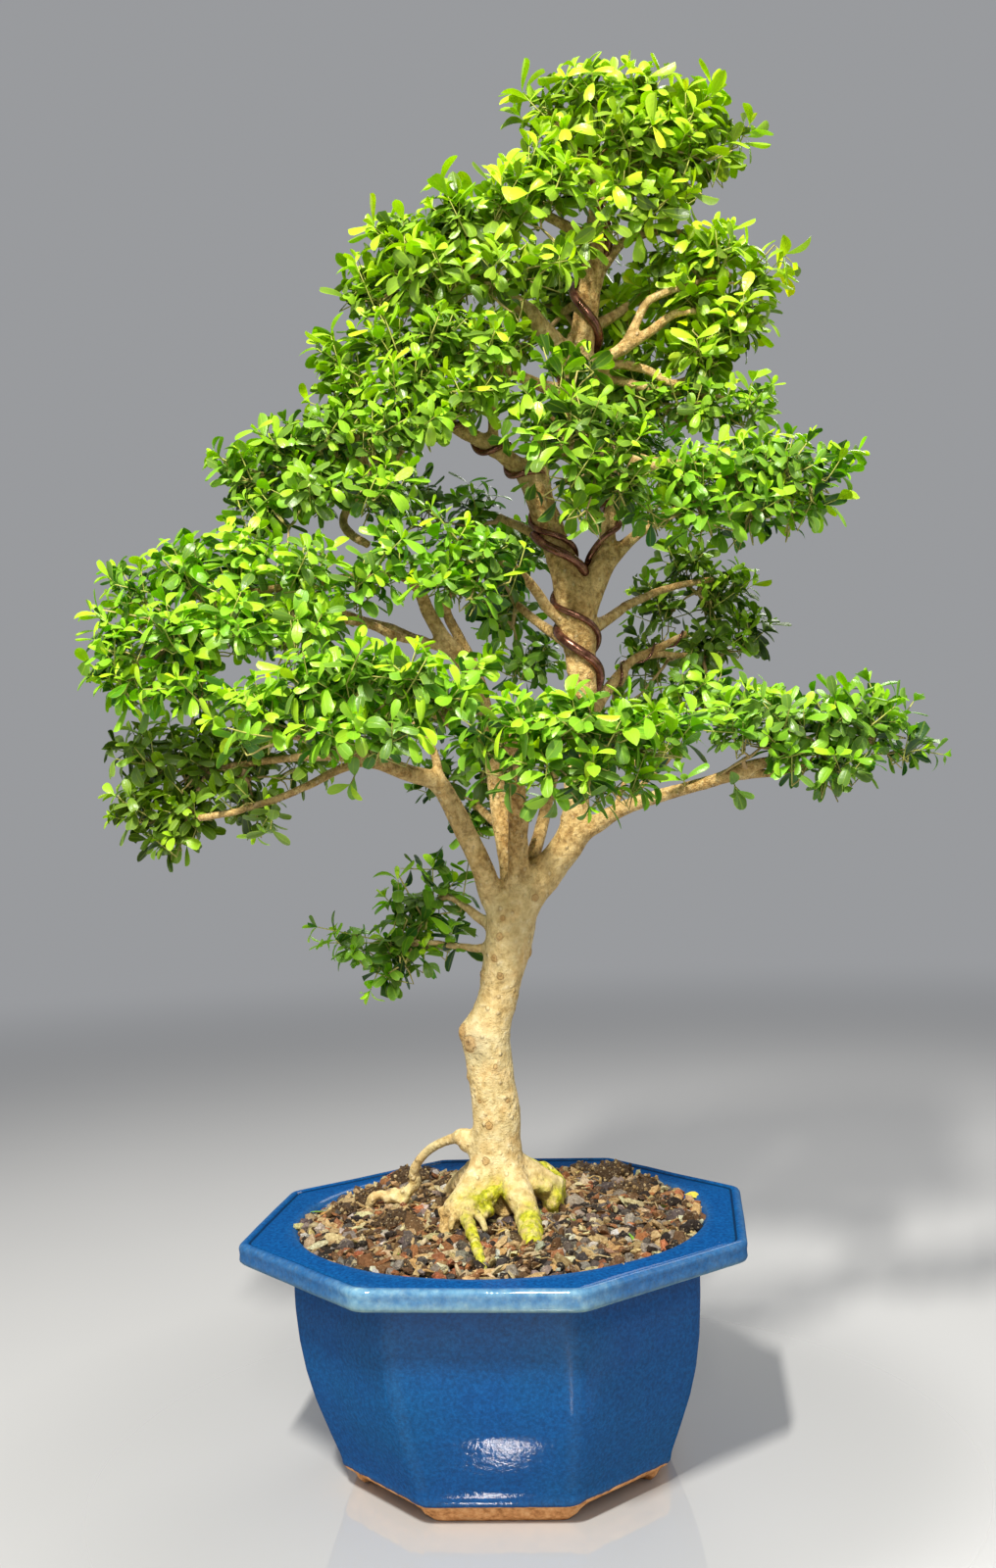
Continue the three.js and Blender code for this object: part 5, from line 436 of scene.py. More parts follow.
def leaf_material():
    m = Nodes("boxwood_leaf")
    col = m.attr("leaf_tint").outputs["Color"]
    uvn = m.node("ShaderNodeUVMap", uv_map="blade")
    sep = m.node("ShaderNodeSeparateXYZ")
    m.link(uvn.outputs["UV"], sep.inputs[0])
    across = m.math("ABSOLUTE", m.math("SUBTRACT", sep.outputs["Y"], 0.5))
    rib = m.span(across, 0.0, 0.07, 1.0, 0.0)
    edge = m.span(across, 0.4, 0.49, 0.0, 1.0)
    lighter = m.mix(0.4, col, lin(216, 242, 70))
    c = m.mix(m.math("MULTIPLY", rib, 0.55), col, lighter)
    c = m.mix(m.math("MULTIPLY", edge, 0.6), c, lighter)
    blotch = m.noise(160, 2.0)
    c = m.mix(m.span(blotch, 0.35, 0.7, 0.0, 0.22), c, m.mix(1.0, c, lin(120, 150, 90), "MULTIPLY"))
    # the pale back of the leaf
    geo = m.node("ShaderNodeNewGeometry")
    under = m.mix(0.3, c, lin(166, 204, 84))
    c = m.mix(geo.outputs["Backfacing"], c, under)
    rough = m.span(blotch, 0.3, 0.7, 0.3, 0.44)
    veins = m.math("MULTIPLY", rib, -1.0)
    height = m.math("ADD", m.math("MULTIPLY", veins, 0.6), m.noise(700, 1.0))
    p = m.shader(c, rough, m.bump(height, 0.35, 0.0004), Specular_IOR_Level=0.5)
    back = m.node("ShaderNodeBsdfTranslucent")
    glow = m.mix(1.0, c, lin(235, 255, 120), "MULTIPLY")
    bright = m.node("ShaderNodeHueSaturation")
    bright.inputs["Saturation"].default_value = 1.1
    bright.inputs["Value"].default_value = 1.35
    m.link(glow, bright.inputs["Color"])
    m.link(bright.outputs["Color"], back.inputs["Color"])
    mix = m.node("ShaderNodeMixShader")
    mix.inputs[0].default_value = 0.2
    m.link(p.outputs[0], mix.inputs[1])
    m.link(back.outputs[0], mix.inputs[2])
    return m.done(mix)


def twig_material():
    m = Nodes("boxwood_twig")
    age = m.attr("twig_age").outputs["Fac"]
    n = m.noise(350, 3.0)
    young = m.mix(n, lin(160, 168, 60), lin(200, 196, 104))
    old = m.mix(n, lin(158, 122, 76), lin(214, 184, 132))
    c = m.mix(age, young, old)
    p = m.shader(c, 0.62, m.bump(m.noise(900, 3.0), 0.5, 0.0005))
    return m.done(p)


def bark_material():
    m = Nodes("boxwood_bark")
    tone = m.attr("bark_tone").outputs["Fac"]
    algae = m.attr("bark_algae").outputs["Fac"]
    scar = m.attr("bark_scar").outputs["Fac"]
    grey = m.attr("bark_grey").outputs["Fac"]
    big = m.noise(55, 4.0, 0.6)
    mid = m.noise(210, 5.0, 0.62, distortion=0.4)
    fine = m.noise(900, 4.0, 0.6)
    warm = m.noise(95, 3.0, 0.6)
    # fine wrinkles that run round the stem
    ring = m.noise(150, 4.0, 0.6, vector=m.scaled(1.0, 1.0, 3.0), distortion=0.9)
    pale = m.ramp(mid, [(0.24, lin(168, 138, 86)), (0.42, lin(210, 188, 132)), (0.58, lin(232, 213, 160)), (0.78, lin(248, 236, 198))])
    pale = m.mix(m.span(big, 0.44, 0.66, 0.0, 0.6), pale, m.mix(mid, lin(176, 160, 108), lin(212, 198, 146)))
    pale = m.mix(m.span(warm, 0.5, 0.66, 0.0, 0.4), pale, m.mix(mid, lin(206, 160, 92), lin(236, 202, 140)))
    brown = m.ramp(mid, [(0.28, lin(120, 86, 42)), (0.43, lin(198, 152, 84)), (0.58, lin(236, 196, 124)), (0.78, lin(250, 222, 164))])
    stain = m.noise(120, 4.0, 0.6)
    pale = m.mix(m.span(stain, 0.46, 0.64, 0.0, 0.5), pale, m.mix(1.0, pale, lin(226, 208, 172), "MULTIPLY"))
    c = m.mix(tone, pale, brown)
    c = m.mix(m.math("MULTIPLY", tone, 0.6), c, m.mix(1.0, c, lin(255, 242, 208), "MULTIPLY"))
    c = m.mix(m.span(ring, 0.54, 0.7, 0.0, 0.12), c, lin(150, 116, 68))
    # corky cracks, mostly on the older, browner wood
    split = m.noise(230, 5.0, 0.7, vector=m.scaled(1.0, 1.0, 0.35), distortion=0.8)
    crack = m.span(m.math("ABSOLUTE", m.math("SUBTRACT", split, 0.5)), 0.0, 0.035, 1.0, 0.0)
    crack = m.math("MULTIPLY", crack, m.span(tone, 0.3, 1.0, 0.0, 0.28))
    c = m.mix(m.math("MULTIPLY", crack, 0.5), c, lin(104, 72, 38))
    fleck = m.noise(390, 5.0, 0.68, vector=m.scaled(1.0, 1.0, 0.8))
    flecks = m.math("MULTIPLY", m.span(fleck, 0.5, 0.62), m.span(tone, 0.1, 0.8, 0.14, 0.72))
    c = m.mix(flecks, c, m.mix(mid, lin(110, 76, 36), lin(160, 120, 66)))
    crust = m.math("MULTIPLY", m.span(fleck, 0.5, 0.36), m.span(tone, 0.1, 0.8, 0.08, 0.45))
    c = m.mix(crust, c, lin(240, 214, 156))
    # raised lenticels of two sizes, with a pale top painted as highlight and a darker ring painted as shade at their
    # foot
    dots = m.voronoi(300, "F1", m.scaled(1.0, 1.0, 0.8))
    dot = m.node("ShaderNodeMapRange", interpolation_type="SMOOTHSTEP")
    m.link(dots.outputs["Distance"], dot.inputs["Value"])
    dot.inputs["From Min"].default_value = 0.1
    dot.inputs["From Max"].default_value = 0.5
    dot.inputs["To Min"].default_value = 1.0
    dot.inputs["To Max"].default_value = 0.0
    dot = m.math("MULTIPLY", dot.outputs["Result"], m.span(dots.outputs["Color"], 0.35, 0.75))
    small = m.voronoi(700, "F1")
    grit = m.math("MULTIPLY", m.span(small.outputs["Distance"], 0.1, 0.5, 1.0, 0.0), m.span(small.outputs["Color"], 0.45, 0.75))
    # painted shade: a darker ring round the foot of each raised dot
    foot = m.math("MULTIPLY", dot, m.math("SUBTRACT", 1.0, dot))
    c = m.mix(m.math("MULTIPLY", foot, 0.5, clamp=True), c, lin(166, 132, 82))
    # painted highlight: the tops of the dots made paler
    c = m.mix(m.math("MULTIPLY", m.span(dot, 0.5, 1.0), 0.3), c, lin(246, 234, 196))
    # a smooth greyish callus, and the brown ringed scars of cut shoots
    c = m.mix(m.math("MULTIPLY", grey, 0.55), c, m.mix(mid, lin(168, 158, 128), lin(204, 192, 156)))
    torn = m.math("ADD", scar, m.math("MULTIPLY", m.math("SUBTRACT", m.noise(420, 3.0), 0.5), 0.5))
    patch = m.span(torn, 0.4, 0.6)
    c = m.mix(m.math("MULTIPLY", patch, 0.6), c, lin(176, 132, 72))
    line = m.span(m.math("ABSOLUTE", m.math("SUBTRACT", torn, 0.56)), 0.0, 0.12, 1.0, 0.0)
    c = m.mix(m.math("MULTIPLY", line, m.span(m.noise(260, 3.0), 0.4, 0.6, 0.05, 0.32)), c, lin(140, 102, 56))
    core = m.span(torn, 0.84, 0.96)
    c = m.mix(m.math("MULTIPLY", core, 0.65), c, lin(112, 78, 40))
    green = m.ramp(m.noise(320, 4.0), [(0.3, lin(112, 116, 18)), (0.48, lin(172, 172, 26)), (0.66, lin(222, 216, 62))])
    grow = m.math("MULTIPLY", algae, m.span(m.noise(170, 4.0, 0.7), 0.34, 0.56, 0.25, 1.3), clamp=True)
    c = m.mix(grow, c, green)
    h = m.math("ADD", m.math("MULTIPLY", mid, 0.8), m.math("MULTIPLY", fine, 0.25))
    h = m.math("SUBTRACT", h, m.math("MULTIPLY", crack, 0.5))
    h = m.math("SUBTRACT", h, m.math("MULTIPLY", fleck, m.span(tone, 0.1, 0.8, 0.5, 1.6)))
    h = m.math("SUBTRACT", h, m.math("MULTIPLY", m.span(ring, 0.5, 0.68), 0.1))
    h = m.math("ADD", h, m.math("MULTIPLY", dot, 0.62))
    h = m.math("ADD", h, m.math("MULTIPLY", grit, 0.2))
    h = m.math("SUBTRACT", h, m.math("MULTIPLY", line, 0.3))
    h = m.math("MULTIPLY", h, m.span(tone, 0.15, 0.7, 0.58, 1.0))
    p = m.shader(c, m.span(mid, 0.3, 0.7, 0.78, 0.6), m.bump(h, 1.0, 0.0022), Specular_IOR_Level=0.3)
    return m.done(p)


def glaze_material():
    m = Nodes("blue_glaze")
    edge = m.attr("pale_edge_and_highlight").outputs["Fac"]
    shade = m.attr("glaze_deep").outputs["Fac"]
    clay = m.attr("bare_clay").outputs["Fac"]
    speck = m.noise(560, 4.0, 0.7)
    mott = m.noise(130, 4.0, 0.6, distortion=0.6)
    cloud = m.noise(17, 3.0, 0.55)
    deep = m.ramp(speck, [(0.3, lin(0, 58, 108)), (0.5, lin(1, 72, 132)), (0.7, lin(8, 90, 156))])
    teal = m.ramp(speck, [(0.3, lin(0, 66, 102)), (0.5, lin(2, 82, 124)), (0.7, lin(10, 98, 142))])
    c = m.mix(m.span(cloud, 0.42, 0.66, 0.0, 0.35), deep, teal)
    c = m.mix(m.span(mott, 0.5, 0.74, 0.0, 0.16), c, lin(10, 96, 164))
    vivid = m.ramp(speck, [(0.3, lin(0, 50, 100)), (0.5, lin(4, 70, 132)), (0.7, lin(10, 90, 154))])
    c = m.mix(m.math("SUBTRACT", 1.0, shade, clamp=True), c, m.mix(0.85, c, vivid))
    c = m.mix(m.span(shade, 1.05, 1.6, 0.0, 0.85), c, lin(0, 20, 46))
    # the glaze breaks pale and greenish where it runs thin over the edges; on the rim's front face part of this pale
    # colour is painted highlight
    thin = m.math("MULTIPLY", edge, m.span(m.noise(210, 5.0, 0.65), 0.34, 0.62, 0.6, 1.0))
    pale = m.ramp(m.noise(260, 3.0), [(0.35, lin(104, 156, 186)), (0.6, lin(136, 180, 200)), (0.78, lin(172, 206, 208))])
    spot = m.node("ShaderNodeSeparateXYZ")
    m.link(m.place(), spot.inputs[0])
    low = m.span(spot.outputs["Z"], 0.1165, 0.1225, 1.0, 0.0)
    pale = m.mix(low, pale, m.mix(m.noise(300, 3.0), lin(104, 140, 136), lin(160, 182, 160)))
    c = m.mix(m.math("MULTIPLY", thin, 0.9), c, pale)
    pits = m.voronoi(150, "F1")
    pit = m.math("MULTIPLY", m.span(pits.outputs["Distance"], 0.03, 0.09, 1.0, 0.0), m.span(pits.outputs["Color"], 0.9, 0.93))
    c = m.mix(m.math("MULTIPLY", pit, 0.7), c, lin(170, 176, 165))
    tan = m.ramp(m.noise(240, 5.0, 0.65), [(0.3, lin(146, 98, 60)), (0.5, lin(206, 148, 96)), (0.72, lin(236, 186, 132))])
    tan = m.mix(m.span(m.noise(60, 3.0), 0.52, 0.72, 0.0, 0.5), tan, lin(116, 82, 56))
    bare = m.math("GREATER_THAN", m.math("ADD", clay, m.math("MULTIPLY", m.math("SUBTRACT", m.noise(120, 3.0), 0.5), 0.35)), 0.5)
    rimline = m.span(m.math("ABSOLUTE", m.math("SUBTRACT", clay, 0.42)), 0.0, 0.12, 1.0, 0.0)
    c = m.mix(m.math("MULTIPLY", rimline, 0.5), c, lin(58, 50, 38))
    c = m.mix(bare, c, tan)
    rough = m.span(m.noise(300, 3.0), 0.3, 0.7, 0.02, 0.05)
    rough = m.math("ADD", m.math("MULTIPLY", rough, m.math("SUBTRACT", 1.0, bare)), m.math("MULTIPLY", bare, 0.75))
    h = m.math("ADD", m.math("MULTIPLY", m.noise(760, 3.0), 0.45), m.math("MULTIPLY", m.noise(150, 2.0), 0.8))
    h = m.math("SUBTRACT", h, m.math("MULTIPLY", pit, 0.5))
    wavy = m.bump(h, 0.22, 0.0009)
    gloss = m.bump(m.noise(430, 2.0), 0.045, 0.0009)
    p = m.shader(c, 0.7, wavy, Specular_IOR_Level=0.0, Coat_IOR=3.5)
    m.link(m.math("MULTIPLY", m.math("SUBTRACT", 1.0, bare), 0.08), p.inputs["Coat Weight"])
    m.link(rough, p.inputs["Coat Roughness"])
    m.link(gloss, p.inputs["Coat Normal"])
    return m.done(p)


def soil_material():
    m = Nodes("soil_bed")
    n = m.noise(420, 5.0, 0.7)
    c = m.ramp(n, [(0.3, lin(18, 14, 10)), (0.5, lin(42, 31, 21)), (0.7, lin(84, 63, 44))])
    return m.done(m.shader(c, 0.95, m.bump(n, 0.9, 0.002)))


def grain_material():
    m = Nodes("soil_grains")
    col = m.attr("grain_tint").outputs["Color"]
    n = m.noise(700, 5.0, 0.7)
    c = m.mix(m.span(n, 0.3, 0.7, 0.0, 0.75), m.mix(1.0, col, lin(140, 126, 108), "MULTIPLY"), col)
    speck = m.voronoi(1500, "F1")
    c = m.mix(m.math("MULTIPLY", m.span(speck.outputs["Color"], 0.8, 0.9), 0.35), c, lin(225, 205, 165))
    return m.done(m.shader(c, m.span(n, 0.3, 0.7, 0.9, 0.62), m.bump(n, 0.8, 0.0012), Specular_IOR_Level=0.3))


def litter_material():
    m = Nodes("fallen_leaf")
    col = m.attr("leaf_tint").outputs["Color"]
    n = m.noise(500, 3.0)
    c = m.mix(m.span(n, 0.4, 0.7, 0.0, 0.5), col, m.mix(1.0, col, lin(150, 120, 70), "MULTIPLY"))
    return m.done(m.shader(c, 0.5, m.bump(n, 0.4, 0.0006)))


def wire_material():
    m = Nodes("anodised_wire")
    n = m.noise(260, 4.0)
    c = m.mix(m.span(n, 0.35, 0.7), lin(96, 58, 46), lin(150, 104, 84))
    rough = m.span(m.noise(500, 3.0), 0.3, 0.7, 0.16, 0.3)
    return m.done(m.shader(c, rough, m.bump(m.noise(800, 2.0), 0.2, 0.0004), Metallic=0.75, Specular_IOR_Level=0.5))


def steel_material():
    m = Nodes("plain_wire")
    n = m.noise(500, 4.0)
    c = m.mix(n, lin(120, 112, 104), lin(186, 182, 176))
    return m.done(m.shader(c, m.span(n, 0.3, 0.7, 0.3, 0.5), m.bump(n, 0.2, 0.0003), Metallic=0.9))


def plastic_material():
    m = Nodes("black_mesh")
    n = m.noise(600, 4.0)
    c = m.mix(n, lin(22, 22, 22), lin(44, 44, 42))
    return m.done(m.shader(c, m.span(n, 0.3, 0.7, 0.45, 0.65), m.bump(n, 0.3, 0.0003)))


LEAF = leaf_material()
TWIG = twig_material()
BARK = bark_material()
GLAZE = glaze_material()
SOIL = soil_material()
GRAIN = grain_material()
LITTER = litter_material()
WIRE = wire_material()
STEEL = steel_material()
PLASTIC = plastic_material()


# ---- camera, light and floor -------------------------------------------------------
def make_camera():
    pitch, yaw, roll = (math.radians(a) for a in (1.39, 0.55, -2.32))
    fwd = np.array([math.sin(yaw) * math.cos(pitch), math.cos(yaw) * math.cos(pitch), math.sin(pitch)])
    right = np.array([math.cos(yaw), -math.sin(yaw), 0.0])
    up = np.cross(right, fwd)
    r2 = math.cos(roll) * right + math.sin(roll) * up
    u2 = -math.sin(roll) * right + math.cos(roll) * up
    cam = bpy.data.cameras.new("camera")
    cam.sensor_fit = "AUTO"
    cam.sensor_width = 36.0
    cam.lens = 36.0 * 1500.0 / 1600.0
    cam.clip_start, cam.clip_end = 0.02, 50.0
    ob = bpy.data.objects.new("camera", cam)
    bpy.context.scene.collection.objects.link(ob)
    m = Matrix.Identity(4)
    for i in range(3):
        m[i][0], m[i][1], m[i][2] = r2[i], u2[i], -fwd[i]
    spot = (np.array([0.0, -791.0, 338.0]) + PLACE) * MM
    m.translation = Vector(spot)
    ob.matrix_world = m
    bpy.context.scene.camera = ob


def area_light(name, spot, aim, size, power, color=(1, 1, 1), shape="RECTANGLE"):
    data = bpy.data.lights.new(name, "AREA")
    data.shape = shape
    data.size, data.size_y = size
    data.energy = power
    data.color = color
    ob = bpy.data.objects.new(name, data)
    bpy.context.scene.collection.objects.link(ob)
    ob.location = Vector(spot)
    ob.rotation_mode = "QUATERNION"
    ob.rotation_quaternion = (Vector(aim) - Vector(spot)).to_track_quat("-Z", "Y")
    ob.visible_camera = False
    return ob


SKY = (0.94, 0.96, 1.0, 1)
SKY_POWER = 0.34


def make_stage():
    world = bpy.data.worlds.new("studio")
    world.use_nodes = True
    bg = world.node_tree.nodes["Background"]
    bg.inputs["Color"].default_value = SKY
    bg.inputs["Strength"].default_value = SKY_POWER
    bpy.context.scene.world = world
    # a pale floor that melts into the pale surroundings some metres away
    m = Nodes("studio_floor")
    far = m.node("ShaderNodeVectorMath", operation="LENGTH")
    m.link(m.place(), far.inputs[0])
    fade = m.node("ShaderNodeMapRange", interpolation_type="SMOOTHSTEP")
    m.link(far.outputs["Value"], fade.inputs["Value"])
    fade.inputs["From Min"].default_value = 0.4
    fade.inputs["From Max"].default_value = 2.6
    fade = fade.outputs["Result"]
    n = m.noise(3.0, 2.0)
    c = m.mix(n, (0.5, 0.5, 0.495, 1), (0.53, 0.53, 0.525, 1))
    # polished under the pot, matt further out
    polish = m.span(far.outputs["Value"], 0.15, 0.34, 0.03, 0.6)
    p = m.shader(m.mix(fade, c, (0, 0, 0, 1)), polish, Specular_IOR_Level=0.9, IOR=1.75)
    glow = m.node("ShaderNodeEmission")
    glow.inputs["Color"].default_value = SKY
    glow.inputs["Strength"].default_value = SKY_POWER
    both = m.node("ShaderNodeMixShader")
    m.link(fade, both.inputs[0])
    m.link(p.outputs[0], both.inputs[1])
    m.link(glow.outputs[0], both.inputs[2])
    mat = m.done(both)
    k = 96
    a = np.linspace(0, 2 * np.pi, k, endpoint=False)
    me = bpy.data.meshes.new("floor")
    me.from_pydata([(14 * math.cos(x), 14 * math.sin(x), 0.0) for x in a], [], [tuple(range(k))])
    me.materials.append(mat)
    floor = bpy.data.objects.new("floor", me)
    bpy.context.scene.collection.objects.link(floor)
    floor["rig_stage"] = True
    area_light("key", (-0.288, -1.05, 1.52), (0.0, 0.0, 0.36), (0.065, 0.28), 42.0, (1.0, 0.97, 0.91), "ELLIPSE")
    area_light("front", (0.095, -1.65, 1.1), (0.0, 0.0, 0.36), (0.14, 0.85), 7.5, (1.0, 0.97, 0.92), "ELLIPSE")
    area_light("back", (0.55, 1.35, 1.35), (0.0, 0.0, 0.42), (0.8, 0.6), 9.0, (1.0, 0.98, 0.95))
    area_light("left", (-1.5, -0.5, 0.8), (0.0, 0.0, 0.35), (0.6, 0.8), 1.6, (0.95, 0.97, 1.0))
    area_light("right", (1.5, -0.5, 0.8), (0.0, 0.0, 0.35), (0.6, 0.8), 1.6, (0.95, 0.97, 1.0))
    vs = bpy.context.scene.view_settings
    vs.view_transform = "Standard"
    vs.look = "None"
    vs.exposure = 0.0
    vs.gamma = 1.0


make_camera()
make_stage()


# ---- the pot -----------------------------------------------------------------------
def oct_radius(theta, apothem, power, diagonal=1.0):
    """The radius at theta of an octagon with that apothem and softened corners."""
    s = np.zeros_like(theta)
    for k in range(8):
        c = np.maximum(0.0, np.cos(theta - POT_TURN - k * np.pi / 4)) / (diagonal if k % 2 else 1.0)
        s += c**power
    return apothem / s ** (1.0 / power)


def make_pot():
    n = 288
    th = np.linspace(0, 2 * np.pi, n, endpoint=False)
    flat = math.cos(math.pi / 8)
    wall = np.array([(86.5, 9.4), (88.0, 9.7), (89.3, 11.0), (90.6, 13.6), (93.2, 20), (97.2, 30), (103.2, 46), (107.4, 61), (110.2, 77), (112, 97), (112.6, 110)])
    zs = np.concatenate([[9.4, 9.55, 10.0, 11.0, 12.4, 14.5], np.linspace(17, 110, 26)])
    rings = []  # apothem, z, power, share of circle, edge, deep, clay

    def add(ap, z, power=46.0, circle=0.0, edge=0.0, deep=1.0, clay=0.0, foot=0):
        rings.append((ap, z, power, circle, edge, deep, clay, foot))

    # underside, from the drain hole out to the foot
    add(11.0, 9.6, circle=1, clay=1)
    add(12.0, 9.0, circle=1, clay=1)
    for r in (24, 38, 52):
        add(r, 9.0, circle=1, clay=1)
    add(64.5, 9.0, circle=1, clay=1)
    add(66.0, 8.2, circle=1, clay=1)
    add(66.6, 4.5, circle=0.95, clay=1, foot=2)
    add(67.2, 1.0, circle=0.9, clay=1, foot=2)
    add(68.2, 0.0, circle=0.8, clay=1, foot=1)
    add(72.6 * 1.0, 0.0, circle=0.0, clay=1, foot=1, power=60)
    add(73.8, 0.35, circle=0.0, clay=1, foot=1, power=60)
    add(74.7, 1.3, clay=1, foot=1, power=60)
    add(77.0, 4.0, clay=1, foot=3, power=60)
    add(78.6, 7.0, clay=1, foot=4, power=60)
    add(79.4, 8.7, clay=0.85, foot=4, power=60)
    for z in zs:
        r = np.interp(z, wall[:, 1], wall[:, 0])
        lip = 0.9 * math.exp(-((z - 12.2) ** 2) / 5.0)
        add(r * flat + lip, z, power=62.0, edge=0.1 * math.exp(-((z - 13.2) ** 2) / 1.2), deep=1.0, clay=0.62 - 0.5 * smooth01(z, 9.8, 12.4))
    add(104.3, 113.5, power=60)
    add(104.9, 115.3, power=60)
    add(106.4, 116.2, power=66)
    add(110.0, 116.5, power=80)
    add(117.0, 116.5, power=110)
    add(121.5, 116.55, power=130, edge=0.2)
    add(124.2, 116.75, power=140, edge=0.6, deep=0.8)
    add(125.7, 117.3, power=140, edge=0.95, deep=0.7)
    add(126.6, 118.2, power=140, edge=1.0, deep=0.6)
    add(127.0, 119.3, power=140, edge=0.9, deep=0.6)
    add(126.9, 120.5, power=140, edge=0.7, deep=0.6)
    add(126.8, 121.8, power=140, edge=0.6, deep=0.55)
    add(126.85, 123.1, power=140, edge=0.55, deep=0.5)
    add(127.05, 124.3, power=140, edge=0.6, deep=0.4)
    add(127.15, 125.2, power=140, edge=0.7, deep=0.3)
    add(126.95, 126.1, power=140, edge=0.8, deep=0.2)
    add(126.45, 126.9, power=140, edge=0.85, deep=0.15)
    add(125.7, 127.5, power=140, edge=0.7, deep=0.1)
    add(124.8, 127.85, power=140, edge=0.4, deep=0.1)
    add(123.9, 127.9, power=140, edge=0.2, deep=0.1)
    add(123.0, 127.6, power=140, edge=0.0, deep=0.6)
    add(122.4, 127.0, power=140, edge=0.0, deep=1.5)
    add(121.7, 126.6, power=140, edge=0.0, deep=1.6)
    add(120.9, 126.8, power=140, edge=0.0, deep=0.9)
    add(119.9, 127.1, power=130, edge=0.0, deep=0.15)
    add(118.2, 127.1, power=110, edge=0.0, deep=0.1)
    add(115.5, 127.3, power=54, circle=0.22, deep=0.05)
    add(112.8, 127.6, power=52, circle=0.6, deep=0.05)
    add(110.6, 127.6, circle=0.95, deep=0.05, edge=0.1)
    add(109.4, 127.1, circle=1.0, deep=0.1, edge=0.35)
    add(108.6, 126.1, circle=1.0, deep=0.2, edge=0.45)
    add(107.6, 124.8, circle=1.0, deep=0.4, edge=0.1)
    add(103.0, 122.0, circle=1.0)
    for r, z in ((98, 114), (96, 105), (93, 73), (87, 46), (79, 28), (72, 20)):
        add(r, z, circle=1.0)
    add(67, 18.0, circle=1, clay=1)
    for r in (50, 30, 13):
        add(r, 18.0, circle=1, clay=1)
    add(11.0, 17.2, circle=1, clay=1)
    m = len(rings)
    verts = np.zeros((m, n, 3))
    edge = np.zeros((m, n))
    deep = np.zeros((m, n))
    clay = np.zeros((m, n))
    # distance along each diagonal side, for the arches between the feet
    arch = np.zeros(n)
    along = np.full(n, 1e9)
    for k in range(4):
        phi = POT_TURN + math.pi / 4 + k * math.pi / 2
        d = (th - phi + math.pi) % (2 * math.pi) - math.pi
        s = np.where(np.abs(d) < 0.6, 76.0 * np.tan(np.clip(d, -0.6, 0.6)), 1e9)
        along = np.minimum(along, np.abs(s))
    arch = 7.6 * (1 - smooth01(along, 19.5, 31.5))
    span_zone = 1 - smooth01(along, 24.0, 33.0)
    for i, (ap, z, power, circle, e, dp, cl, foot) in enumerate(rings):
        wide = 1.0 + 0.024 * (1 - smooth01(z, 90.0, 112.0)) if not circle else 1.0
        r = oct_radius(th, ap, power, wide) * (1 - circle) + (ap if circle else 0) * circle
        if circle and circle < 1 and foot == 0:
            # the flat top of the rim runs from the octagon to the round opening
            outer = oct_radius(th, 118.4, 56)
            r = outer * (1 - circle) + 110.2 * circle
        zz = np.full(n, float(z))
        if foot:
            zz = np.maximum(zz, arch)
        verts[i, :, 0] = r * np.cos(th)
        verts[i, :, 1] = r * np.sin(th)
        verts[i, :, 2] = zz
        edge[i], deep[i], clay[i] = e, dp, cl
        if 9.3 < z < 17:
            # over the arches a thin line of clay shows along the bottom edge
            clay[i] = 0.62 - 0.5 * smooth01(z - 1.9 * span_zone, 9.8, 12.4)
        # the body's corners carry a thin pale line too
        if 20 < z < 112 and not circle:
            c = np.cos(8 * (th - POT_TURN))
            edge[i] = np.maximum(edge[i], 0.03 * smooth01(-c, 0.96, 1.0))
    v = verts.reshape(-1, 3)
    # the walls are truer than the rim
    calm = 0.1 + 0.9 * smooth01(v[:, 2], 112.0, 117.0)
    wob = calm * (0.45 * noise3(v, 70, 11) + 0.16 * noise3(v, 18, 12))
    hold = smooth01(v[:, 2], 1.0, 16.0) * (1 - smooth01(np.abs(v[:, 2] - 116.6), 0.0, 0.01) * 0)
    rad = unit(v * np.array([1, 1, 0]))
    v = v + rad * (wob * hold)[:, None]
    top = smooth01(v[:, 2], 126.0, 127.4)
    v[:, 2] += (0.22 * noise3(v, 30, 13) - 0.1) * top
    # the rim is a little wider to the left, as hand-pressed pots often are
    rim = smooth01(v[:, 2], 115.5, 117.5) * smooth01(np.hypot(v[:, 0], v[:, 1]), 112, 124)
    v[:, 0] -= 1.9 * rim * smooth01(-v[:, 0], 60, 125)
    v[:, 0] += 0.9 * rim * smooth01(v[:, 0], 90, 130)
    # the body stands turned a little under the rim
    a = math.radians(3.0) * np.clip(1 - v[:, 2] / 112.0, 0, 1)
    v[:, 0], v[:, 1] = v[:, 0] * np.cos(a) - v[:, 1] * np.sin(a), v[:, 0] * np.sin(a) + v[:, 1] * np.cos(a)
    # a small run of glaze at the front left corner of the rim
    corner = np.array([-67.5, -117.5, 124.6])
    w = np.exp(-((np.linalg.norm((v - corner) * np.array([1, 1, 1.3]), axis=1) / 5.0) ** 2))
    v = v + (rad * 1.2 + np.array([0, 0, 0.5])) * (w * (1 + 0.5 * noise3(v, 3.0, 17)))[:, None]
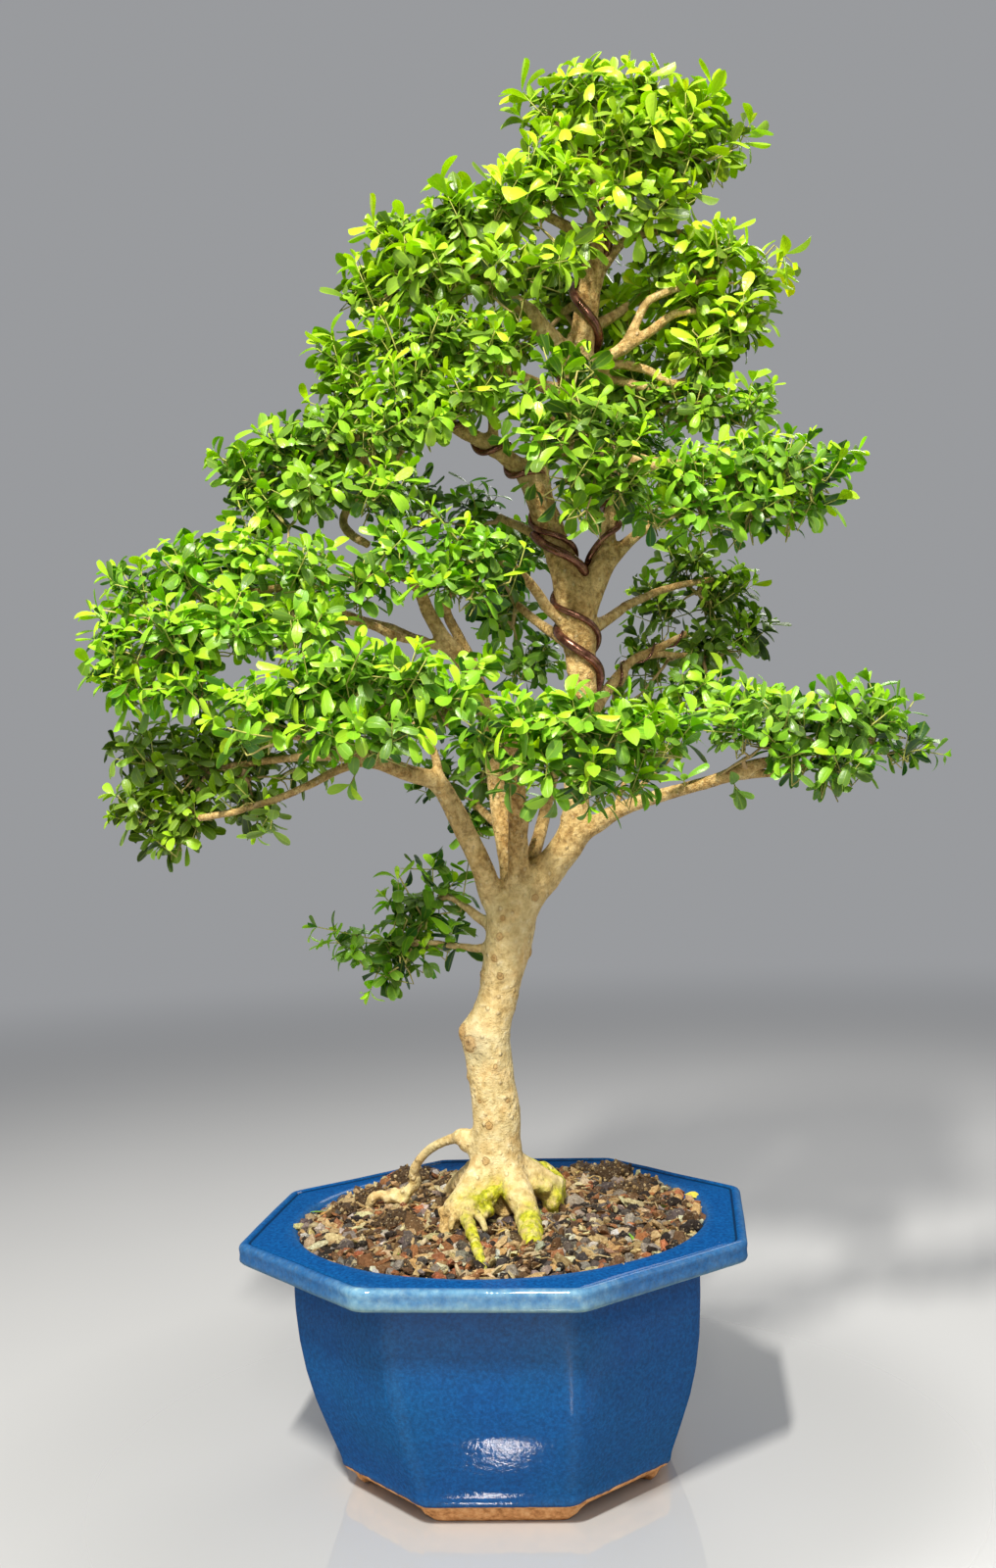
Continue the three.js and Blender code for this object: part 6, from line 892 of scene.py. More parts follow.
    # the pale edge colour is kept mostly on the rim's front face, which faces the lamps: painted highlight on top of
    # the real pale glaze edges
    turn = np.cos(np.arctan2(v[:, 1], v[:, 0]) - POT_TURN + math.pi / 2)
    lamp_facing = smooth01(turn, 0.82, 0.94)
    share = np.where(v[:, 2] > 116.0, 0.24 + 0.76 * lamp_facing, 1.0)
    share = np.maximum(share, (0.7 + 0.3 * lamp_facing) * (1.0 - smooth01(v[:, 2], 117.0, 119.5) * 0.6))
    edge = np.clip(edge.reshape(-1) * share + 0.6 * w, 0, 1)
    q = []
    j = np.arange(n)
    for i in range(m):
        a, b = i, (i + 1) % m
        q.append(np.stack([a * n + j, a * n + (j + 1) % n, b * n + (j + 1) % n, b * n + j], 1))
    quads = np.concatenate(q)
    ob = make_mesh("glazed_pot", v, [quads], [GLAZE], floats={"pale_edge_and_highlight": edge, "glaze_deep": deep.reshape(-1), "bare_clay": clay.reshape(-1)})
    # the two holes in the floor that the anchor wire passes through
    for side in (-1, 1):
        bpy.ops.mesh.primitive_cylinder_add(vertices=20, radius=0.003, depth=0.03, location=(PLACE[0] * MM, side * 0.030, 0.0135))
        tool = bpy.context.object
        cut = ob.modifiers.new("tie_hole", "BOOLEAN")
        cut.operation = "DIFFERENCE"
        cut.solver = "EXACT"
        cut.object = tool
        bpy.context.view_layer.update()
        dg = bpy.context.evaluated_depsgraph_get()
        got = bpy.data.meshes.new_from_object(ob.evaluated_get(dg))
        ob.modifiers.remove(cut)
        if len(got.polygons) > len(ob.data.polygons) // 2:
            old = ob.data
            ob.data = got
            bpy.data.meshes.remove(old)
        bpy.data.objects.remove(tool)
    ob.data.name = "glazed_pot"
    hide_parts("pot")
    return ob


pot = make_pot()


# ---- soil --------------------------------------------------------------------------
def soil_height(x, y):
    r = np.hypot(x, y)
    hill = lambda cx, cy, s, h: h * np.exp(-((x - cx) ** 2 + (y - cy) ** 2) / (s * s))
    return (
        SOIL_EDGE_Z
        + 2.4 * (1 - np.minimum(1, r / 108))
        + hill(-52, 72, 26, 4.6)
        + hill(66, 70, 26, 4.2)
        + hill(-62, 10, 24, 1.8)
        + hill(40, -52, 24, 1.2)
        + 0.7 * np.sin(x * 0.16 + 1) * np.sin(y * 0.14 + 2)
    )


def ico(level):
    import bmesh

    bm = bmesh.new()
    bmesh.ops.create_icosphere(bm, subdivisions=level, radius=1.0)
    v = np.array([p.co[:] for p in bm.verts])
    f = np.array([[x.index for x in p.verts] for p in bm.faces])
    bm.free()
    return v, f


def rotations(rng, n, flat=0.0):
    """Random turns; flat tips them less away from lying level."""
    yaw = rng.uniform(0, 2 * np.pi, n)
    tip = rng.normal(0, 1, n) * (1 - flat) * 1.2 + rng.normal(0, 0.25, n)
    roll = rng.normal(0, 1, n) * (1 - flat) * 1.2 + rng.normal(0, 0.25, n)
    cy, sy, ct, st, cr, sr = np.cos(yaw), np.sin(yaw), np.cos(tip), np.sin(tip), np.cos(roll), np.sin(roll)
    z, o = np.zeros(n), np.ones(n)
    a = np.stack([np.stack([cy, -sy, z], 1), np.stack([sy, cy, z], 1), np.stack([z, z, o], 1)], 1)
    b = np.stack([np.stack([ct, z, st], 1), np.stack([z, o, z], 1), np.stack([-st, z, ct], 1)], 1)
    c = np.stack([np.stack([o, z, z], 1), np.stack([z, cr, -sr], 1), np.stack([z, sr, cr], 1)], 1)
    return a @ b @ c


def make_soil():
    # the bed under the loose grains
    n = 96
    th = np.linspace(0, 2 * np.pi, n, endpoint=False)
    rings = [(12, 19.9), (40, 18.9), (66, 18.7), (77, 28), (85.5, 46), (91.5, 73), (94.5, 105), (96.5, 114), (101.5, 122), (104.6, 124.2)]
    v = [np.stack([r * np.cos(th), r * np.sin(th), np.full(n, z)], 1) for r, z in rings]
    for r in (102, 96, 88, 80, 72, 64, 56, 48, 40, 32, 24, 16, 8):
        x, y = r * np.cos(th), r * np.sin(th)
        v.append(np.stack([x, y, soil_height(x, y) - 2.4 + 0.8 * noise3(np.stack([x, y, x * 0], 1), 6, 3)], 1))
    m = len(v)
    v = np.concatenate(v)
    v = np.vstack([v, [[0, 0, 19.9]], [[0, 0, 125.4]]])
    j = np.arange(n)
    quads = np.concatenate([np.stack([i * n + j, i * n + (j + 1) % n, (i + 1) * n + (j + 1) % n, (i + 1) * n + j], 1) for i in range(m - 1)])
    low = np.stack([(j + 1) % n, j, np.full(n, m * n)], 1)
    top = np.stack([(m - 1) * n + j, (m - 1) * n + (j + 1) % n, np.full(n, m * n + 1)], 1)
    bed = make_mesh("soil_bed", v, [quads, low, top], [SOIL])
    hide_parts("soil")

    # loose grains of bark, pumice and lava
    rng = np.random.default_rng(21)
    kinds = [  # colour, share, size, flatness, elongation
        ((222, 190, 136), 0.19, 2.8, 0.5, 1.5),
        ((244, 224, 176), 0.13, 2.7, 0.42, 1.6),
        ((184, 122, 78), 0.1, 2.6, 0.6, 1.25),
        ((120, 90, 58), 0.15, 2.9, 0.5, 1.4),
        ((166, 158, 146), 0.11, 2.6, 0.8, 1.1),
        ((104, 96, 92), 0.12, 2.8, 0.78, 1.15),
        ((50, 40, 32), 0.13, 2.8, 0.7, 1.2),
        ((238, 236, 222), 0.05, 2.2, 0.8, 1.1),
        ((196, 120, 78), 0.03, 2.5, 0.6, 1.3),
    ]
    pts = []
    cell = {}
    want = 3100
    tries = 0
    while len(pts) < want and tries < 60000:
        tries += 1
        r = 107.2 * math.sqrt(rng.random())
        a = rng.uniform(0, 2 * math.pi)
        x, y = r * math.cos(a), r * math.sin(a)
        gap = 3.0
        key = (int(x // 3), int(y // 3))
        ok = True
        for dx in (-1, 0, 1):
            for dy in (-1, 0, 1):
                for q in cell.get((key[0] + dx, key[1] + dy), ()):
                    if (q[0] - x) ** 2 + (q[1] - y) ** 2 < gap * gap:
                        ok = False
                        break
                if not ok:
                    break
            if not ok:
                break
        if ok:
            pts.append((x, y))
            cell.setdefault(key, []).append((x, y))
    xy = np.array(pts)
    n = len(xy)
    kind = rng.choice(len(kinds), n, p=np.array([k[1] for k in kinds]) / sum(k[1] for k in kinds))
    size = np.array([k[2] for k in kinds])[kind] * np.exp(rng.normal(0, 0.24, n))
    big = rng.random(n) < 0.05
    size = np.where(big, size * 1.55, size)
    flat = np.array([k[3] for k in kinds])[kind] * rng.uniform(0.8, 1.2, n)
    long = np.array([k[4] for k in kinds])[kind] * rng.uniform(0.85, 1.25, n)
    z = soil_height(xy[:, 0], xy[:, 1]) - 1.6 + rng.uniform(-1.5, 2.4, n) + size * 0.12
    rr = np.hypot(xy[:, 0], xy[:, 1])
    z -= 0.9 * smooth01(rr, 98, 107)
    base_v, base_f = ico(1)
    k = len(base_v)
    local = np.repeat(base_v[None], n, 0)
    local = local * (1 + 0.26 * rng.uniform(-1, 1, (n, k, 1)))
    local = np.sign(local) * np.abs(local) ** 0.85
    local[:, :, 0] *= (size * long)[:, None]
    local[:, :, 1] *= (size / np.sqrt(long))[:, None]
    local[:, :, 2] *= (size * flat)[:, None]
    rot = rotations(rng, n, 0.62)
    world = np.einsum("nij,nkj->nki", rot, local) + np.stack([xy[:, 0], xy[:, 1], z], 1)[:, None]
    col = np.array([srgb(*kk[0]) for kk in kinds])[kind]
    col = col * np.exp(rng.normal(0, 0.22, (n, 1))) * (1 + rng.normal(0, 0.05, (n, 3)))
    verts = [world.reshape(-1, 3)]
    cols = [np.repeat(np.clip(col, 0.004, 0.95), k, 0)]
    faces = [(base_f[None] + (np.arange(n) * k)[:, None, None]).reshape(-1, 3)]
    at = n * k
    # crumbly lumps
    lumps = [(-72, 37, 9.5), (-55, -5, 8.5), (-61, -14, 7.5), (-70, -28, 5), (-26, 30, 6), (64, 62, 10), (74, 34, 9), (82, 48, 6.5), (-52, 70, 10), (-84, 22, 6.5), (-30, 62, 7), (30, 74, 7.5), (86, 8, 5.5), (-44, 44, 6), (48, 84, 7), (-10, 88, 6.5)]
    lv, lf = ico(3)
    for i, (x, y, s) in enumerate(lumps):
        w = lv * np.array([1.15, 0.95, 0.62]) * s
        w = w + np.array([x, y, soil_height(x, y) + s * 0.16 - 0.6])
        d = 0.17 * s * noise3(w, s * 0.62, 40 + i) + 1.0 * noise3(w, 2.4, 60 + i)
        w = w + unit(lv) * d[:, None]
        verts.append(w)
        shade = 0.5 + 0.5 * (noise3(w, 2.0, 80 + i) * 0.5 + 0.5)
        cols.append(srgb(104, 80, 50) * shade[:, None])
        faces.append(lf + at)
        at += len(w)
        # fine bits caked on the lump
        few = int(13 * s)
        bv, bf = ico(1)
        pick = rng.integers(0, len(w), few)
        keep = lv[pick][:, 2] > -0.3
        pick = pick[keep]
        few = len(pick)
        bits = bv[None] * rng.uniform(0.5, 1.25, (few, 1, 1)) * rng.uniform(0.6, 1.4, (few, len(bv), 3))
        bits = bits + w[pick][:, None] + rng.normal(0, 0.5, (few, 1, 3))
        verts.append(bits.reshape(-1, 3))
        hue = np.array([srgb(190, 162, 110), srgb(120, 92, 56), srgb(70, 54, 36), srgb(226, 204, 156), srgb(150, 120, 78)])
        cols.append(np.repeat(hue[rng.choice(5, few, p=[0.24, 0.28, 0.2, 0.1, 0.18])], len(bv), 0))
        faces.append((bf[None] + (np.arange(few) * len(bv))[:, None, None]).reshape(-1, 3) + at)
        at += few * len(bv)
    # thin chips and slivers of bark lying on top
    m = 380
    cv, cf = ico(1)
    r = 100 * np.sqrt(rng.random(m))
    a = rng.uniform(0, 2 * np.pi, m)
    x, y = r * np.cos(a), r * np.sin(a)
    sc = np.stack([rng.uniform(3.4, 7.0, m), rng.uniform(1.6, 3.2, m), rng.uniform(0.35, 0.7, m)], 1)
    loc = cv[None] * sc[:, None]
    loc[:, :, 2] += 0.05 * loc[:, :, 0] ** 2 * rng.uniform(-1, 1, (m, 1))
    w = np.einsum("nij,nkj->nki", rotations(rng, m, 0.85), loc) + np.stack([x, y, soil_height(x, y) + 0.9], 1)[:, None]
    verts.append(w.reshape(-1, 3))
    pick = np.array([srgb(206, 164, 108), srgb(236, 206, 150), srgb(170, 116, 70), srgb(104, 74, 46), srgb(226, 184, 120)])[rng.integers(0, 5, m)]
    cols.append(np.repeat(pick * rng.uniform(0.75, 1.15, (m, 1)), len(cv), 0))
    faces.append((cf[None] + (np.arange(m) * len(cv))[:, None, None]).reshape(-1, 3) + at)
    at += m * len(cv)
    # thin rootlets lying over the grains
    m = 34
    r = 98 * np.sqrt(rng.random(m))
    a = rng.uniform(0, 2 * np.pi, m)
    r[:8], a[:8] = rng.uniform(26, 46, 8), rng.uniform(math.pi, 1.9 * math.pi, 8)
    x, y = r * np.cos(a), r * np.sin(a)
    head = rng.uniform(0, 2 * np.pi, m)
    path = np.zeros((m, 9, 3))
    for k in range(9):
        path[:, k] = np.stack([x, y, soil_height(x, y) + 1.5 + rng.uniform(0.0, 1.6, m)], 1)
        head += rng.normal(0, 0.5, m)
        step = rng.uniform(1.6, 4.6, m)
        x, y = x + step * np.cos(head), y + step * np.sin(head)
    path[:, 0, 2] -= 2.5
    path[:, -1, 2] -= 2.5
    rv, rq, rt = tubes(path, np.linspace(0.62, 0.28, 9)[None] * rng.uniform(0.7, 1.3, (m, 1)), 5)
    verts.append(rv)
    cols.append(np.repeat(np.array([srgb(214, 184, 122), srgb(184, 148, 90), srgb(232, 212, 160)])[rng.integers(0, 3, m)], len(rv) // m, 0))
    faces.append(np.concatenate([rq[:, :3], rq[:, [0, 2, 3]], rt]) + at)
    grains = make_mesh("soil_grains", np.concatenate(verts), [np.concatenate(faces)], [GRAIN], smooth=False, colors={"grain_tint": np.concatenate(cols)})


make_soil()


# ---- the tree's wood ---------------------------------------------------------------
THICK = 2.5  # branches thinner than this are plain tubes, thicker wood is one blended surface
# the roots as they spread over the soil: three legs with a hollow between them, and
# smaller lumpy ones
TRUNK_FOOT = [[-1, 9, 89.9, 8], [-1, 8, 108.1, 9], [-1, 7.5, 124.8, 9.5], [-1, 5.8, 135.7, 11.6], [-1.2, 2.6, 144.9, 14.2]]
BRANCHES["trunk"] = TRUNK_FOOT + BRANCHES["trunk"][5:]
BRANCHES["root_front_right"] = [[2.3, -4, 151.1, 9.5], [7.4, -14, 144.6, 8.2], [12.4, -28, 136.4, 6.9], [14.6, -42, 130.2, 6.2], [15, -52, 124.5, 5.4], [15, -62, 116, 4]]
BRANCHES["root_left"] = [[-5.5, -2, 153, 9.5], [-10, -7, 148.5, 9.0], [-15.4, -14, 144.0, 8.0], [-20.6, -21, 139.4, 6.8], [-25, -26, 134.0, 5.8], [-29, -30, 126, 4.6]]
BRANCHES["root_front_left"] = [[-18.1, -29, 139.8, 3.8], [-17.7, -36, 136.2, 3.3], [-15.2, -50, 132.2, 3.0], [-12.3, -68, 128.9, 2.6], [-10, -86, 126.3, 2.1], [-8.2, -97, 121.5, 1.6]]
BRANCHES["root_right"] = [[6.6, 2, 151.1, 9], [14, 3, 147.2, 8.6], [20.6, 3, 143.0, 8.0], [26.2, 3, 138.4, 7.0], [28.5, 3, 130, 5.8], [29, 3, 121, 4.6]]
BRANCHES["root_back_right"] = [[5.7, 8, 151.8, 8.6], [12.6, 10, 149.2, 6.8], [21.1, 13, 145.8, 5.2], [28.0, 15, 143.2, 4.7], [31.6, 15, 138.4, 4.3], [32.6, 14, 130, 3.8], [33, 13, 121, 3.2]]
BRANCHES["root_aerial"] = BRANCHES["root_aerial"][:7] + [[-46.4, 19, 142.6, 2.9], [-49.6, 20, 137.9, 3.1], [-54.4, 20, 134.8, 3.8], [-59.6, 20, 134.0, 3.3], [-64.4, 20, 135.4, 2.3], [-69.0, 20, 134.9, 2.2], [-71.6, 20, 130.5, 2.4], [-73, 20, 124, 2.0]]
BRANCHES["root_finger"] = [[-16, -29, 138.8, 2.8], [-12.4, -33, 136.6, 2.3], [-10.0, -35, 134.0, 1.9], [-8.4, -40, 130.5, 1.5]]
BRANCHES["root_finger_left"] = [[-19.0, -28, 139.4, 3.0], [-22.8, -30.5, 137.2, 2.5], [-25.2, -34, 134.0, 1.9], [-26.4, -37, 129, 1.4]]
BRANCHES["root_finger_back"] = [[-22.0, -24, 141.4, 2.9], [-26.6, -25, 138.0, 2.2], [-30.0, -27.5, 133.2, 1.7], [-31.5, -30, 127, 1.3]]
LUMPS = [  # x, y, z, radius: the knobbly parts of the roots
    (-8.0, -22, 141.6, 4.8), (-3.4, -18.5, 144.0, 3.8), (-12.2, -26, 140.0, 4.2), (-15.0, -29, 139.2, 3.4), (-5.0, -20, 139.6, 3.4), (-10.6, -23.5, 137.6, 3.8),
    (-18.0, -31, 141.2, 3.0), (-21.6, -30, 139.2, 2.8), (-13.2, -31, 137.0, 2.6), (-26.4, -29, 138.8, 2.6), (-16.2, -33.6, 138.8, 2.4), (-23.6, -31.6, 135.6, 2.6), (-9.6, -30, 135.4, 2.8), (-20.6, -33, 136.0, 2.4), (-6.4, -25.6, 136.6, 3.0), (-30.6, -26.4, 136.6, 2.2),
    (1.6, -8, 136.6, 3.8), (4.6, -10, 134.0, 3.2), (-1.6, -12, 133.4, 3.4), (6.6, -8, 137.6, 3.0), (2.2, -13, 131.2, 2.8), (-4.6, -13, 135.6, 3.0),
    (24.5, -4, 141.6, 3.8), (29.6, -3, 136.2, 3.6), (18.5, -5, 143.2, 3.4), (31.2, 4, 141.4, 3.4), (24.0, 14.5, 148.4, 3.0), (17.4, 12, 150.2, 3.0), (33.2, 9, 136.4, 3.0), (27.6, -4, 132.6, 3.2),
    (-51.4, 18.6, 136.6, 3.0), (-56.8, 17.6, 134.2, 3.2), (-57.6, 20.4, 137.0, 2.4), (-53.0, 17.6, 132.8, 3.0), (-47.4, 17.4, 144.2, 2.2), (-61.8, 19.4, 133.0, 2.6), (-47.2, 20.0, 140.2, 3.0), (-70.6, 19.4, 132.6, 2.4),
    (-20.4, 3.6, 168.8, 4.0), (-17.2, 2.2, 165.0, 4.2),
    (13.6, -35, 135.6, 3.4), (17.4, -44, 130.4, 3.0), (11.0, -46, 130.6, 3.0), (16.4, -50, 128.6, 2.8), (-15.4, -44, 135.2, 2.0), (-13.2, -60, 131.2, 1.9),
]
SKELETON = {k: crom(v, 2.0) for k, v in BRANCHES.items()}


def surface_nets(field, origin, pitch):
    """Vertices and quads of the zero surface of a field that is negative inside."""
    s = field
    ins = s < 0
    c = ins[:-1, :-1, :-1].astype(np.int8)
    for d in ((1, 0, 0), (0, 1, 0), (0, 0, 1), (1, 1, 0), (1, 0, 1), (0, 1, 1), (1, 1, 1)):
        c += ins[d[0] : s.shape[0] - 1 + d[0], d[1] : s.shape[1] - 1 + d[1], d[2] : s.shape[2] - 1 + d[2]]
    mixed = (c > 0) & (c < 8)
    cells = np.argwhere(mixed)
    index = np.full(mixed.shape, -1, np.int32)
    index[mixed] = np.arange(len(cells))
    corner = [(0, 0, 0), (1, 0, 0), (0, 1, 0), (1, 1, 0), (0, 0, 1), (1, 0, 1), (0, 1, 1), (1, 1, 1)]
    val = [s[cells[:, 0] + a, cells[:, 1] + b, cells[:, 2] + e] for a, b, e in corner]
    total = np.zeros((len(cells), 3))
    count = np.zeros(len(cells))
    for a in range(8):
        for b in range(a + 1, 8):
            pa, pb = np.array(corner[a]), np.array(corner[b])
            if np.abs(pa - pb).sum() != 1:
                continue
            va, vb = val[a], val[b]
            cross = (va < 0) != (vb < 0)
            t = np.where(cross, va / np.where(cross, va - vb, 1), 0)
            p = pa + t[:, None] * (pb - pa)
            total += np.where(cross[:, None], p, 0)
            count += cross
    verts = origin + pitch * (cells + total / count[:, None])
    quads = []
    for axis in range(3):
        u, v = [(1, 2), (2, 0), (0, 1)][axis]
        lo = [slice(1, -1)] * 3
        hi = [slice(1, -1)] * 3
        lo[axis] = slice(0, -1)
        hi[axis] = slice(1, None)
        a, b = ins[tuple(lo)], ins[tuple(hi)]
        start = np.array([1, 1, 1])
        start[axis] = 0
        for sign, where in ((1, a & ~b), (-1, ~a & b)):
            e = np.argwhere(where) + start
            du, dv = np.zeros(3, int), np.zeros(3, int)
            du[u] = 1
            dv[v] = 1
            ring = [e - du - dv, e - dv, e, e - du]
            q = np.stack([index[r[:, 0], r[:, 1], r[:, 2]] for r in ring], 1)
            quads.append(q if sign > 0 else q[:, ::-1])
    return verts, np.concatenate(quads)


def wood_field(pitch):
    parts = {}
    for k, s in SKELETON.items():
        keep = s[:, 3] >= THICK - 0.15
        if keep.sum() >= 2:
            last = len(keep) - np.argmax(keep[::-1])
            parts[k] = s[:last]
    allp = np.concatenate(list(parts.values()))
    lo = allp[:, :3].min(0) - 18
    hi = allp[:, :3].max(0) + 18
    lo[2] = 96
    n = np.ceil((hi - lo) / pitch).astype(int)
    far = 7.0
    field = np.full(n, far, np.float32)
    order = sorted(parts, key=lambda k: -parts[k][:, 3].max())
    for name in order:
        s = parts[name]
        s = s[s[:, 2] > 88]
        a = np.maximum(0, ((s[:, :3].min(0) - s[:, 3].max() - far - lo) / pitch).astype(int))
        b = np.minimum(n, ((s[:, :3].max(0) + s[:, 3].max() + far - lo) / pitch).astype(int) + 1)
        if (b <= a).any():
            continue
        local = np.full(b - a, far, np.float32)
        for p, q in zip(s[:-1], s[1:]):
            reach = max(p[3], q[3]) + far
            c = np.maximum(a, ((np.minimum(p[:3], q[:3]) - reach - lo) / pitch).astype(int))
            d = np.minimum(b, ((np.maximum(p[:3], q[:3]) + reach - lo) / pitch).astype(int) + 1)
            if (d <= c).any():
                continue
            gx, gy, gz = (lo[i] + pitch * np.arange(c[i], d[i]) for i in range(3))
            vx, vy, vz = (gx - p[0])[:, None, None], (gy - p[1])[None, :, None], (gz - p[2])[None, None, :]
            w = q[:3] - p[:3]
            ww = float(w @ w) + 1e-9
            t = np.clip((vx * w[0] + vy * w[1] + vz * w[2]) / ww, 0, 1)
            dist = np.sqrt((vx - t * w[0]) ** 2 + (vy - t * w[1]) ** 2 + (vz - t * w[2]) ** 2) - (p[3] + t * (q[3] - p[3]))
            view = local[c[0] - a[0] : d[0] - a[0], c[1] - a[1] : d[1] - a[1], c[2] - a[2] : d[2] - a[2]]
            np.minimum(view, dist.astype(np.float32), out=view)
        g = field[a[0] : b[0], a[1] : b[1], a[2] : b[2]]
        k = min(6.0, 1.5 + 0.75 * float(s[:6, 3].mean())) if name != "trunk" else 4.0
        if name.startswith("root"):
            k = min(k, 3.6)
        h = np.clip(0.5 + 0.5 * (g - local) / k, 0, 1)
        g[...] = g * (1 - h) + local * h - k * h * (1 - h)
    lumps = [(x, y, z, r, r, 0, 0) for x, y, z, r in LUMPS]
    for x, y, z, r, height, fx, fy in KNOTS + lumps:
        centre = np.array([x, y, z]) - np.array([fx, fy, 0]) * (r - height)
        c = np.maximum(0, ((centre - r - far - lo) / pitch).astype(int))
        d = np.minimum(n, ((centre + r + far - lo) / pitch).astype(int) + 1)
        if (d <= c).any():
            continue
        gx, gy, gz = (lo[i] + pitch * np.arange(c[i], d[i]) for i in range(3))
        dist = np.sqrt((gx - centre[0])[:, None, None] ** 2 + (gy - centre[1])[None, :, None] ** 2 + (gz - centre[2])[None, None, :] ** 2) - r
        g = field[c[0] : d[0], c[1] : d[1], c[2] : d[2]]
        k = 1.6
        h = np.clip(0.5 + 0.5 * (g - dist) / k, 0, 1)
        g[...] = g * (1 - h) + dist * h - k * h * (1 - h)
    field[:, :, 0] = np.maximum(field[:, :, 0], 0.5)
    return field, lo


def vertex_normals(v, quads):
    a, b, c, d = (v[quads[:, i]] for i in range(4))
    fn = np.cross(c - a, d - b)
    out = np.zeros_like(v)
    for i in range(4):
        for k in range(3):
            out[:, k] += np.bincount(quads[:, i], fn[:, k], len(v))
    return unit(out)


def relax(v, quads, rounds, share=0.5):
    edges = np.concatenate([quads[:, [0, 1]], quads[:, [1, 2]], quads[:, [2, 3]], quads[:, [3, 0]]])
    e = np.concatenate([edges, edges[:, ::-1]])
    count = np.bincount(e[:, 0], minlength=len(v)).astype(float)
    for i in range(rounds):
        s = np.stack([np.bincount(e[:, 0], v[e[:, 1], k], len(v)) for k in range(3)], 1) / count[:, None]
        v = v + (s - v) * (share if i % 2 == 0 else -share * 0.94)
    return v


ALGAE = [  # x, y, z, reach, strength
    (-8, -25, 140.5, 9, 1.5), (-3, -20, 142.5, 7, 1.4), (-14, -28, 138.5, 7, 1.0), (-20, -28, 142, 6, 0.5), (-16.4, -43, 135, 8, 0.9), (-14.4, -58, 132, 11, 1.3), (-12.4, -70, 130, 12, 1.5), (-10, -86, 127, 12, 1.5),
    (14.8, -45, 131, 11, 1.5), (15, -55, 126, 10, 1.5), (14, -36, 137, 8, 0.8), (8, -20, 138, 5, 0.6), (17, 13, 152, 7, 1.2), (24, 15, 150, 8, 1.5), (30, 15, 146, 8, 1.5), (34, 11, 138, 9, 1.4), (31, -2, 134, 8, 1.1), (22, -6, 140, 7, 0.6), (27, -3, 131, 7, 1.0),
    (-50, 17, 136, 6, 0.3),
]


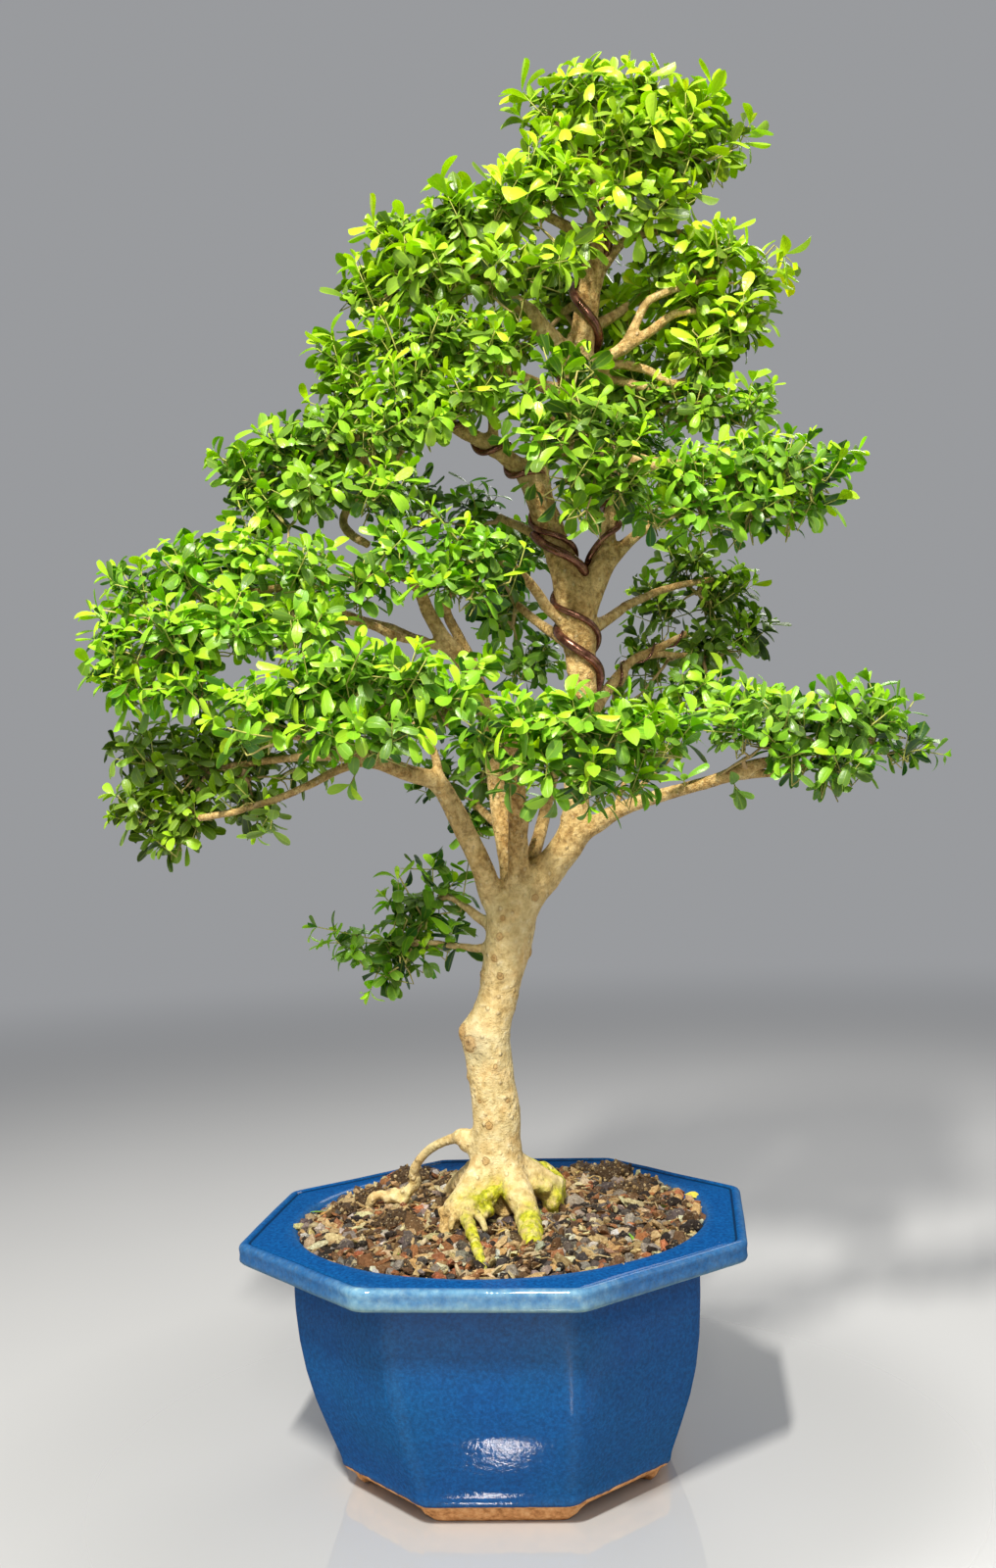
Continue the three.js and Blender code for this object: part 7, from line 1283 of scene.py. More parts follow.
def make_tree():
    pitch = 1.3
    field, lo = wood_field(pitch)
    v, quads = surface_nets(field, lo, pitch)
    v = relax(v, quads, 6, 0.55)
    nrm = vertex_normals(v, quads)
    # thickness of the wood nearby, for the size of its unevenness
    sk = np.concatenate([s for s in SKELETON.values()])
    rad = nearest(v, sk[:, :3], sk[:, 3])
    up = v[:, 2]
    rough = smooth01(up, 300, 420)
    d = 0.05 * rad * noise3(v * np.array([1, 1, 0.6]), 9.0, 5)
    roots = 1 - smooth01(up, 146, 156)
    d += 0.32 * np.maximum(0, noise3(v, 3.0, 9)) * smooth01(rad, 5, 9)
    knobbly = np.exp(-(((v - np.array([-14, -27, 138])) / np.array([16, 12, 9])) ** 2).sum(1)) + np.exp(-(((v - np.array([-56, 19, 136])) / np.array([12, 9, 7])) ** 2).sum(1))
    d += roots * ((0.8 + 0.7 * knobbly) * noise3(v, 5.0, 10) + (0.3 + 0.5 * knobbly) * noise3(v, 2.8, 11))
    d += (0.16 + 0.22 * rough) * noise3(v * np.array([1, 1, 0.7]), 3.6, 6) * smooth01(rad, 2, 6)
    d += 0.5 * rough * np.maximum(0, noise3(v * np.array([1, 1, 0.6]), 5.5, 8)) * smooth01(rad, 4, 7)
    v = v + nrm * d[:, None]
    knots = np.array(KNOTS)
    dist = np.sqrt(((v[:, None, :] - knots[None, :20, :3]) ** 2).sum(-1)) / knots[None, :20, 3]
    scar = np.exp(-((dist / 0.95) ** 2)).max(1)
    grey = np.exp(-(((v - np.array([-10, -11.5, 221])) / np.array([7, 9, 10])) ** 2).sum(1))
    V, Q, T, age, thick = [v], [quads], [], [rad], [np.full(len(v), 1.0)]
    at = len(v)
    # the thinner branches
    for name, s in SKELETON.items():
        thin = s[:, 3] < THICK + 0.1
        if not thin.any():
            continue
        first = int(np.argmax(thin))
        if not thin[first:].all():
            first = len(thin) - int(np.argmin(thin[::-1]))
        seg = s[max(0, first - 3) :][::2] if len(s) - first > 6 else s[max(0, first - 3) :]
        if len(seg) < 3:
            continue
        seg = seg.copy()
        seg[:, :3] += 0.35 * np.stack([noise3(seg[:, :3], 7, 31), noise3(seg[:, :3], 7, 32), noise3(seg[:, :3], 7, 33)], 1)
        sides = 8
        tv, tq, tt = tubes(seg[None, :, :3], seg[None, :, 3], sides)
        tv = tv + 0.12 * np.stack([noise3(tv, 2.6, 34), noise3(tv, 2.6, 35), noise3(tv, 2.6, 36)], 1)
        V.append(tv)
        Q.append(tq + at)
        T.append(tt + at)
        at += len(tv)
    verts = np.concatenate(V)
    z = verts[:, 2]
    r_all = nearest(verts, sk[:, :3], sk[:, 3])
    tone = smooth01(z, 270, 470) * smooth01(r_all, 3.5, 8.0) * 0.38 + 0.1 + 0.12 * smooth01(z, 205, 262) + 0.22 * noise3(verts, 22, 51)
    tone = tone + 0.22 * smooth01(6.0 - r_all, 0.0, 3.0) * smooth01(z, 270, 320) + 0.16 * smooth01(z, 285, 330)
    # the bark of the two middle stems above the fork is browner
    tone = tone + 0.4 * np.exp(-(((verts[:, 0] - 14) / 10) ** 2)) * smooth01(z, 300, 330) * (1 - smooth01(z, 360, 420))
    tone = np.clip(tone, 0, 1)
    tone = np.clip(tone + 0.75 * np.exp(-(((verts - np.array([2.0, -10, 134])) / np.array([8, 7, 6])) ** 2).sum(1)), 0, 1)
    tone = np.clip(tone + 0.75 * np.exp(-(((verts - np.array([-28.0, -30, 133])) / np.array([8, 9, 7])) ** 2).sum(1)), 0, 1)
    # green dust on the wettest parts of the roots
    algae = np.zeros(len(verts))
    for x, y, zz, r, share in ALGAE:
        spot = np.exp(-(((verts - np.array([x, y, zz])) ** 2).sum(1)) / r**2)
        algae = np.maximum(algae, share * spot)
    algae = algae * (0.9 + 0.45 * noise3(verts, 6, 53))
    algae = np.clip(algae, 0, 1) * np.where(z < 170, 1, 0)
    scar_all = np.zeros(len(verts))
    scar_all[: len(scar)] = scar
    grey_all = np.zeros(len(verts))
    grey_all[: len(grey)] = grey
    ob = make_mesh("tree_wood", verts, [np.concatenate(Q)] + ([np.concatenate(T)] if T else []), [BARK],
                   floats={"bark_tone": tone, "bark_algae": algae, "bark_scar": scar_all, "bark_grey": grey_all})
    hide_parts("tree")
    return ob


def nearest(p, spots, values, cell=14.0):
    """The value at the nearest of the spots, found through coarse cells."""
    out = np.zeros(len(p))
    done = np.zeros(len(p), bool)
    key = np.floor(p / cell).astype(int)
    code, inv = np.unique(key, axis=0, return_inverse=True)
    inv = inv.ravel()
    order = np.argsort(inv, kind="stable")
    bounds = np.searchsorted(inv[order], np.arange(len(code) + 1))
    for i, c in enumerate(code):
        rows = order[bounds[i] : bounds[i + 1]]
        centre = (c + 0.5) * cell
        d0 = np.linalg.norm(spots - centre, axis=1)
        near = np.nonzero(d0 < d0.min() + cell * 1.8)[0]
        q = p[rows]
        d = ((q[:, None] - spots[None, near]) ** 2).sum(-1)
        out[rows] = values[near[d.argmin(1)]]
    return out


make_tree()


# ---- training wires ----------------------------------------------------------------
def make_wires():
    for name, (r, pts) in WIRES.items():
        p = np.array(pts)
        p = crom(np.c_[p, np.full(len(p), r)], 2.2)
        # the heavy wires press on the bark
        full = r * 1.16 if r > 1 else r
        v, q, t = tubes(p[None, :, :3], np.full((1, len(p)), full), 14 if r > 1 else 8, point_end=False)
        ob = make_mesh(name + "_wound", v, [q, t], [WIRE])
        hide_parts(name)


make_wires()
for cad, mat in (("drain_mesh", PLASTIC), ("drain_mesh_clip", STEEL), ("anchor_wire", STEEL)):
    ob = frame["nodes"][cad]
    ob.data.materials.clear()
    ob.data.materials.append(mat)


# ---- foliage -----------------------------------------------------------------------
# A leaf blade: stations along it, each with a left, a middle and a right point.
STATIONS = np.array([0.12, 0.31, 0.5, 0.69, 0.85, 0.95])
HALF = np.array([0.045, 0.145, 0.215, 0.238, 0.196, 0.118])


def blade_template(stations, half):
    t = [0.0]
    s = [0.0]
    w = [0.0]
    for x, h in zip(stations, half):
        for side in (-1, 0, 1):
            t.append(x)
            s.append(side)
            w.append(h)
    t.append(1.0)
    s.append(0.0)
    w.append(0.0)
    tri = [[0, 2, 1], [0, 3, 2]]
    quad = []
    for k in range(len(stations) - 1):
        a, b = 1 + 3 * k, 4 + 3 * k
        quad += [[a, a + 1, b + 1, b], [a + 1, a + 2, b + 2, b + 1]]
    a = 1 + 3 * (len(stations) - 1)
    tip = len(t) - 1
    tri += [[a, a + 1, tip], [a + 1, a + 2, tip]]
    return np.array(t), np.array(s), np.array(w), np.array(tri), np.array(quad)


FULL = blade_template(STATIONS, HALF)
PLAIN = blade_template([0.36, 0.8], [0.17, 0.25])


def leaves(origin, along, face, length, width, bend, cup, notch, tint, plain=False):
    """Blades from arrays. along is each leaf's way, face the side that looks up."""
    n = len(origin)
    BT, BS, BW, BTRI, BQUAD = PLAIN if plain else FULL
    along = unit(along)
    face = unit(face - np.sum(face * along, -1, keepdims=True) * along)
    side = np.cross(face, along)
    t = np.repeat(BT[None], n, 0)
    w = np.repeat(BW[None], n, 0)
    # a notched tip: its last station moves out and its middle stays back
    if not plain:
        last = slice(16, 19)
        t[:, last] = np.where(notch[:, None] > 0, 0.965, t[:, last])
        w[:, last] = np.where(notch[:, None] > 0, 0.108, w[:, last])
        t[:, 19] = np.where(notch > 0, 0.962, 1.0)
        t[:, 17] = np.where(notch > 0, 0.945, t[:, 17])
    k = np.maximum(np.abs(bend), 0.02) * np.sign(bend + 1e-9)
    x = np.sin(k[:, None] * t) / k[:, None]
    z = -(1 - np.cos(k[:, None] * t)) / k[:, None]
    y = BS[None] * w * width[:, None]
    z = z + cup[:, None] * np.abs(y) * (0.6 + 0.8 * t)
    p = (
        origin[:, None]
        + (x * length[:, None])[..., None] * along[:, None]
        + (y * length[:, None])[..., None] * side[:, None]
        + (z * length[:, None])[..., None] * face[:, None]
    )
    m = len(BT)
    base = (np.arange(n) * m)[:, None, None]
    uv = np.stack([t, 0.5 + 0.5 * np.repeat(BS[None], n, 0)], -1)
    return (
        p.reshape(-1, 3),
        (BQUAD[None] + base).reshape(-1, 4),
        (BTRI[None] + base).reshape(-1, 3),
        uv.reshape(-1, 2),
        np.repeat(tint, m, 0),
    )


LEAF_AGES = np.array([0.0, 0.3, 0.6, 1.0])
LEAF_TINTS = np.array([srgb(192, 238, 2), srgb(156, 220, 0), srgb(104, 170, 0), srgb(22, 76, 26)])


# the sunlit top and the shaded low back hold more olive leaves; this olive is partly the leaves' own colour and partly
# painted light and shade, yellower on the lit top and duller on the shaded low back
OLIVE_TINTS = np.array([srgb(196, 234, 8), srgb(168, 208, 2), srgb(126, 156, 2), srgb(62, 84, 10)])
OLIVE = {
    "foliage_apex": 1.0,
    "foliage_right_upper": 1.0,
    "foliage_back_upper": 0.8,
    "foliage_upper_left": 0.8,
    "foliage_upper_left_low": 0.6,
    "foliage_upper_left_back": 0.6,
    "foliage_right_upper_back": 0.7,
    "foliage_centre_upper": 0.4,
    "foliage_right_middle": 0.4,
    "foliage_left_second": 0.3,
    "foliage_left_low_back": 0.8,
    "foliage_right_back": 0.6,
}


def leaf_tint(age, rng, olive=0.0):
    # here and there an older, darker leaf among the young ones
    old = rng.random(len(age)) < 0.11 * (1 - 0.6 * olive)
    age = np.clip(np.where(old, rng.uniform(0.78, 1.0, len(age)), age), 0, 1)
    c = np.stack([np.interp(age, LEAF_AGES, (1 - olive) * LEAF_TINTS[:, k] + olive * OLIVE_TINTS[:, k]) for k in range(3)], 1)
    c = c * np.exp(rng.normal(0, 0.15, (len(age), 1))) * (1 + rng.normal(0, 0.05, (len(age), 3)))
    return np.clip(c, 0.002, 0.9)


def clumps(points, count, rng, rounds=6):
    """Splits points into about count compact groups."""
    count = max(1, min(count, len(points)))
    centre = points[rng.choice(len(points), count, replace=False)]
    for _ in range(rounds):
        d = ((points[:, None] - centre[None]) ** 2).sum(-1)
        who = d.argmin(1)
        for k in range(count):
            if (who == k).any():
                centre[k] = points[who == k].mean(0)
    return who, centre


def pad_tips(blobs, spacing, rng, depth, least):
    """Tips of shoots in a pad, depth below its clumps' surface, and which way the pad faces there."""
    blobs = np.array(blobs)
    blobs[:, 3:6] = np.maximum(blobs[:, 3:6] - depth, least * blobs[:, 3:6])
    P, N = [], []
    for i, (x, y, z, rx, ry, rz) in enumerate(blobs):
        r = np.array([rx, ry, rz])
        area = 4 * math.pi * (((rx * ry) ** 1.6 + (rx * rz) ** 1.6 + (ry * rz) ** 1.6) / 3) ** (1 / 1.6)
        n = int(area / spacing**2 * 5) + 6
        u = unit(rng.normal(size=(n, 3)))
        p = np.array([x, y, z]) + u * r
        nn = unit(u / r)
        inside = np.zeros(n, bool)
        for j, b in enumerate(blobs):
            if j != i:
                inside |= ((((p - b[:3]) / b[3:6]) ** 2).sum(1)) < 0.93
        P.append(p[~inside])
        N.append(nn[~inside])
    P, N = np.concatenate(P), np.concatenate(N)
    order = rng.permutation(len(P))
    kept, cell = [], {}
    for i in order:
        p, nz = P[i], N[i, 2]
        gap = spacing * (1.0 + 0.55 * max(0.0, -nz - 0.15)) * (0.9 if nz > 0.35 else 1.0)
        key = tuple((p // 14).astype(int))
        ok = True
        for dx in (-1, 0, 1):
            for dy in (-1, 0, 1):
                for dz in (-1, 0, 1):
                    for j in cell.get((key[0] + dx, key[1] + dy, key[2] + dz), ()):
                        q = P[j]
                        if (q[0] - p[0]) ** 2 + (q[1] - p[1]) ** 2 + (q[2] - p[2]) ** 2 < gap * gap:
                            ok = False
                            break
                    if not ok:
                        break
                if not ok:
                    break
            if not ok:
                break
        if ok:
            kept.append(i)
            cell.setdefault(key, []).append(i)
    kept = np.array(kept)
    return P[kept], N[kept]


WOODY = np.concatenate([s for k, s in SKELETON.items() if not k.startswith("root") and k != "trunk"] + [SKELETON["trunk"][SKELETON["trunk"][:, 2] > 340]])
SPACING = 9.6
PAD_STYLE = {  # leaf size, age shift, spacing factor; the age shift is partly real age and partly painted light and shade: lit top pads younger and yellower, shaded low and back pads older and darker
    "foliage_apex": (1.34, -0.24, 1.02),
    "foliage_upper_left": (1.18, -0.14, 1.0),
    "foliage_upper_left_low": (1.04, -0.1, 0.98),
    "foliage_centre_upper": (1.08, 0.06, 1.0),
    "foliage_right_upper": (1.2, -0.33, 0.98),
    "foliage_right_middle": (1.04, -0.04, 1.0),
    "foliage_left_third": (1.04, -0.14, 0.98),
    "foliage_left_front": (1.14, -0.08, 1.0),
    "foliage_centre_front": (1.18, -0.02, 1.0),
    "foliage_centre_small": (1.06, -0.06, 1.0),
    "foliage_right_low": (1.06, 0.22, 0.97),
    "foliage_left_second": (1.0, 0.08, 1.0),
    "foliage_low_sprig": (1.1, 0.14, 0.95),
    "foliage_left_low_back": (1.08, 0.28, 1.0),
    "foliage_right_back": (0.98, 0.25, 1.03),
    "foliage_back_centre": (1.0, 0.25, 1.12),
    "foliage_back_low": (1.0, 0.25, 1.12),
    "foliage_back_upper": (1.08, 0.02, 1.1),
    "foliage_back_middle": (1.0, 0.1, 1.1),
    "foliage_back_left": (1.0, 0.08, 1.12),
    "foliage_back_left_low": (1.0, 0.1, 1.12),
    "foliage_left_second_back": (1.0, 0.06, 1.12),
    "foliage_upper_left_back": (1.05, -0.02, 1.12),
    "foliage_right_upper_back": (1.05, 0.0, 1.12),
    "foliage_right_long_back": (1.0, 0.06, 1.12),
}
# clumps of shoots that join the pads or hang before the stem
FILL = {
    "foliage_apex": [[84, -22, 674, 17, 15, 14], [101, -17, 666, 17, 15, 13], [117, -9, 668, 14, 16, 12], [75, -27, 655, 12, 12, 12], [99, -14, 653, 11, 12, 9]],
    "foliage_upper_left": [[66, -30, 640, 11, 12, 12]],
    "foliage_right_upper": [[92, 34, 606, 19, 13, 15], [84, 38, 632, 15, 12, 15], [112, 26, 598, 16, 14, 13]],
    "foliage_centre_upper": [[44, -44, 571, 17, 15, 11], [63, -38, 573, 15, 14, 10], [18, -50, 533, 11, 13, 14], [30, -50, 506, 11, 12, 12]],
    "foliage_left_third": [[-39, -42, 487, 17, 17, 13], [-32, -44, 472, 13, 14, 12], [-192, -28, 430, 19, 22, 15], [-190, -26, 450, 17, 20, 14]],
    "foliage_left_front": [[3, -80, 414, 13, 15, 11]],
    "foliage_centre_front": [[80, -86, 358, 15, 17, 12], [63, -88, 352, 12, 14, 10], [10, -96, 360, 12, 14, 9]],
    "foliage_low_sprig": [[-50, 10, 299, 15, 13, 11], [-36, 10, 268, 13, 12, 8], [-28, 14, 313, 11, 11, 9]],
    "foliage_right_back": [[76, 40, 408, 14, 14, 11]],
}
SPRIGS = [s for s in SPRIGS if s[0] != "foliage_left_third" and not (s[0] == "foliage_left_front" and s[1][0] > -62)]
counts = {}


# the wired length of the trunk shows between the pads: its line in the front view
BARE_LINE = np.array([[580.0, 606.0], [572.0, 565.0], [558.0, 526.0], [537.0, 487.0], [510.0, 460.0], [488.0, 446.0]])


def front_view(p):
    """Where points lie in the view from the front, 1016 wide and 1600 high."""
    pitch, yaw, roll = math.radians(1.39), math.radians(0.55), math.radians(-2.32)
    fwd = np.array([math.sin(yaw) * math.cos(pitch), math.cos(yaw) * math.cos(pitch), math.sin(pitch)])
    right = np.array([math.cos(yaw), -math.sin(yaw), 0.0])
    up = np.cross(right, fwd)
    r2 = math.cos(roll) * right + math.sin(roll) * up
    u2 = -math.sin(roll) * right + math.cos(roll) * up
    d = p - np.array([0, -791.0, 338.0])
    z = d @ fwd
    return np.stack([508 + 1500 * (d @ r2) / z, 800 - 1500 * (d @ u2) / z], 1)


def hides_trunk(p, reach):
    q = front_view(p)
    near = np.full(len(q), 1e9)
    for a, b in zip(BARE_LINE[:-1], BARE_LINE[1:]):
        t = np.clip(((q - a) @ (b - a)) / ((b - a) @ (b - a)), 0, 1)
        near = np.minimum(near, np.linalg.norm(q - a - t[:, None] * (b - a), axis=1))
    trunk = SKELETON["trunk"]
    depth = np.interp(p[:, 2], trunk[:, 2], trunk[:, 1])
    return (near < reach) & (p[:, 1] < depth)


def make_foliage(name, blobs, seed):
    rng = np.random.default_rng(seed)
    scale, age_light_shift, factor = PAD_STYLE.get(name, (1.0, 0.0, 1.0))
    middle = np.average(np.array(blobs)[:, :3], axis=0)
    blobs = blobs + FILL.get(name, [])
    tips, nrm = pad_tips(blobs, SPACING * factor, rng, 8.8 * scale, 0.5)
    n = len(tips)
    # some shoots stand out, most end a leaf's length inside the pad's outline
    out = rng.normal(0, 1.8, n) + np.where(rng.random(n) < 0.12, rng.uniform(2, 7, n), 0)
    tips = tips + nrm * out[:, None]
    if name == "foliage_apex":  # the crown is clipped to a rounded top
        tips[:, 2] = np.minimum(tips[:, 2], 735.0 - rng.uniform(0, 5, n))
    up = np.array([0.0, 0.0, 1.0])
    away = unit((tips - middle) * np.array([1, 1, 0.4]))
    aim = unit(0.42 * nrm + 0.72 * up + 0.42 * away + 0.3 * rng.normal(size=(n, 3)))
    length = rng.uniform(16, 28, n) * (0.9 + 0.1 * scale)
    base = tips - unit(0.8 * aim + 0.35 * nrm + 0.2 * away) * length[:, None]
    extra = [(np.array(b), np.array(t)) for p, b, t in SPRIGS if p == name]
    if extra:
        eb = np.array([b for b, t in extra])
        et = np.array([t for b, t in extra])
        base = np.vstack([base, eb])
        tips = np.vstack([tips, et])
        ea = unit(et - eb + np.array([0, 0, 1.0]))
        aim = np.vstack([aim, ea])
        length = np.r_[length, np.linalg.norm(et - eb, axis=1)]
        nrm = np.vstack([nrm, ea])
        n = len(tips)
    keep = ~(hides_trunk(tips, 25) | hides_trunk(0.5 * (tips + base), 22))
    if not keep.all():
        base, tips, aim, length, nrm = base[keep], tips[keep], aim[keep], length[keep], nrm[keep]
        n = len(tips)
    # twigs: the wood splits to clumps of shoots, and these to single ones
    who1, c1 = clumps(base, max(1, round(n / 26)), rng)
    near = WOODY[((c1[:, None] - WOODY[None, :, :3]) ** 2).sum(-1).argmin(1)]
    start1 = near[:, :3]
    end1 = c1 + 0.34 * (start1 - c1)
    mid1 = 0.5 * (start1 + end1) + rng.normal(0, 3.0, c1.shape) + np.array([0, 0, -2.0])
    V, Q, T, age = [], [], [], []
    at = 0

    def put(v, q, t, a):
        nonlocal at
        V.append(v)
        Q.append(q + at)
        T.append(t + at)
        age.append(a)
        at += len(v)

    path = bezier(start1, mid1, end1, 7)
    path[:, 1:-1] += rng.normal(0, 0.5, path[:, 1:-1].shape)
    r = np.linspace(1.0, 0.66, 7)[None] * np.clip(near[:, 3:4] * 0.72, 0.8, 1.7)
    put(*tubes(path, r, 6), np.zeros(0))
    age[-1] = np.ones(len(V[-1]))
    end2 = np.zeros((n, 3))
    s2, m2, e2 = [], [], []
    for k in range(len(c1)):
        rows = np.nonzero(who1 == k)[0]
        if not len(rows):
            continue
        who2, c2 = clumps(base[rows], max(1, round(len(rows) / 5)), rng, 4)
        for j in range(len(c2)):
            sub = rows[who2 == j]
            if not len(sub):
                continue
            a = end1[k] + (path[k, 4] - end1[k]) * rng.uniform(0, 0.9)
            e = c2[j] + 0.3 * (a - c2[j])
            s2.append(a)
            m2.append(0.5 * (a + e) + rng.normal(0, 1.6, 3))
            e2.append(e)
            end2[sub] = e
    p2 = bezier(np.array(s2), np.array(m2), np.array(e2), 5)
    r2 = np.linspace(0.86, 0.56, 5)[None] * rng.uniform(0.85, 1.15, (len(p2), 1))
    put(*tubes(p2, r2, 5), np.zeros(0))
    age[-1] = np.full(len(V[-1]), 0.85)
    # bare foot of each shoot and its leafy stem
    stem = bezier(base, base + 0.5 * unit(tips - base) * length[:, None] - 0.12 * aim * length[:, None] + 0.0, tips, 4)
    foot = 0.5 * (end2 + base) + rng.normal(0, 1.0, base.shape)
    whole = np.concatenate([end2[:, None], foot[:, None], stem], 1)
    rs = np.array([0.56, 0.5, 0.46, 0.42, 0.38, 0.3])[None] * rng.uniform(0.9, 1.15, (n, 1))
    put(*tubes(whole, rs, 3), np.zeros(0))
    ages = np.tile(np.r_[np.repeat([0.7, 0.5, 0.28, 0.06, 0.0, 0.0], 3), 0.0, 0.7], n)
    age[-1] = ages
    # opposite pairs of leaves, each pair a quarter turn from the last
    O, A, F, L, W, B, C, K, G = ([] for _ in range(9))
    turn = rng.uniform(0, np.pi, n)
    pairs = np.clip(np.round(length / 6.0), 2, 4).astype(int)
    t0 = unit(stem[:, 1] - stem[:, 0])
    most = int(pairs.max())
    # blades in front turn to the light, which comes from above and before the tree
    front = smooth01(-tips[:, 1], -25, 30)
    light = unit(np.stack([np.full(n, -0.15), -0.75 * front, np.full(n, 0.8)], 1))
    young = rng.random(n)
    vigour = np.exp(rng.normal(0.0, 0.15, n))
    for k in range(most):  # k = 0 at the tip
        rows = np.nonzero(pairs > k)[0]
        f = 1 - k / np.maximum(pairs[rows], 1) * 0.82
        u = f * 3
        i = np.minimum(2, u.astype(int))
        g = (u - i)[:, None]
        spot = stem[rows, i] * (1 - g) + stem[rows, i + 1] * g
        tan = unit(unit(stem[rows, i + 1] - stem[rows, i]) + 0.5 * aim[rows] * (1 if k < 2 else 0.4))
        ref = np.where(np.abs(tan[:, 2:3]) < 0.9, up, np.array([1.0, 0, 0]))
        e1 = unit(np.cross(tan, ref))
        e2v = np.cross(tan, e1)
        phi = turn[rows] + k * np.pi / 2 + rng.normal(0, 0.22, len(rows))
        for side in (0, 1):
            a = phi + side * np.pi
            rad = np.cos(a)[:, None] * e1 + np.sin(a)[:, None] * e2v
            open_ = np.radians(np.clip(rng.normal(35 + 13 * min(k, 3), 9, len(rows)), 12, 84))
            way = np.cos(open_)[:, None] * tan + np.sin(open_)[:, None] * rad
            face = unit(np.sin(open_)[:, None] * tan - np.cos(open_)[:, None] * rad)
            face = unit(face + 0.42 * light[rows] + 0.12 * nrm[rows] + 0.16 * rng.normal(size=(len(rows), 3)))
            size = np.exp(rng.normal(math.log(12.7), 0.12, len(rows))) * scale * vigour[rows]
            size = size * np.array([0.84, 1.05, 1.05, 0.98, 0.9])[min(k, 4)]
            O.append(spot)
            A.append(way)
            F.append(face)
            size = np.minimum(size, 17.5)
            L.append(size)
            W.append(rng.uniform(0.76, 1.02, len(rows)))
            B.append(np.clip(rng.normal(0.95, 0.42, len(rows)), -0.1, 2.0))
            folded = rng.random(len(rows)) < 0.28
            C.append(np.where(folded, np.clip(rng.normal(0.35, 0.2, len(rows)), 0.0, 0.8), np.clip(rng.normal(-0.46, 0.17, len(rows)), -0.9, 0.0)))
            K.append((rng.random(len(rows)) < 0.14).astype(float))
            # the pad's age shift is partly painted light and shade: leaves in lit pads younger and yellower, in shaded
            # pads older and darker
            G.append(0.02 + 0.22 * k + 0.72 * young[rows] ** 2 + age_light_shift + rng.normal(0, 0.12, len(rows)))
        # a last small pair in the bud
        if k == 0:
            some = rng.random(len(rows)) < 0.5
            rows, phi, tan, e1, e2v = rows[some], phi[some], tan[some], e1[some], e2v[some]
            for side in (0, 1):
                a = phi + np.pi / 2 + side * np.pi
                rad = np.cos(a)[:, None] * e1 + np.sin(a)[:, None] * e2v
                open_ = np.radians(np.clip(rng.normal(20, 7, len(rows)), 6, 50))
                way = np.cos(open_)[:, None] * tan + np.sin(open_)[:, None] * rad
                face = unit(np.sin(open_)[:, None] * tan - np.cos(open_)[:, None] * rad + 0.3 * up)
                O.append(stem[rows, 3])
                A.append(way)
                F.append(face)
                L.append(rng.uniform(4.6, 8.2, len(rows)) * scale)
                W.append(rng.uniform(0.7, 0.95, len(rows)))
                B.append(rng.normal(0.1, 0.25, len(rows)))
                C.append(rng.uniform(0.2, 0.8, len(rows)))
                K.append(np.zeros(len(rows)))
                G.append(-0.05 + 0.4 * young[rows] ** 2 + age_light_shift + rng.normal(0, 0.08, len(rows)))
    cat = np.concatenate
    # old dark leaves deep inside, which close the pad
    deep_tips, deep_nrm = pad_tips(blobs, 12.5, rng, 21.0, 0.22)
    nd = len(deep_tips) * 4
    spot = np.repeat(deep_tips, 4, 0) + rng.normal(0, 2.4, (nd, 3))
    way = unit(rng.normal(size=(nd, 3)) + 0.6 * np.repeat(deep_nrm, 4, 0))
    dv, dq, dt, duv, dtint = leaves(
        spot, way, unit(rng.normal(size=(nd, 3)) + 1.2 * up), rng.uniform(10, 14.5, nd), rng.uniform(0.95, 1.3, nd),
        rng.normal(0.5, 0.4, nd), rng.normal(0.2, 0.2, nd), np.zeros(nd), leaf_tint(np.full(nd, 0.9), rng, OLIVE.get(name, 0.0)) * 0.85, plain=True)
    lv, lq, lt, luv, ltint = leaves(cat(O), cat(A), cat(F), cat(L), cat(W), cat(B), cat(C), cat(K), leaf_tint(cat(G), rng, OLIVE.get(name, 0.0)))
    lq, lt = np.vstack([lq, dq + len(lv)]), np.vstack([lt, dt + len(lv)])
    lv, luv, ltint = np.vstack([lv, dv]), np.vstack([luv, duv]), np.vstack([ltint, dtint])
    tv = cat(V)
    verts = np.vstack([lv, tv])
    nl = len(lv)
    quads = [lq, cat(Q) + nl]
    tris = [lt, cat(T) + nl]
    polys = [quads[0], tris[0], quads[1], tris[1]]
    mats = np.r_[np.zeros(len(lq) + len(lt)), np.ones(len(quads[1]) + len(tris[1]))]
    uv = np.vstack([luv, np.zeros((len(tv), 2))])
    tint = np.vstack([ltint, np.full((len(tv), 3), 0.2)])
    ages = np.r_[np.zeros(nl), cat(age)]
    ob = make_mesh(name + "_leaves", verts, polys, [LEAF, TWIG], mats, floats={"twig_age": ages}, colors={"leaf_tint": tint}, uv=uv)
    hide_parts(name)
    counts[name] = (n, len(lq) * 2 + len(lt), len(quads[1]) * 2 + len(tris[1]))


for number, (pad_name, pad_blobs) in enumerate(FOLIAGE.items()):
    make_foliage(pad_name, pad_blobs, 1000 + number)


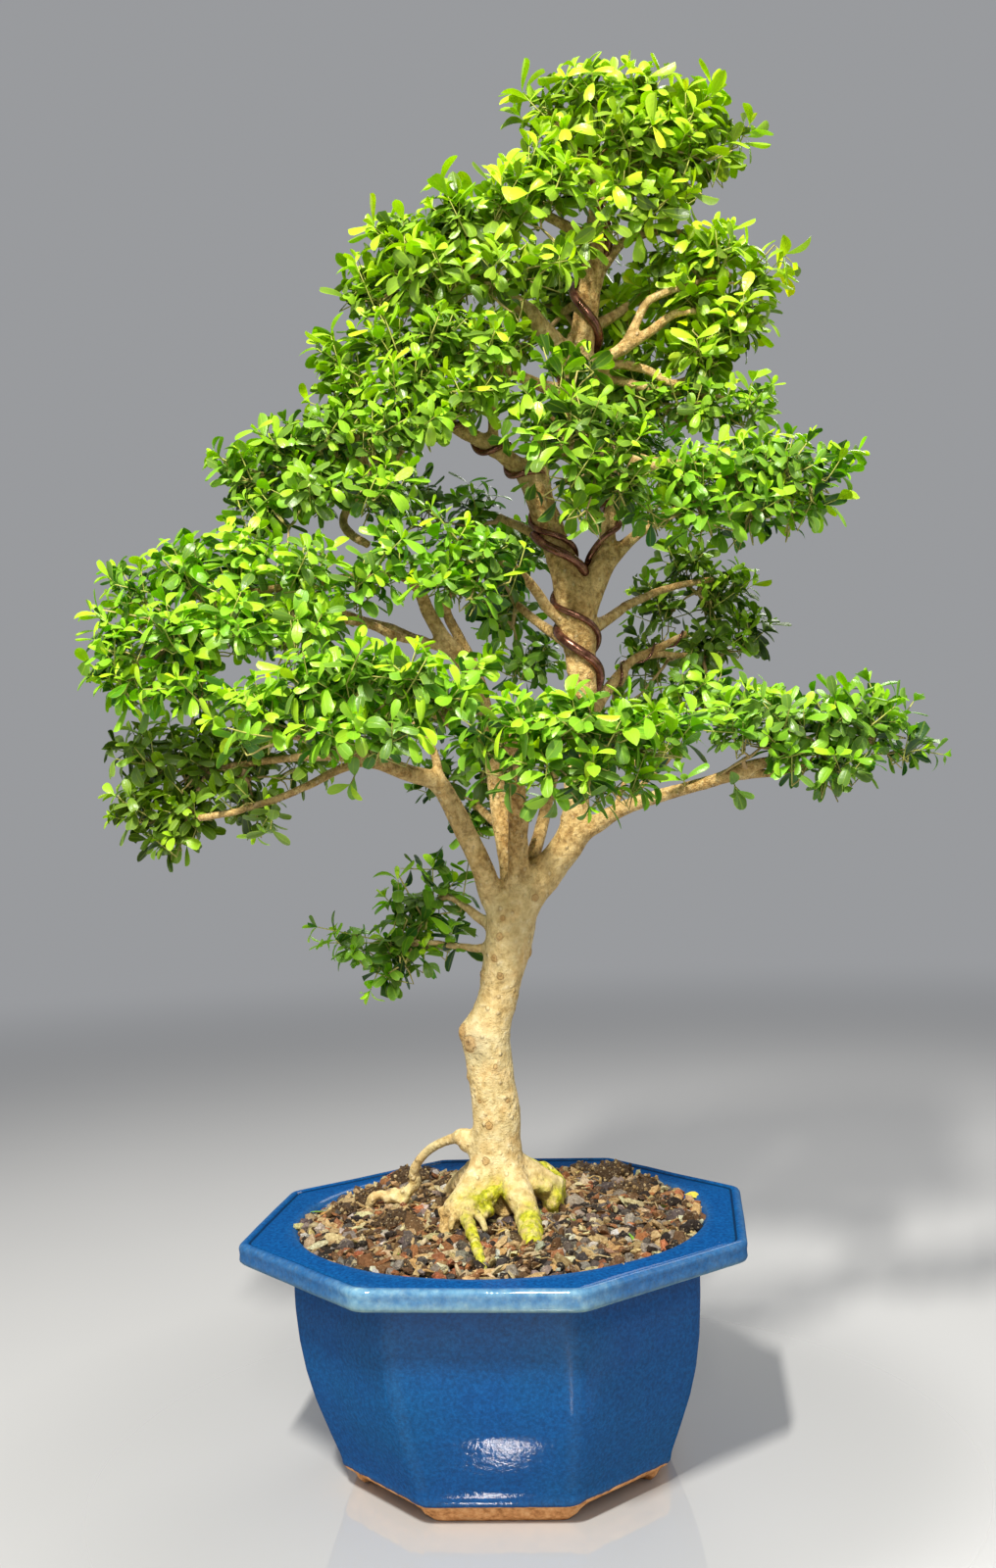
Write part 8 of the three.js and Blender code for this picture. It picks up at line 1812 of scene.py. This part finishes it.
# ---- fallen leaves on the soil -------------------------------------------------------
def make_litter():
    rng = np.random.default_rng(77)
    known = [(101, 22), (86, -5), (40, 15), (36, -34), (64, -46), (-24, -26), (-8, 4), (20, 4), (96, -30), (-30, 6)]
    n = 34
    r = 98 * np.sqrt(rng.random(n))
    a = rng.uniform(0, 2 * np.pi, n)
    xy = np.stack([r * np.cos(a), r * np.sin(a)], 1)
    xy[: len(known)] = known
    a = rng.uniform(0, 2 * np.pi, n)
    along = np.stack([np.cos(a), np.sin(a), rng.normal(0, 0.2, n)], 1)
    face = np.stack([rng.normal(0, 0.35, n), rng.normal(0, 0.35, n), np.ones(n)], 1)
    spots = np.stack([xy[:, 0], xy[:, 1], soil_height(xy[:, 0], xy[:, 1]) + 1.7], 1)
    pal = np.array([srgb(120, 170, 40), srgb(210, 200, 70), srgb(214, 186, 96), srgb(150, 180, 110), srgb(176, 132, 70)])
    tint = pal[rng.choice(5, n, p=[0.3, 0.22, 0.2, 0.13, 0.15])] * rng.uniform(0.8, 1.15, (n, 1))
    v, q, t, uv, c = leaves(spots, along, face, rng.uniform(7, 12, n), rng.uniform(0.8, 1.1, n), rng.normal(0.5, 0.5, n), rng.normal(0.3, 0.2, n), np.zeros(n), tint)
    ob = make_mesh("fallen_leaves", v, [q, t], [LITTER], colors={"leaf_tint": c}, uv=uv)


make_litter()

tri = {}
for o in bpy.context.scene.objects:
    if o.type == "MESH" and not o.hide_render and not o.get("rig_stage"):
        o.data.calc_loop_triangles()
        tri[o.name] = len(o.data.loop_triangles)
print("TRIANGLES", sum(tri.values()), max(tri.values()), sorted(tri.items(), key=lambda x: -x[1])[:8])
print("SHOOTS", sum(c[0] for c in counts.values()), "leaf tris", sum(c[1] for c in counts.values()), "twig tris", sum(c[2] for c in counts.values()))
